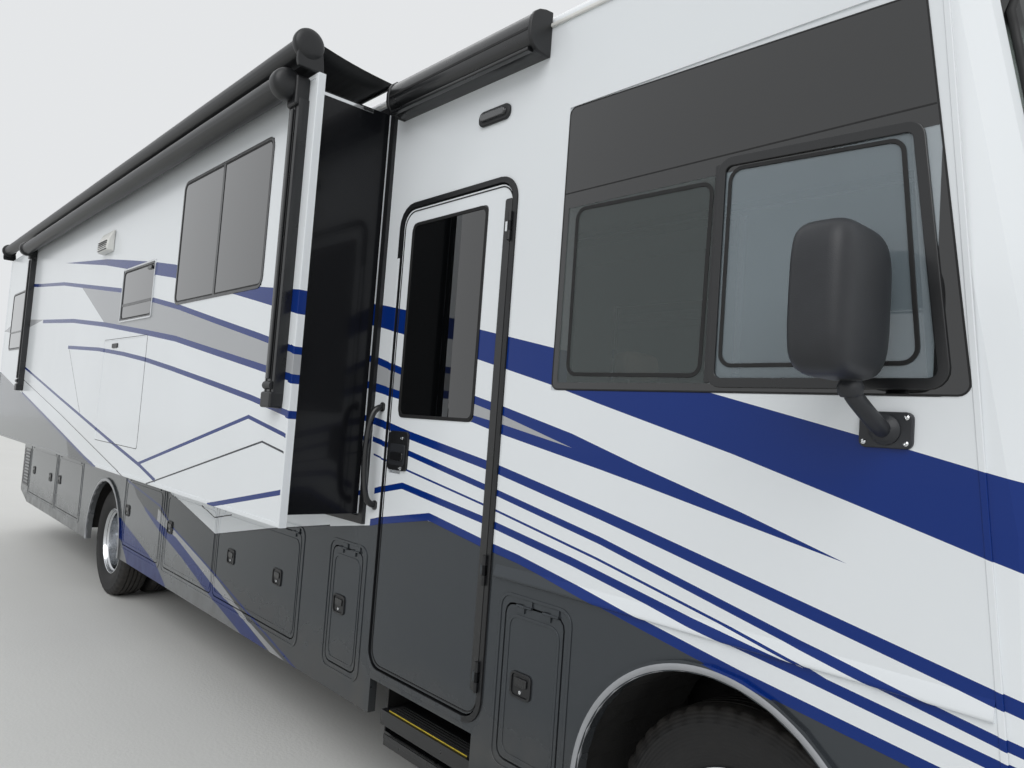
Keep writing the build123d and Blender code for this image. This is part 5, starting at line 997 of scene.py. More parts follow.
# Both rims share the outer lip, and the inner lip with the well behind it
LIP = ((0.092, 0.298), (0.098, 0.2995), (0.103, 0.298), (0.1045, 0.292))
WELL = ((-0.104, 0.294), (-0.098, 0.2995), (-0.092, 0.298), (-0.086, 0.288), (-0.07, 0.278), (0.07, 0.278),
        (0.086, 0.288), (0.092, 0.298))
FRONT_RIM = LIP + (
    (0.1, 0.287), (0.086, 0.283), (0.078, 0.27), (0.083, 0.254), (0.098, 0.222), (0.116, 0.188),
    (0.13, 0.15), (0.134, 0.125), (0.134, 0.06), (0.118, 0.06), (0.118, 0.125), (0.112, 0.15),
    (0.098, 0.186), (0.08, 0.218), (0.062, 0.246), (0.04, 0.262), (-0.08, 0.266), (-0.1, 0.282)) + WELL
REAR_RIM = LIP + (
    (0.098, 0.286), (0.078, 0.28), (0.064, 0.264), (-0.07, 0.258), (-0.1, 0.248), (-0.116, 0.232),
    (-0.126, 0.205), (-0.132, 0.175), (-0.134, 0.15), (-0.134, 0.08), (-0.144, 0.08), (-0.144, 0.176),
    (-0.138, 0.212), (-0.128, 0.24), (-0.112, 0.262), (-0.106, 0.28)) + WELL
FRONT_HUB = ((0.1, 0.09), (0.137, 0.09), (0.142, 0.086), (0.146, 0.074), (0.172, 0.071), (0.184, 0.062),
             (0.189, 0.045), (0.19, 0.0))
REAR_HUB = ((-0.14, 0.112), (-0.126, 0.112), (-0.118, 0.104), (-0.06, 0.098), (0.02, 0.094), (0.03, 0.09),
            (0.034, 0.078), (0.048, 0.07), (0.054, 0.058), (0.055, 0.0))
# Lug nut and valve stem: distance along the axle, radius
NUT = ((0.0, 0.0), (0.0, 0.023), (0.006, 0.023), (0.008, 0.0175), (0.03, 0.0165), (0.04, 0.012),
       (0.043, 0.006), (0.043, 0.0))
VALVE = ((0.06, 0.0), (0.06, 0.005), (0.1, 0.005), (0.104, 0.0035), (0.104, 0.0))


def tyre_shape(side, tread_depth):
    """Tyre about its own centre, ribbed across the tread and notched at the shoulders."""
    high, low = TYRE_RADIUS, TYRE_RADIUS - tread_depth
    ribs = tuple(zip((-0.064, -0.062, -0.054, -0.052, -0.024, -0.022, -0.014, -0.012),
                     (high, low, low, high) * 2))
    half = TYRE_HALF + ribs
    profile = half + tuple((-y, r) for y, r in reversed(half)) + ((0.07, 0.277), (-0.07, 0.277), half[0])
    return Shape().lathe("y", (0, 0, 0), handed(side, profile), sides=126, notch=(SHOULDERS, tread_depth))


class MakeWheels(bpy.types.Operator):
    """Makes the tyres, the forged wheels, the hubs and the nuts"""
    bl_idname = "motorhome.make_wheels"
    bl_label = "Tyres and wheels"

    def rim(self, name, body, profile, side, sizes, disc_low, disc_high, at):
        """One forged wheel with its hand holes cut through the disc."""
        item = lathed(name, body, "y", (0, 0, 0), handed(side, profile), "polished", sides=90, at=at)
        near, far = sorted((side * disc_low, side * disc_high))
        radius = sizes.hole_radius
        cutter = Shape()
        for x, z in around(sizes.hand_holes, sizes.hole_circle, 0.5):
            cutter.lathe("y", (x, 0.0, z), [(near, 0.0), (near, radius), (far, radius), (far, 0.0)], sides=24)
        cutter.points = [tuple(Vector(point) + Vector(at)) for point in cutter.points]
        cut_out(item, cutter)
        return item

    def nuts(self, name, body, side, sizes, low, at):
        """Ring of tall capped nuts on their seats."""
        shape = Shape()
        for x, z in around(sizes.lug_nuts, sizes.lug_circle):
            shape.lathe("y", (x, 0.0, z), handed(side, NUT, low), sides=12)
        piece(name, body, shape, "chrome", at=at, smooth=25)

    def execute(self, context):
        sizes = context.scene.motorhome_wheels
        for word, side in SIDES:
            front = (FRONT_AXLE_X, side * FRONT_TYRE_Y, AXLE_Z)
            outer = (REAR_AXLE_X, side * REAR_OUTER_Y, AXLE_Z)
            inner = (REAR_AXLE_X, side * REAR_INNER_Y, AXLE_Z)
            front_body, rear_body = f"front_wheel_{word}", f"rear_wheels_{word}"
            tread = tyre_shape(side, sizes.tread_depth)
            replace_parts(piece(f"front_{word}_tyre_ribbed", front_body, tread, "tyre", at=front),
                        f"front_{word}_tyre")
            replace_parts(piece(f"rear_{word}_tyre_outer", rear_body, tread, "tyre", at=outer),
                        f"rear_{word}_tyres")
            piece(f"rear_{word}_tyre_inner", rear_body, tread, "tyre", at=inner)
            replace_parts(self.rim(f"front_{word}_wheel_disc", front_body, FRONT_RIM, side, sizes, 0.03, 0.15,
                                 front), f"front_{word}_rim")
            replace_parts(self.rim(f"rear_{word}_wheel_disc", rear_body, REAR_RIM, side, sizes, -0.18, -0.06,
                                 outer), f"rear_{word}_rims")
            turned_in = [(-y, r) for y, r in REAR_RIM]
            for name, body, profile, sides, at, smooth in (
                    (f"rear_{word}_wheel_inner", rear_body, turned_in, 72, inner, 35),
                    (f"front_{word}_hub_cap", front_body, FRONT_HUB, 48, front, 30),
                    (f"rear_{word}_hub_end", rear_body, REAR_HUB, 48, outer, 30)):
                lathed(name, body, "y", (0, 0, 0), handed(side, profile), "polished", sides, at=at,
                       smooth=smooth)
            self.nuts(f"front_{word}_nuts", front_body, side, sizes, 0.128, front)
            self.nuts(f"rear_{word}_nuts", rear_body, side, sizes, -0.134, outer)
            # Valve stem that reaches out through one hand hole
            lathed(f"front_{word}_valve", front_body, "y", (0.235, 0.0, 0.0), handed(side, VALVE), "chrome",
                   12, at=front)
        return {"FINISHED"}


# Middle of a mirror head, and the distance from it to its flat back
MIRROR_X, MIRROR_Y, MIRROR_Z = 5.188, 1.472, 2.185
MIRROR_BACK = 0.06
# Turned parts of a mirror: place along the axis, radius
MIRROR_SWIVEL = ((1.95, 0.0), (1.952, 0.022), (1.962, 0.03), (1.98, 0.032), (1.992, 0.026), (2.01, 0.03),
                 (2.03, 0.04), (2.034, 0.0))
MIRROR_COLLAR = ((1.29, 0.0), (1.29, 0.04), (1.3, 0.039), (1.312, 0.028), (1.322, 0.0))
MIRROR_SCREW = ((1.293, 0.0), (1.293, 0.0075), (1.298, 0.0065), (1.3, 0.003), (1.298, 0.0))
# Middle line of the arm on the left side
MIRROR_ARM = ((5.24, 1.288, 1.878), (5.24, 1.318, 1.88), (5.232, 1.36, 1.905), (5.216, 1.412, 1.946),
              (5.206, 1.426, 1.968), (5.206, 1.428, 2.03))


class MakeMirrors(bpy.types.Operator):
    """Makes the mirror heads, their arms and their mounting plates"""
    bl_idname = "motorhome.make_mirrors"
    bl_label = "Mirrors"

    def execute(self, context):
        for word, side in SIDES:
            name = f"mirror_{word}"
            form = bulb_form((MIRROR_X, side * MIRROR_Y, MIRROR_Z), (0.084, 0.154, 0.192), 4.2,
                             flat_back=MIRROR_BACK)
            head = piece(f"{name}_head", "coach", form, "grained", smooth=60)
            if side < 0:
                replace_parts(head, "mirrors")
            back = MIRROR_X - MIRROR_BACK
            for part, low, high in (("main", 2.112, 2.345), ("wide", 2.03, 2.097)):
                middle = (side * MIRROR_Y, (low + high) / 2)
                outline = soft_outline(middle, 0.225, high - low, 0.02)
                rim = soft_outline(middle, 0.237, high - low + 0.012, 0.026)
                prism(f"{name}_{part}_glass", "coach", "x", outline, back - 0.003, back + 0.004, "silvered",
                      0.001)
                piece(f"{name}_{part}_rim", "coach",
                      Shape().ring("x", rim, outline, back - 0.005, back + 0.004), "black_plastic", 0.001)
            bar(f"{name}_arm", "coach", [(x, side * y, z) for x, y, z in MIRROR_ARM], 0.0225, "grained")
            lathed(f"{name}_swivel", "coach", "z", (5.206, side * 1.428, 0.0), MIRROR_SWIVEL, "grained", 32)
            facing(f"{name}_plate", "coach", rectangle(5.173, 5.307, 1.833, 1.927), 0.018, HALF_W, side,
                   0.013, "grained", 0.004)
            lathed(f"{name}_collar", "coach", "y", (5.24, 0.0, 1.88), handed(side, MIRROR_COLLAR),
                   "grained", 32)
            screws = Shape()
            for x, z in ((5.187, 1.847), (5.187, 1.913), (5.293, 1.847), (5.293, 1.913)):
                screws.lathe("y", (x, 0.0, z), handed(side, MIRROR_SCREW), sides=16)
            piece(f"{name}_screws", "coach", screws, "chrome")
        return {"FINISHED"}


# Windows on the walls and slides: name, body, side, distance out, rear, front, low, high, number of panes
WINDOWS = (
    ("right_lounge", "slide_right", -1, SLIDE_FACE, 1.07, 2.35, 2.437, 3.2, 2),
    ("right_small", "slide_right", -1, SLIDE_FACE, -0.1, 0.61, 2.395, 2.757, 1),
    ("right_bedroom", "slide_right", -1, SLIDE_FACE, -4.7, -3.95, 2.3, 2.95, 1),
    ("right_corner", "coach", -1, HALF_W, -5.62, -5.26, 2.15, 2.85, 1),
    ("left_lounge", "slide_left", 1, SLIDE_FACE, 1.7, 2.7, 2.15, 2.95, 2),
    ("left_kitchen", "slide_left", 1, SLIDE_FACE, 0.3, 1.3, 2.15, 2.95, 1),
    ("left_bath", "coach", 1, HALF_W, -2.6, -1.7, 2.15, 2.9, 1),
    ("left_bedroom", "coach", 1, HALF_W, -4.7, -3.8, 2.15, 2.9, 2),
)
CAB_PANEL = ((4.012, 1.969), (5.436, 1.969), (5.292, 3.03), (4.012, 3.058))
CAB_REAR_PANE = ((4.084, 2.021), (4.671, 2.014), (4.68, 2.645), (4.081, 2.655))
CAB_FRONT_PANE = ((4.73, 2.046), (5.318, 2.046), (5.255, 2.648), (4.732, 2.673))
CAB_FRONT_FRAME = ((4.692, 1.984), (5.392, 1.984), (5.3, 2.684), (4.692, 2.709))
# Rings of the cab's side glass: name, corners, corner radius, width, height, finish, bevel
CAB_RINGS = (
    ("panel_edge", CAB_PANEL, 0.03, 0.005, 0.0025, "rubber", 0.0008),
    ("rear_seal", CAB_REAR_PANE, 0.045, 0.014, 0.0035, "rubber", 0.0015),
    ("front_frame", CAB_FRONT_FRAME, 0.05, 0.03, 0.009, "black_metal", 0.003),
    ("front_seal", CAB_FRONT_PANE, 0.045, 0.012, 0.005, "rubber", 0.0015),
)


class MakeWindows(bpy.types.Operator):
    """Makes the frames, seals and bars of the side windows"""
    bl_idname = "motorhome.make_windows"
    bl_label = "Window frames"

    def execute(self, context):
        width = context.scene.motorhome_trim.frame_width
        for name, body, side, out, rear, front, low, high, panes in WINDOWS:
            corners = rectangle(rear - 0.012, front + 0.012, low - 0.012, high + 0.012)
            frame_ring(f"{name}_frame", body, corners, 0.06, out, side, width, 0.004, "black_metal")
            frame_ring(f"{name}_seal", body, corners, 0.06, out, side, width + 0.01, 0.0015)
            if panes == 2:
                middle = (rear + front) / 2
                facing(f"{name}_bar", body, rectangle(middle - 0.014, middle + 0.014, low, high), 0.003, out,
                       side, 0.003, "black_metal", 0.001)
            else:
                # Hinged vent pane along the foot of the window
                foot = low + 0.3 * (high - low)
                facing(f"{name}_rail", body, rectangle(rear + 0.004, front - 0.004, foot - 0.01, foot + 0.01),
                       0.003, out, side, 0.0028, "black_metal", 0.001)
            if body == "coach":
                facing(f"{name}_glass", body, rectangle(rear, front, low, high), 0.05, out, side, 0.0005,
                       "glass")
        for word, side in SIDES:
            panel = facing(f"cab_{word}_glass", "coach", CAB_PANEL, 0.03, HALF_W, side, 0.0015, "glass",
                           0.0005)
            if side < 0:
                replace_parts(panel, "side_glass")
            for name, corners, radius, ring_width, proud, material, bevel in CAB_RINGS:
                frame_ring(f"cab_{word}_{name}", "coach", corners, radius, HALF_W, side, ring_width, proud,
                           material, bevel)
            facing(f"cab_{word}_pillar", "coach", rectangle(4.684, 4.72, 2.0, 2.69), 0.006, HALF_W, side,
                   0.006, "black_metal")
            # Plain panel between the glass and the roof, split from it by a seam
            facing(f"cab_{word}_seam", "coach", rectangle(4.018, 5.328, 2.716, 2.721), 0.002, HALF_W, side,
                   0.0025, "rubber", 0.0005)
        return {"FINISHED"}


# Turned parts of the doors: distance from the wall, radius
LOCK = ((0.0, 0.0), (0.0, 0.007), (0.005, 0.007), (0.006, 0.005), (0.005, 0.0))
ENTRY_LOCK = ((0.008, 0.0), (0.008, 0.01), (0.014, 0.009), (0.015, 0.006), (0.013, 0.0))
HANDLE_FOOT = ((-0.003, 0.0), (-0.003, 0.024), (0.006, 0.023), (0.01, 0.017), (0.012, 0.0))
# Middle line of the bowed grab handle, from its lower foot
GRAB_HANDLE = [(2.856, -1.285, 1.392), (2.856, -1.314, 1.398), (2.852, -1.338, 1.432), (2.849, -1.352, 1.514),
               (2.848, -1.357, 1.631), (2.849, -1.352, 1.748), (2.852, -1.338, 1.83), (2.856, -1.314, 1.864),
               (2.856, -1.285, 1.87)]
# Ladder tube from its lower foot to its upper one: distance along, height
LADDER_TUBE = ((-5.832, 0.99), (-5.868, 0.99), (-5.8945, 1.01), (-5.8945, 1.06), (-5.8945, 2.2),
               (-5.8945, 3.34), (-5.8945, 3.39), (-5.868, 3.409), (-5.832, 3.409))
# Plates on the entry door: name, limits, corner radius, distance out, height, finish, bevel
ENTRY_PLATES = (
    ("hinge_strip", (3.672, 3.714, 0.76, 2.76), 0.01, HALF_W, 0.006, "black_metal", 0.002),
    ("latch_plate", (2.944, 3.106, 1.576, 1.76), 0.022, HALF_W, 0.01, "black_plastic", 0.004),
    ("latch_well", (2.96, 3.09, 1.6, 1.7), 0.016, HALF_W + 0.008, 0.004, "grained", 0.002),
    ("latch_lever", (2.972, 3.08, 1.622, 1.662), 0.012, HALF_W + 0.01, 0.009, "black_metal", 0.005),
)


class MakeDoors(bpy.types.Operator):
    """Makes the seals, latches and handles of the entry door and the bay doors, and the ladder"""
    bl_idname = "motorhome.make_doors"
    bl_label = "Doors"

    def latch(self, name, body, side, x, z, length, height):
        """Flush paddle latch: rounded rim, dished plate and a finger lever."""
        outer = soft_outline((x, z), length, height, height * 0.22, steps=8)
        inner = soft_outline((x, z), length - 0.018, height - 0.018, height * 0.16, steps=8)
        lever = soft_outline((x, z + height * 0.12), length * 0.6, height * 0.34, 0.008, steps=4)
        out = HALF_W + 0.0005
        rim = Shape().ring("y", outer, inner, side * (out - SUNK), side * (out + 0.0065))
        piece(f"{name}_rim", body, rim, "black_plastic", 0.002)
        prism(f"{name}_plate", body, "y", inner, side * (out - SUNK), side * (out + 0.001), "black_plastic",
              0.001)
        prism(f"{name}_lever", body, "y", lever, side * out, side * (out + 0.0075), "black_metal", 0.0025)
        lathed(f"{name}_lock", body, "y", (x, 0.0, z - height * 0.25), handed(side, LOCK, out), "chrome", 20)

    def ring_between(self, name, body, limits, first, second, radius, steps, near, far, bevel):
        """Rubber ring between two insets of the same limits."""
        shape = Shape().ring("y", limits_outline(limits, first, radius, steps),
                             limits_outline(limits, second, radius, steps), near, far)
        piece(name, body, shape, "rubber", bevel)

    def execute(self, context):
        sizes = context.scene.motorhome_trim
        for name, side, rear, front, latch_x, latch_z, surround_rear in BAYS:
            self.ring_between(f"{name}_seal", "coach", (rear, front, BAY_LOW, BAY_HIGH), 0.0005,
                              sizes.seal_width, 0.012, 6, side * (HALF_W - 0.022),
                              side * (HALF_W - 0.012), 0.001)
            frame_ring(f"{name}_bead", name,
                       rectangle(rear + 0.022, front - 0.022, BAY_LOW + 0.022, BAY_HIGH - 0.04), 0.05, HALF_W,
                       side, 0.012, 0.0028, "paint", 0.0014)
            if surround_rear is not None:
                frame_ring(f"{name}_surround", "coach",
                           rectangle(surround_rear - 0.034, front + 0.034, BAY_LOW - 0.034, BAY_HIGH + 0.034),
                           0.06, HALF_W, side, 0.013, 0.004, "paint", 0.0018)
            self.latch(f"{name}_latch", name, side, latch_x, latch_z, sizes.latch_length, sizes.latch_height)
            if front - rear > 1.1 and abs(latch_x - (rear + front) / 2) > 0.2:
                self.latch(f"{name}_latch_far", name, side, front - (latch_x - rear), latch_z,
                           sizes.latch_length, sizes.latch_height)
        self.ring_between("entry_frame_seal", "coach", ENTRY, 0.0, 0.014, ENTRY_CORNER, 10, -(HALF_W - 0.004),
                          -(HALF_W + 0.007), 0.002)
        # The door frame's rear side and sill are painted with the wall: points 21 to 33 of its outline
        outer, inner = [limits_outline(ENTRY, inset, ENTRY_CORNER, 10)[21:34] for inset in (-0.0005, 0.0215)]
        for outline in (outer, inner):
            outline[0] = (outline[0][0], 2.6)
        prism("entry_frame_painted", "coach", "y", outer + inner[::-1], -(HALF_W + 0.004), -(HALF_W + 0.0092),
              "paint", 0.0015)
        self.ring_between("entry_door_seal", "entry_door", (2.93, 3.718, 0.66, 2.822), 0.0, 0.005, 0.08, 10,
                          -(HALF_W - 0.002), -(HALF_W + 0.003), 0.001)
        frame_ring("entry_window_seal", "entry_door", rectangle(*ENTRY_WINDOW), 0.045, HALF_W, -1, 0.016,
                   0.004)
        frame_ring("entry_window_inner", "entry_door", rectangle(3.02, 3.535, 1.85, 2.735), 0.03,
                   HALF_W - 0.004, -1, 0.006, 0.001)
        for name, limits, radius, out, proud, material, bevel in ENTRY_PLATES:
            facing(f"entry_{name}", "entry_door", rectangle(*limits), radius, out, -1, proud, material, bevel)
        for number, z in enumerate((1.728, 1.588)):
            lathed(f"entry_lock_{number}", "entry_door", "y", (3.06, 0.0, z), handed(-1, ENTRY_LOCK, HALF_W),
                   "chrome", 20)
        # Bowed grab handle behind the door, on two feet
        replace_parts(bar("entry_grab_handle", "coach", GRAB_HANDLE, 0.0155, "black_metal"), "hand_rails")
        for number, (x, y, z) in enumerate((GRAB_HANDLE[0], GRAB_HANDLE[-1])):
            lathed(f"entry_handle_foot_{number}", "coach", "y", (x, 0.0, z), handed(-1, HANDLE_FOOT, HALF_W),
                   "black_metal", 28)
        # Ladder on the rear wall: two tubes with curled ends and stand-offs, and its rungs
        tubes = (0.48, 0.86)
        for number, y in enumerate(tubes):
            bar(f"ladder_rail_{number}", "coach", [(x, y, z) for x, z in LADDER_TUBE], 0.0125, "black_metal")
        rungs = Shape()
        for step in range(8):
            rungs.prism("y", soft_outline((-5.8945, 1.1 + 0.3 * step), 0.026, 0.022, 0.008), *tubes)
        piece("ladder_rungs", "coach", rungs, "black_metal", 0.001)
        return {"FINISHED"}


# Rollers of the slide toppers: distance out and height
TOPPER_ROLL_Y, TOPPER_ROLL_Z = 1.7825, 3.528
# End cap of a roller: shares of its length and of its radius
ROLLER_CAP = ((-0.3, 0.0), (-0.3, 0.86), (-0.2, 0.97), (0.0, 1.0), (0.45, 1.0), (0.62, 0.97), (0.8, 0.86),
              (0.92, 0.66), (0.98, 0.4), (1.0, 0.0))
# Outline of a topper bracket: distance out, height
TOPPER_BRACKET = ((1.7, 3.413), (1.83, 3.413), (1.838, 3.44), (1.838, 3.528), (1.76, 3.56), (1.712, 3.5))
# Last turn of the patio awning's fabric: distance from the slide-out's face, height
LAST_TURN = ((0.016, 3.395), (0.04, 3.405), (0.075, 3.413), (0.095, 3.4135), (0.095, 3.411), (0.075, 3.4105),
             (0.04, 3.4025), (0.016, 3.3925))
# Door awning's case and the dark groove in it: place across, height
DOOR_AWNING_CASE = ((-1.2828, 3.303), (-1.318, 3.303), (-1.352, 3.309), (-1.376, 3.322), (-1.39, 3.342),
                    (-1.3965, 3.368), (-1.3965, 3.402), (-1.39, 3.43), (-1.376, 3.454), (-1.352, 3.472),
                    (-1.32, 3.482), (-1.2828, 3.486))
DOOR_AWNING_GROOVE = ((-1.3965, 3.392), (-1.3985, 3.39), (-1.3985, 3.38), (-1.3965, 3.378))


def topper_fabric(name, side, rear, front):
    """Woven-backed vinyl from the roof rail to a slide topper roller, with a slight sag across it."""
    across, along = 14, 48
    start = Vector((0.0, side * (HALF_W + 0.004), 3.521))
    end = Vector((0.0, side * TOPPER_ROLL_Y, 3.5845))
    points = []
    for row in range(across + 1):
        share = row / across
        for column in range(along + 1):
            x = rear + (front - rear) * column / along
            sag = 0.011 * math.sin(math.pi * share) * (1 + 0.25 * math.sin(9.0 * column / along))
            point = start.lerp(end, share)
            points.append((x, point.y, point.z - sag))
    item = piece(name, None, Shape().put(points, quads(across, along)), "vinyl", smooth=80)
    item.modifiers.new("Cloth thickness", "SOLIDIFY").thickness = 0.0012
    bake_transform(item)


class MakeAwnings(bpy.types.Operator):
    """Makes the patio awning with its arms, the slide toppers and the door awning"""
    bl_idname = "motorhome.make_awnings"
    bl_label = "Awnings"

    def roller(self, name, body, y, z, rear, front, radius, cap, cap_length):
        """Rolled fabric with a turned end cap at each end."""
        inner, outer = rear + 0.004, front - 0.004
        wraps = [(rear + 0.02 + (front - rear - 0.04) * step / 24, radius * (1 - 0.02 * ((step * 7) % 5) / 5))
                 for step in range(25)]
        profile = [(inner, 0.0), (inner, radius * 0.96)] + wraps + [(outer, radius * 0.96), (outer, 0.0)]
        item = lathed(name, body, "x", (0.0, y, z), profile, "vinyl", 40, smooth=50)
        for word, face, way in (("rear", rear, -1), ("front", front, 1)):
            profile = [(face + way * cap_length * along, cap * share) for along, share in ROLLER_CAP]
            lathed(f"{name}_{word}_cap", body, "x", (0.0, y, z), profile, "black_plastic", 40, smooth=40)
        return item

    def patio_arm(self, name, x):
        """Extruded outer arm with two long grooves, the slimmer arm nested in it, its foot and its head."""
        out, half = SLIDE_FACE, 0.05
        outline = [(x - half, -out), (x - half, -(out + 0.052))]
        for groove in (-0.024, 0.024):
            outline += [(x + groove + wide, -(out + deep))
                        for wide, deep in ((-0.007, 0.055), (-0.005, 0.046), (0.005, 0.046), (0.007, 0.055))]
        outline += [(x + half, -(out + 0.052)), (x + half, -out)]
        prism(name, "slide_right", "z", outline, 1.86, 3.29, "black_metal", 0.0015)
        prism(f"{name}_inner", "slide_right", "z", soft_outline((x, -(out + 0.06)), 0.03, 0.016, 0.005),
              1.96, 3.24, "black_metal", 0.001)
        block(f"{name}_foot", "slide_right", (x - 0.052, x + 0.052), (-(out + 0.068), -out), (1.826, 1.9),
              "black_plastic", 0.01, 4)
        pin = [(x - 0.04, 0.0), (x - 0.04, 0.02), (x + 0.04, 0.02), (x + 0.04, 0.0)]
        lathed(f"{name}_joint", "slide_right", "x", (0.0, -(out + 0.05), 1.93), pin, "black_plastic", 24,
               bevel=0.002)
        block(f"{name}_head", "slide_right", (x - 0.046, x + 0.046), (-(out + 0.072), -out), (3.255, 3.4),
              "black_plastic", 0.012, 4)

    def execute(self, context):
        sizes = context.scene.motorhome_awnings
        # Patio awning: rolled fabric between two arms on the right slide-out
        roll = self.roller("patio_roller", "slide_right", -1.8275, 3.355, -3.57, 2.63, sizes.roller_radius,
                           sizes.cap_radius, 0.066)
        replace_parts(roll, "right_awnings")
        for word, x in (("rear", -3.6), ("front", 2.66)):
            self.patio_arm(f"patio_arm_{word}", x)
        rail = soft_outline((-(SLIDE_FACE + 0.009), 3.392), 0.018, 0.022, 0.005)
        prism("patio_rail", "slide_right", "x", rail, -3.56, 2.62, "black_metal", 0.001)
        # The last turn of fabric runs from the rail to the roll
        last_turn = prism("patio_last_turn", "slide_right", "x", handed(-1, LAST_TURN, SLIDE_FACE), -3.54,
                          2.6, "vinyl", smooth=60)
        for word, side, rear, front in SLIDES:
            body = f"slide_{word}"
            roll = self.roller(f"topper_{word}_roller", body, side * TOPPER_ROLL_Y, TOPPER_ROLL_Z,
                               rear + 0.042, front - 0.042, 0.055, 0.076, 0.04)
            if side > 0:
                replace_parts(roll, "left_topper")
            for number, x in enumerate((rear + 0.024, front - 0.024)):
                prism(f"topper_{word}_bracket_{number}", body, "x", handed(side, TOPPER_BRACKET), x - 0.01,
                      x + 0.01, "black_plastic", 0.004)
            topper_fabric(f"topper_{word}", side, rear + 0.055, front - 0.055)
            rail = soft_outline((side * (HALF_W + 0.006), 3.521), 0.012, 0.022, 0.004)
            prism(f"topper_{word}_rail", "coach", "x", rail, rear + 0.03, front - 0.03, "black_metal", 0.001)
        # Door awning: rounded aluminium case with closed ends
        shell = prism("door_awning_case", "coach", "x", DOOR_AWNING_CASE, 2.862, 3.858, "black_metal", 0.001,
                      smooth=30)
        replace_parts(shell, "door_awning")
        grown = [(y - 0.004 if y < -1.3 else y, z + (0.003 if z > 3.39 else -0.003))
                 for y, z in DOOR_AWNING_CASE]
        for word, low, high in (("rear", 2.841, 2.863), ("front", 3.857, 3.879)):
            prism(f"door_awning_{word}_end", "coach", "x", grown, low, high, "black_plastic", 0.006,
                  segments=4, smooth=50)
        prism("door_awning_lead_rail", "coach", "x", soft_outline((-1.372, 3.31), 0.03, 0.016, 0.006), 2.868,
              3.852, "black_metal", 0.001)
        prism("door_awning_groove", "coach", "x", DOOR_AWNING_GROOVE, 2.864, 3.856, "rubber")
        return {"FINISHED"}


# Rings on the right slide-out: name, limits, corner radius, width, height, finish, bevel
SLIDE_RINGS = (
    ("hatch_edge", (-0.48, 0.585, 1.492, 2.258), 0.02, 0.008, 0.0022, "paint", 0.001),
    ("hatch_gap", (-0.484, 0.589, 1.488, 2.262), 0.022, 0.004, 0.0008, "rubber", 0.0003),
    ("pane_frame", (-0.118, 0.628, 2.377, 2.775), 0.02, 0.012, 0.009, "chrome", 0.002),
)
# Small plates on it: name, limits, corner radius, height, finish
SLIDE_PLATES = (
    ("hatch_pull", (-0.24, -0.1, 2.192, 2.226), 0.01, 0.008, "black_plastic"),
    ("pane_catch", (0.47, 0.56, 2.716, 2.74), 0.008, 0.012, "black_metal"),
)
# Cowl of the range vent: distance from the slide-out's face, height
VENT_COWL = ((0.0, 2.96), (0.05, 2.966), (0.058, 2.99), (0.05, 3.06), (0.026, 3.118), (0.0, 3.138))
# Painted bead along the edge of the front cap, leaning with the windscreen
CAP_SEAM = ((5.586, 0.47), (5.602, 0.47), (5.3065, 3.39), (5.2905, 3.39))


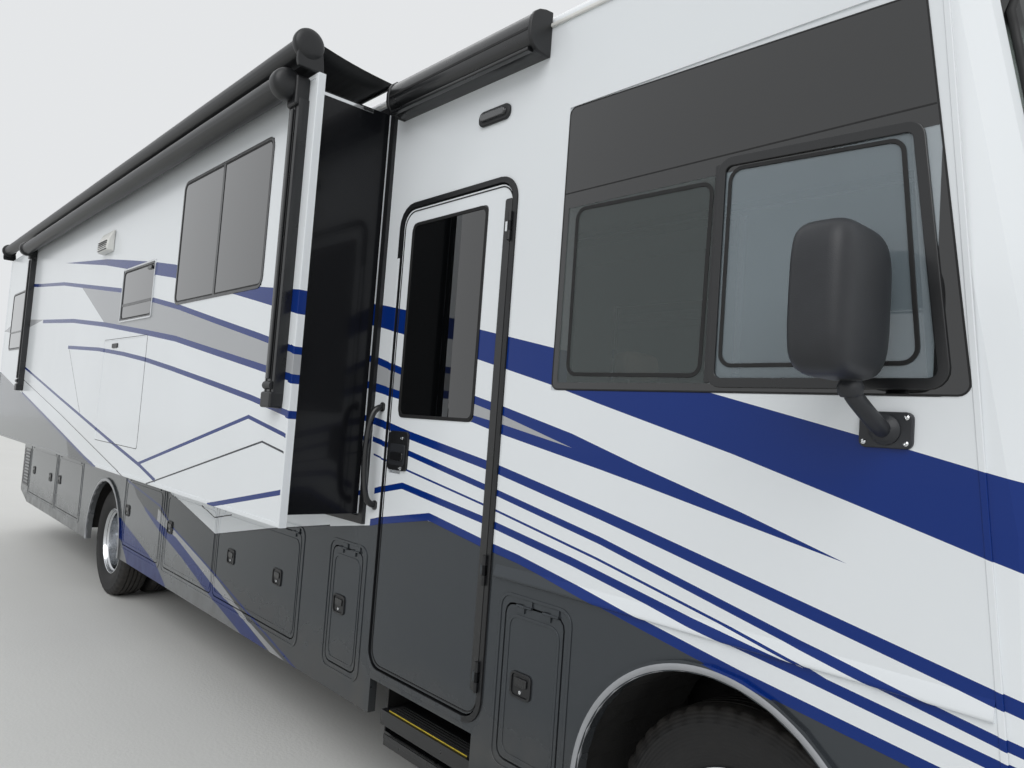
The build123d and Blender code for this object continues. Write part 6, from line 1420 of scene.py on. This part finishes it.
class MakeSlideTrim(bpy.types.Operator):
    """Makes the edges, seals, hatches and vents of the slide-outs, the porch light and the long rails"""
    bl_idname = "motorhome.make_slide_trim"
    bl_label = "Slide-out trim"

    def execute(self, context):
        for word, side, rear, front in SLIDES:
            body = name = f"slide_{word}"
            corners = rectangle(rear + 0.001, front - 0.001, SLIDE_LOW + 0.001, SLIDE_HIGH - 0.001)
            edge = Shape().ring("y", rounded_polygon(corners, 0.012), rounded_polygon(corners, 0.012, 0.022),
                                side * (SLIDE_FACE - SUNK), side * (SLIDE_FACE + 0.0035))
            piece(f"{name}_edge", body, edge, "paint", 0.0025, 3)
            seal = Shape().ring("y", rounded_polygon(corners, 0.02, 0.012),
                                rounded_polygon(corners, 0.02, 0.034), side * (SLIDE_BACK - 0.0044),
                                side * (SLIDE_BACK + 0.001))
            piece(f"{name}_bulb_seal", body, seal, "rubber", 0.002, 3)
            # Drip bar over the end wall
            face = surface_x(f"{word}_slide_room", side * 1.5, 3.3)
            block(f"{name}_drip", body, (face - 0.002, face + 0.004), (side * 1.4, side * 1.69),
                  (3.334, 3.35), "chrome", 0.001)
        # Hatch outline and framed service pane on the right slide-out
        for name, limits, radius, width, proud, material, bevel in SLIDE_RINGS:
            frame_ring(f"slide_{name}", "slide_right", rectangle(*limits), radius, SLIDE_FACE, -1, width,
                       proud, material, bevel)
        for name, limits, radius, proud, material in SLIDE_PLATES:
            facing(f"slide_{name}", "slide_right", rectangle(*limits), radius, SLIDE_FACE, -1, proud,
                   material, 0.003)
        # Moulded white cowl over the range vent
        prism("range_vent_cowl", "slide_right", "x", handed(-1, VENT_COWL, SLIDE_FACE), -0.76, -0.47,
              "white_plastic", 0.014, segments=5, smooth=60)
        slots = Shape()
        for step in range(5):
            low = 2.975 + 0.016 * step
            slots.block((-0.735, -0.495), (-(SLIDE_FACE + 0.0595), -(SLIDE_FACE + 0.05)), (low, low + 0.006))
        piece("range_vent_slots", "slide_right", slots, "black_plastic")
        # Porch light beside the door awning: dark base with a smoked bowed lens
        facing("porch_light_base", "coach", rectangle(3.457, 3.66, 3.112, 3.18), 0.03, HALF_W, -1, 0.014,
               "black_plastic", 0.006)
        facing("porch_light_lens", "coach", rectangle(3.478, 3.64, 3.128, 3.165), 0.017, HALF_W + 0.012, -1,
               0.014, "smoked_lens", 0.008)
        # Rain rail where the walls meet the roof, the bead along the front cap and the rear cap's seam
        for word, side in SIDES:
            rail = soft_outline((side * (HALF_W + 0.0045), 3.432), 0.013, 0.016, 0.004)
            prism(f"rain_rail_{word}", "coach", "x", rail, -5.69, 5.27, "white_plastic", 0.001)
            facing(f"cap_seam_{word}", "coach", CAP_SEAM, 0.003, HALF_W - 0.003, side, 0.0055, "paint",
                   0.0025)
            facing(f"rear_seam_{word}", "coach", rectangle(-5.702, -5.698, 0.56, 3.39), 0.001, HALF_W, side,
                   0.0008, "rubber", 0.0002)
        return {"FINISHED"}


# Wheel arches: name, distance along, height of the centre, radius of the opening
ARCHES = (("front", FRONT_AXLE_X, 0.618, 0.505), ("rear", REAR_AXLE_X, 0.5, 0.545))
ARCH_STEPS = 72
# Height at which the arch lips end
ARCH_FOOT = 0.431
# Moulded ledge ahead of the entry door: its line, and its section as rise and distance from the wall
LEDGE_LINE = ((3.772, 1.226), (4.1, 1.229), (4.7, 1.23), (5.2, 1.233), (5.504, 1.231))
LEDGE_SECTION = ((0.052, -0.002), (0.047, 0.0008), (0.034, 0.0046), (0.018, 0.01), (0.008, 0.0126),
                 (0.002, 0.0124), (-0.001, 0.0096), (-0.002, 0.001), (-0.002, -0.002))


class MakeSkirtTrim(bpy.types.Operator):
    """Makes the moulded ledges, the wheel arch lips, the skirt louvres and the dressing of the entry step"""
    bl_idname = "motorhome.make_skirt_trim"
    bl_label = "Skirt trim"

    def ledge(self, word, side):
        """Ledge that swells outwards and drops back below."""
        rows, count = len(LEDGE_LINE), len(LEDGE_SECTION)
        points = [(x, side * (HALF_W + proud), z + rise) for x, z in LEDGE_LINE
                  for rise, proud in LEDGE_SECTION]
        ends = [list(range(count)), [(rows - 1) * count + i for i in reversed(range(count))]]
        shape = Shape().put(points, quads(rows - 1, count - 1) + ends)
        piece(f"wall_ledge_{word}", "coach", shape, "paint", smooth=60)

    def arch_lip(self, name, side, x, z, radius, width):
        """Rounded lip around a wheel opening, down to the foot of the skirt."""
        start = math.asin(min(0.0, (ARCH_FOOT + 0.001 - z) / radius))
        section = ((0.0, -0.006), (-0.003, 0.008), (0.003, 0.0155), (width - 0.006, 0.017), (width, 0.015),
                   (width + 0.001, 0.004), (width - 0.002, -0.004))
        points = []
        for step in range(ARCH_STEPS + 1):
            turn = start + (math.pi - 2 * start) * step / ARCH_STEPS
            points += [(x + (radius + reach) * math.cos(turn), side * (HALF_W + proud),
                        max(z + (radius + reach) * math.sin(turn), ARCH_FOOT)) for reach, proud in section]
        count = len(section)
        ends = [list(range(count)), list(range(ARCH_STEPS * count, (ARCH_STEPS + 1) * count))[::-1]]
        shape = Shape().put(points, quads(ARCH_STEPS, count, closed=True) + ends)
        piece(name, "coach", shape, "arch_silver", smooth=50)

    def execute(self, context):
        for word, side in SIDES:
            self.ledge(word, side)
            for name, x, z, radius in ARCHES:
                self.arch_lip(f"arch_lip_{name}_{word}", side, x, z, radius,
                              context.scene.motorhome_trim.arch_lip)
            louvres = Shape()
            for step in range(11):
                low = 0.64 + 0.04 * step
                blade = ((-0.004, low), (0.009, low + 0.003), (0.006, low + 0.012), (-0.004, low + 0.026))
                louvres.prism("x", handed(side, blade, HALF_W), -5.63, -5.33)
            piece(f"skirt_louvres_{word}", "coach", louvres, "black_plastic", 0.001)
            frame_ring(f"skirt_louvre_frame_{word}", "coach", rectangle(-5.65, -5.31, 0.62, 1.1), 0.02,
                       HALF_W, side, 0.018, 0.004, "black_metal")
        # Entry step: grit pads and ribs on each tread, a plain front edge
        for number, (back, front) in enumerate(((-1.09, -0.985), (-1.258, -1.15))):
            middle = (back + front) / 2
            top = surface_z("entry_step", 3.36, middle)
            prism(f"step_grit_{number}", "entry_step", "z",
                  soft_outline((3.36, middle), 0.6, front - back - 0.016, 0.006), top - 0.001, top + 0.0015,
                  "grit")
            ribs = Shape()
            for rib in range(5):
                y = back + 0.018 + (front - back - 0.036) * rib / 4
                ribs.block((3.075, 3.645), (y - 0.0025, y + 0.0025), (top, top + 0.004))
            piece(f"step_ribs_{number}", "entry_step", ribs, "black_metal", 0.001)
        # Worn yellow line along the front of the lower tread
        block("step_line", "entry_step", (3.075, 3.645), (-1.2535, -1.2508), (top, top + 0.0042), "yellow",
              0.0005)
        block("step_edge", "entry_step", (3.06, 3.66), (-1.2665, -1.26), (0.35, 0.3725), "black_metal",
              0.001)
        return {"FINISHED"}


# Wiper blade as distance across and height, from the middle outwards
WIPER_LINE = ((0.08, 1.905), (0.27, 1.896), (0.46, 1.893), (0.65, 1.9), (0.84, 1.918))
WIPER_PIVOT = ((-0.004, 0.0), (-0.004, 0.026), (0.01, 0.025), (0.028, 0.016), (0.034, 0.0))
# Headlamps: distance across, height, radius, turn outwards in degrees
HEADLAMPS = ((0.905, 1.063, 0.088, 11), (1.09, 1.063, 0.076, 22))
# Bezel and lens of a headlamp: place along the axis, share of its radius
LAMP_BEZEL = ((0.0, 1.0), (0.01, 1.0), (0.015, 0.94), (0.008, 0.86), (0.0, 0.84), (0.0, 1.0))
LAMP_LENS = ((0.0, 0.0), (0.0, 0.85), (0.007, 0.83), (0.013, 0.55), (0.016, 0.25), (0.017, 0.0))
# Grille openings: name, half width, low, high, place along the coach
GRILLES = (("upper", 0.622, 0.812, 1.258, 5.8), ("lower", 0.74, 0.512, 0.658, 5.77))
# Pitch of the grille's mesh and half the width of its bars
MESH_PITCH = 0.026
MESH_HALF = 0.0022


class MakeFront(bpy.types.Operator):
    """Makes the windscreen seal, wipers, headlamps, grille mesh and clearance lamps"""
    bl_idname = "motorhome.make_front"
    bl_label = "Front"

    def execute(self, context):
        # Seal around the windscreen: low edge, left edge, top edge, right edge
        across = [-1.13 + 2.26 * step / 16 for step in range(17)]
        back = [1.13 - 2.26 * step / 16 for step in range(17)]
        up = [1.9 + 1.06 * step / 6 for step in range(7)]
        down = [2.96 - 1.06 * step / 6 for step in range(7)]
        edge = ([(y, 1.812, y, 1.806) for y in across] + [(1.165, z, 1.172, z) for z in up]
                + [(y, 3.045, y, 3.052) for y in back] + [(-1.165, z, -1.172, z) for z in down])
        loop = [(surface_x("windscreen", met_y, met_z) + 0.002, y, z) for met_y, met_z, y, z in edge]
        bar("windscreen_seal", "coach", loop, 0.011, "rubber", smooth=False, cyclic=True)
        for word, side in SIDES:
            self.wiper(word, side)
            for number, (y, z, radius, turn) in enumerate(HEADLAMPS):
                look = {"at": (surface_x("lamps", side * y, z) - 0.004, side * y, z),
                        "turned": (0.0, 0.0, side * math.radians(turn))}
                for part, profile, material in (("bezel", LAMP_BEZEL, "chrome"),
                                                ("lens", LAMP_LENS, "clear_lens")):
                    lathed(f"headlamp_{word}_{part}_{number}", "coach", "x", (0, 0, 0),
                           [(along, radius * share) for along, share in profile], material, **look)
        for name, half, low, high, inner in GRILLES:
            self.grille(name, half, low, high, inner)
        # Clearance lamps: five amber ones on the front cap and five red ones on the rear
        for number, y in enumerate((-1.02, -0.15, 0.0, 0.15, 1.02)):
            for word, node, z, lens, way in (("front", "front_cap", 3.3, "amber_lens", 1),
                                             ("rear", "rear_cap", 3.42, "red_lens", -1)):
                x = surface_x(node, y, z, from_front=way > 0)
                for part, size, behind, proud, material, bevel, segments in (
                        ("base", (0.11, 0.036, 0.016), 0.01, 0.006, "white_plastic", 0.002, 2),
                        ("lens", (0.092, 0.026, 0.012), 0.004, 0.018, lens, 0.006, 3)):
                    prism(f"clearance_{word}_{part}_{number}", "coach", "x", soft_outline((y, z), *size),
                          *sorted((x - way * behind, x + way * proud)), material, bevel, segments=segments)
        return {"FINISHED"}

    def wiper(self, word, side):
        """Blade on the glass, its bent arm and the pivot below the windscreen."""
        blade = [(surface_x("windscreen", side * y, z) + 0.017, side * y, z) for y, z in WIPER_LINE]
        bar(f"wiper_blade_{word}", "coach", blade, 0.007, "rubber")
        y, z = side * 0.93, 1.76
        base = surface_x("front_cap", y, z)
        x, middle_y, middle_z = blade[2]
        bar(f"wiper_arm_{word}", "coach",
            [(base + 0.004, y, z), (base + 0.03, side * 0.925, 1.77), (base + 0.046, side * 0.8, 1.812),
             (x + 0.022, side * 0.56, 1.875), (x + 0.012, middle_y, middle_z)], 0.008, "black_metal")
        lathed(f"wiper_pivot_{word}", "coach", "x", (0.0, y, z), [(base + x, r) for x, r in WIPER_PIVOT],
               "black_plastic", 28)

    def grille(self, name, half, low, high, inner):
        """Mesh of thin upright and level bars, bowed with the front cap."""
        mesh = Shape()
        count = int(2 * half / MESH_PITCH)
        for step in range(count + 1):
            y = -half + 2 * half * step / count
            x = inner - 0.11 * (abs(y) / 0.76) ** 2 * 0.5
            mesh.block((x, x + 0.004), (y - MESH_HALF, y + MESH_HALF), (low, high))
        rows = int((high - low) / MESH_PITCH)
        for step in range(rows + 1):
            z = low + (high - low) * step / rows
            for part in range(8):
                y = -half + 2 * half * part / 8
                x = inner - 0.055 * (abs(y + half / 8) / 0.76) ** 2
                mesh.block((x, x + 0.004), (y, y + 2 * half / 8), (z - MESH_HALF, z + MESH_HALF))
        piece(f"grille_mesh_{name}", "coach", mesh, "black_plastic")


# Tail lamps: place along the coach, radius
TAIL_RING = ((-5.846, 0.051), (-5.856, 0.051), (-5.859, 0.047), (-5.856, 0.042), (-5.846, 0.042),
             (-5.846, 0.051))
TAIL_LENS = ((-5.846, 0.0), (-5.846, 0.043), (-5.855, 0.041), (-5.861, 0.026), (-5.863, 0.01),
             (-5.8635, 0.0))
# Their heights and lenses, from the lowest
TAIL_LAMPS = ((1.245, "clear_lens"), (1.45, "amber_lens"), (1.655, "red_lens"))


class MakeRear(bpy.types.Operator):
    """Makes the round tail lamps, the blank plate on its bracket and the rear cap's border"""
    bl_idname = "motorhome.make_rear"
    bl_label = "Rear"

    def execute(self, context):
        for word, side in SIDES:
            for number, (z, lens) in enumerate(TAIL_LAMPS):
                centre = (0.0, side * 1.075, z)
                lathed(f"tail_{word}_ring_{number}", "coach", "x", centre, TAIL_RING, "black_plastic", 40)
                lathed(f"tail_{word}_lens_{number}", "coach", "x", centre, TAIL_LENS, lens, 40)
        prism("plate_bracket", "coach", "x", soft_outline((0.0, 0.98), 0.33, 0.18, 0.012), -5.838, -5.828,
              "black_plastic", 0.002)
        prism("blank_plate", "coach", "x", soft_outline((0.0, 0.98), 0.305, 0.153, 0.01), -5.841, -5.837,
              "white_plastic", 0.001)
        # Moulded border of the rear cap
        border = Shape().ring("x", soft_outline((0.0, 2.08), 2.1, 2.5, 0.12),
                              soft_outline((0.0, 2.08), 2.06, 2.46, 0.1), -5.836, -5.826)
        piece("rear_cap_border", "coach", border, "paint", 0.004, 3)
        return {"FINISHED"}


class MakeRoof(bpy.types.Operator):
    """Makes the air conditioner shrouds and the roof vents"""
    bl_idname = "motorhome.make_roof"
    bl_label = "Roof"

    def execute(self, context):
        for number, x in enumerate((2.1, -2.9)):
            shroud = bulb_form((x, 0.0, 3.56), (0.524, 0.349, 0.298), 5.0, sides=64, rows=40, low=3.556)
            item = piece(f"air_unit_{number}", "coach", shroud, "white_plastic", smooth=40)
            if number == 0:
                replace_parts(item, "roof_units")
            slots = Shape()
            for x_range, y_range in (((x - 0.3, x + 0.3), (-0.3505, -0.33)),
                                     ((x - 0.3, x + 0.3), (0.33, 0.3505)),
                                     ((x - 0.5255, x - 0.5), (-0.2, 0.2))):
                for step in range(5):
                    low = 3.615 + 0.026 * step
                    slots.block(x_range, y_range, (low, low + 0.009))
            piece(f"air_unit_{number}_slots", "coach", slots, "black_plastic", 0.001)
        for number, x in enumerate((-0.4, -4.3)):
            prism(f"roof_vent_{number}_base", "coach", "z", soft_outline((x, 0.0), 0.418, 0.418, 0.03), 3.552,
                  3.578, "white_plastic", 0.006, segments=3)
            lid = bulb_form((x, 0.0, 3.575), (0.19, 0.19, 0.088), 5.0, sides=48, rows=24, low=3.577)
            piece(f"roof_vent_{number}_lid", "coach", lid, "white_plastic", smooth=40)
        return {"FINISHED"}


def cushion(name, body, centre, half, tilt, swell):
    """Stuffed cushion: a block blown up by a cloth simulation, kept close to its first form."""
    shape = bulb_form((0.0, 0.0, 0.0), half, 5.0, sides=48, rows=32)
    item = piece(name, body, shape, "leather", smooth=180, at=centre, turned=(0.0, tilt, 0.0))
    remesh = item.modifiers.new("Even mesh", "REMESH")
    remesh.mode = "VOXEL"
    remesh.voxel_size = 0.01
    even = evaluated(item)
    item.modifiers.remove(remesh)
    item.data = even
    before = [point.co.copy() for point in even.vertices]
    cloth = item.modifiers.new("Stuffing", "CLOTH")
    cloth.settings.use_pressure = True
    cloth.settings.uniform_pressure_force = 4.0
    cloth.settings.effector_weights.gravity = 0.0
    scene = bpy.context.scene
    for step in range(1, 21):
        scene.frame_set(step)
    blown = evaluated(item)
    item.modifiers.remove(cloth)
    scene.frame_set(1)
    for point, start in zip(blown.vertices, before):
        moved = point.co - start
        if moved.length > swell:
            point.co = start + moved * (swell / moved.length)
    item.data = blown
    blown.materials.clear()
    blown.materials.append(FINISHES["leather"])
    blown.shade_smooth()
    soften(item)
    return item


def soften(item):
    """Rounds the even mesh of a cushion."""
    form = item.modifiers.new("Soft form", "SUBSURF")
    form.levels = form.render_levels = 1


# Left cushions: name, centre, half sizes, lean in degrees, number that the full swell is divided by
SEAT_Y = 0.69
CUSHIONS = (
    ("seat", (4.265, SEAT_Y, 1.585), (0.245, 0.215, 0.055), 0, 1),
    ("back", (3.985, SEAT_Y, 1.85), (0.05, 0.21, 0.195), -9, 1),
    ("head", (3.935, SEAT_Y, 2.12), (0.042, 0.12, 0.06), -9, 3),
    ("arm_in", (4.18, 0.465, 1.76), (0.15, 0.018, 0.024), 0, 3),
    ("arm_out", (4.18, 0.915, 1.76), (0.15, 0.018, 0.024), 0, 3),
)
# Steering wheel's hub: height in the plane of the wheel, radius
STEERING_HUB = ((-0.045, 0.0), (-0.045, 0.03), (-0.012, 0.06), (0.004, 0.074), (0.014, 0.066), (0.02, 0.03),
                (0.021, 0.0))


class MakeCab(bpy.types.Operator):
    """Makes the two cab seats, the steering wheel and the dashboard's dressing"""
    bl_idname = "motorhome.make_cab"
    bl_label = "Cab"

    def execute(self, context):
        sizes = context.scene.motorhome_cab
        for word, centre, half, tilt, divisor in CUSHIONS:
            lean = math.radians(tilt)
            item = cushion(f"cab_left_{word}", "coach", centre, half, lean, sizes.cushion_swell / divisor)
            if word == "seat":
                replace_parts(item, "cab_seats")
            other = linked(f"cab_right_{word}", item.data, (centre[0], -centre[1], centre[2]),
                           (0.0, lean, 0.0))
            if item.modifiers:
                soften(other)
            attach(other, "coach")
        for word, side in SIDES:
            y = side * SEAT_Y
            block(f"cab_{word}_pedestal", "coach", (4.06, 4.42), (y - 0.17, y + 0.17), (1.262, 1.5),
                  "black_plastic", 0.03, 4)
            block(f"cab_{word}_pan", "coach", (4.0, 4.52), (y - 0.225, y + 0.225), (1.495, 1.54),
                  "black_plastic", 0.02, 4)
            posts = Shape()
            for near, far in ((-0.06, -0.05), (0.05, 0.06)):
                posts.block((3.93, 3.94), (y + near, y + far), (2.02, 2.09))
            piece(f"cab_{word}_posts", "coach", posts, "chrome", 0.002)
            for number, along in enumerate((-0.225, 0.225)):
                block(f"cab_{word}_bracket_{number}", "coach", (3.99, 4.05),
                      (y + along - 0.012, y + along + 0.012), (1.52, 1.78), "black_plastic", 0.008, 3)
        wheel = {"at": (4.79, 0.69, 1.83), "turned": (0.0, math.radians(-40), 0.0)}
        tube = [2 * math.pi * step / 16 for step in range(17)]
        grip = [(sizes.wheel_rim * math.sin(turn), 0.208 + sizes.wheel_rim * math.cos(turn)) for turn in tube]
        rim = lathed("steering_grip", "steering_wheel", "z", (0, 0, 0), grip, "leather_black", 96, smooth=80,
                     **wheel)
        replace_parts(rim, "steering_wheel")
        spokes = Shape()
        for angle in (90, 210, 330):
            turn = math.radians(angle)
            way = Vector((math.cos(turn), math.sin(turn)))
            wide = Vector((-math.sin(turn), math.cos(turn)))
            corners = [way * 0.04 - wide * 0.034, way * 0.2 - wide * 0.016, way * 0.2 + wide * 0.016,
                       way * 0.04 + wide * 0.034]
            spokes.prism("z", corners, -0.01, 0.004)
        piece("steering_spokes", "steering_wheel", spokes, "black_plastic", 0.004, **wheel)
        lathed("steering_hub", "steering_wheel", "z", (0, 0, 0), STEERING_HUB, "black_plastic", smooth=50,
               **wheel)
        # Dashboard: two blank glass screens in their bezels, and the air outlets
        for name, y, width in (("gauges", 0.69, 0.3), ("middle", 0.16, 0.24)):
            middle = (y, surface_z("dashboard", 5.02, y) - 0.055)
            prism(f"dash_{name}_screen", "coach", "x", soft_outline(middle, width, 0.1, 0.012), 4.902, 4.912,
                  "gloss_black", 0.002)
            bezel = Shape().ring("x", soft_outline(middle, width + 0.024, 0.124, 0.018),
                                 soft_outline(middle, width - 0.002, 0.098, 0.012), 4.899, 4.914)
            piece(f"dash_{name}_bezel", "coach", bezel, "black_plastic", 0.003)
        for number, y in enumerate((-0.95, -0.45, 0.38, 1.0)):
            outlet = Shape()
            for step in range(5):
                low = 1.7 + 0.014 * step
                outlet.block((4.9, 4.914), (y - 0.06, y + 0.06), (low, low + 0.005))
            piece(f"dash_outlet_{number}", "coach", outlet, "black_plastic", 0.001)
        return {"FINISHED"}


# Round studio floor, wide enough to reach the horizon
FLOOR_RADIUS = 60.0
# Camera of the photograph: its place, and its turn, tip and roll in degrees
CAMERA_PLACE = (6.05, -3.3125, 1.818)
CAMERA_ANGLES = (138.0954, 3.2235, 4.1544)
# Soft lamps: name, turn about the coach, tip from straight down, share of the key's strength, softness
LAMPS = (("key", -52, 48, 1.0, 50), ("fill", 150, 62, 0.35, 70))


class SetStage(bpy.types.Operator):
    """Makes the floor, the soft light and the camera"""
    bl_idname = "motorhome.set_stage"
    bl_label = "Stage"

    def execute(self, context):
        scene = context.scene
        look = scene.motorhome_stage
        scene.view_settings.view_transform = "Standard"
        material, tree, shader = finish("Smooth pale concrete", "#D9D9D6", 0.75)
        where = place_of(tree)[0]
        shaded(tree, shader, look.floor_colour[:], patch(tree, where, 1.6, 4, 0.0, 1.0), 0.04)
        bumped(tree, shader, patch(tree, where, 0.02, 2, 0.0, 1.0), 0.0006)
        mesh = bpy.data.meshes.new("floor_sheet")
        mesh.from_pydata([(x, y, 0.0) for x, y in around(96, FLOOR_RADIUS)], [], [list(range(96))])
        mesh.materials.append(material)
        ground = linked("studio_floor", mesh)

        world = bpy.data.worlds.new("Soft studio")
        world.use_nodes = True
        scene.world = world
        sky = world.node_tree
        rays = place(sky, "ShaderNodeLightPath").outputs
        # The coach sees a brighter surround than the light that it gives
        seen = any_of(sky, [rays[word] for word in ("Is Camera Ray", "Is Glossy Ray", "Is Transmission Ray")])
        back = sky.nodes["Background"]
        back.inputs["Color"].default_value = linear("#F4F6F8")
        sky.links.new(ranged(sky, seen, 0.0, 1.0, look.soft_light, 0.86), back.inputs["Strength"])

        for name, turn, tip, share, softness in LAMPS:
            lamp = bpy.data.lights.new(f"{name}_lamp", "SUN")
            lamp.energy = look.key_power * share
            lamp.angle = math.radians(softness)
            linked(f"{name}_lamp", lamp, turned=(math.radians(tip), 0.0, math.radians(turn + 90)))

        yaw, pitch, roll = (math.radians(angle) for angle in CAMERA_ANGLES)
        ahead = Vector((math.cos(pitch) * math.cos(yaw), math.cos(pitch) * math.sin(yaw), math.sin(pitch)))
        level = ahead.cross(Vector((0, 0, 1))).normalized()
        upward = level.cross(ahead)
        right = math.cos(roll) * level + math.sin(roll) * upward
        up = -math.sin(roll) * level + math.cos(roll) * upward
        camera = linked("camera", bpy.data.cameras.new("camera"))
        camera.data.lens = look.lens
        camera.data.sensor_width = 36.0
        camera.data.clip_end = 300.0
        camera.matrix_world = Matrix([(*row, place_at) for row, place_at in
                                      zip(zip(right, up, -ahead), CAMERA_PLACE)] + [(0.0, 0.0, 0.0, 1.0)])
        scene.camera = camera
        return {"FINISHED"}


PIECE_MAKERS = (DressBody, MakeWheels, MakeMirrors, MakeWindows, MakeDoors, MakeAwnings, MakeSlideTrim,
                MakeSkirtTrim, MakeFront, MakeRear, MakeRoof, MakeCab, SetStage)
SETTINGS = (
    ("motorhome_paint", PaintColours),
    ("motorhome_wheels", WheelSizes),
    ("motorhome_trim", TrimSizes),
    ("motorhome_awnings", AwningSizes),
    ("motorhome_cab", CabSizes),
    ("motorhome_stage", StageLook),
)


class MotorhomePanel(bpy.types.Panel):
    """Lists the motorhome's settings and the makers of its pieces"""
    bl_idname = "VIEW3D_PT_motorhome"
    bl_label = "Motorhome"
    bl_space_type = "VIEW_3D"
    bl_region_type = "UI"
    bl_category = "Motorhome"

    def draw(self, context):
        for name, group in SETTINGS:
            column = self.layout.column(align=True)
            for setting in group.__annotations__:
                column.prop(getattr(context.scene, name), setting)
        for maker in PIECE_MAKERS:
            self.layout.operator(maker.bl_idname)


def register():
    for name, group in SETTINGS:
        bpy.utils.register_class(group)
        setattr(bpy.types.Scene, name, bpy.props.PointerProperty(type=group))
    for item in PIECE_MAKERS + (MotorhomePanel,):
        bpy.utils.register_class(item)


def unregister():
    for item in reversed(PIECE_MAKERS + (MotorhomePanel,)):
        bpy.utils.unregister_class(item)
    for name, group in reversed(SETTINGS):
        delattr(bpy.types.Scene, name)
        bpy.utils.unregister_class(group)


def main():
    register()
    for maker in PIECE_MAKERS:
        family, name = maker.bl_idname.split(".")
        getattr(getattr(bpy.ops, family), name)()


if __name__ == "__main__":
    main()
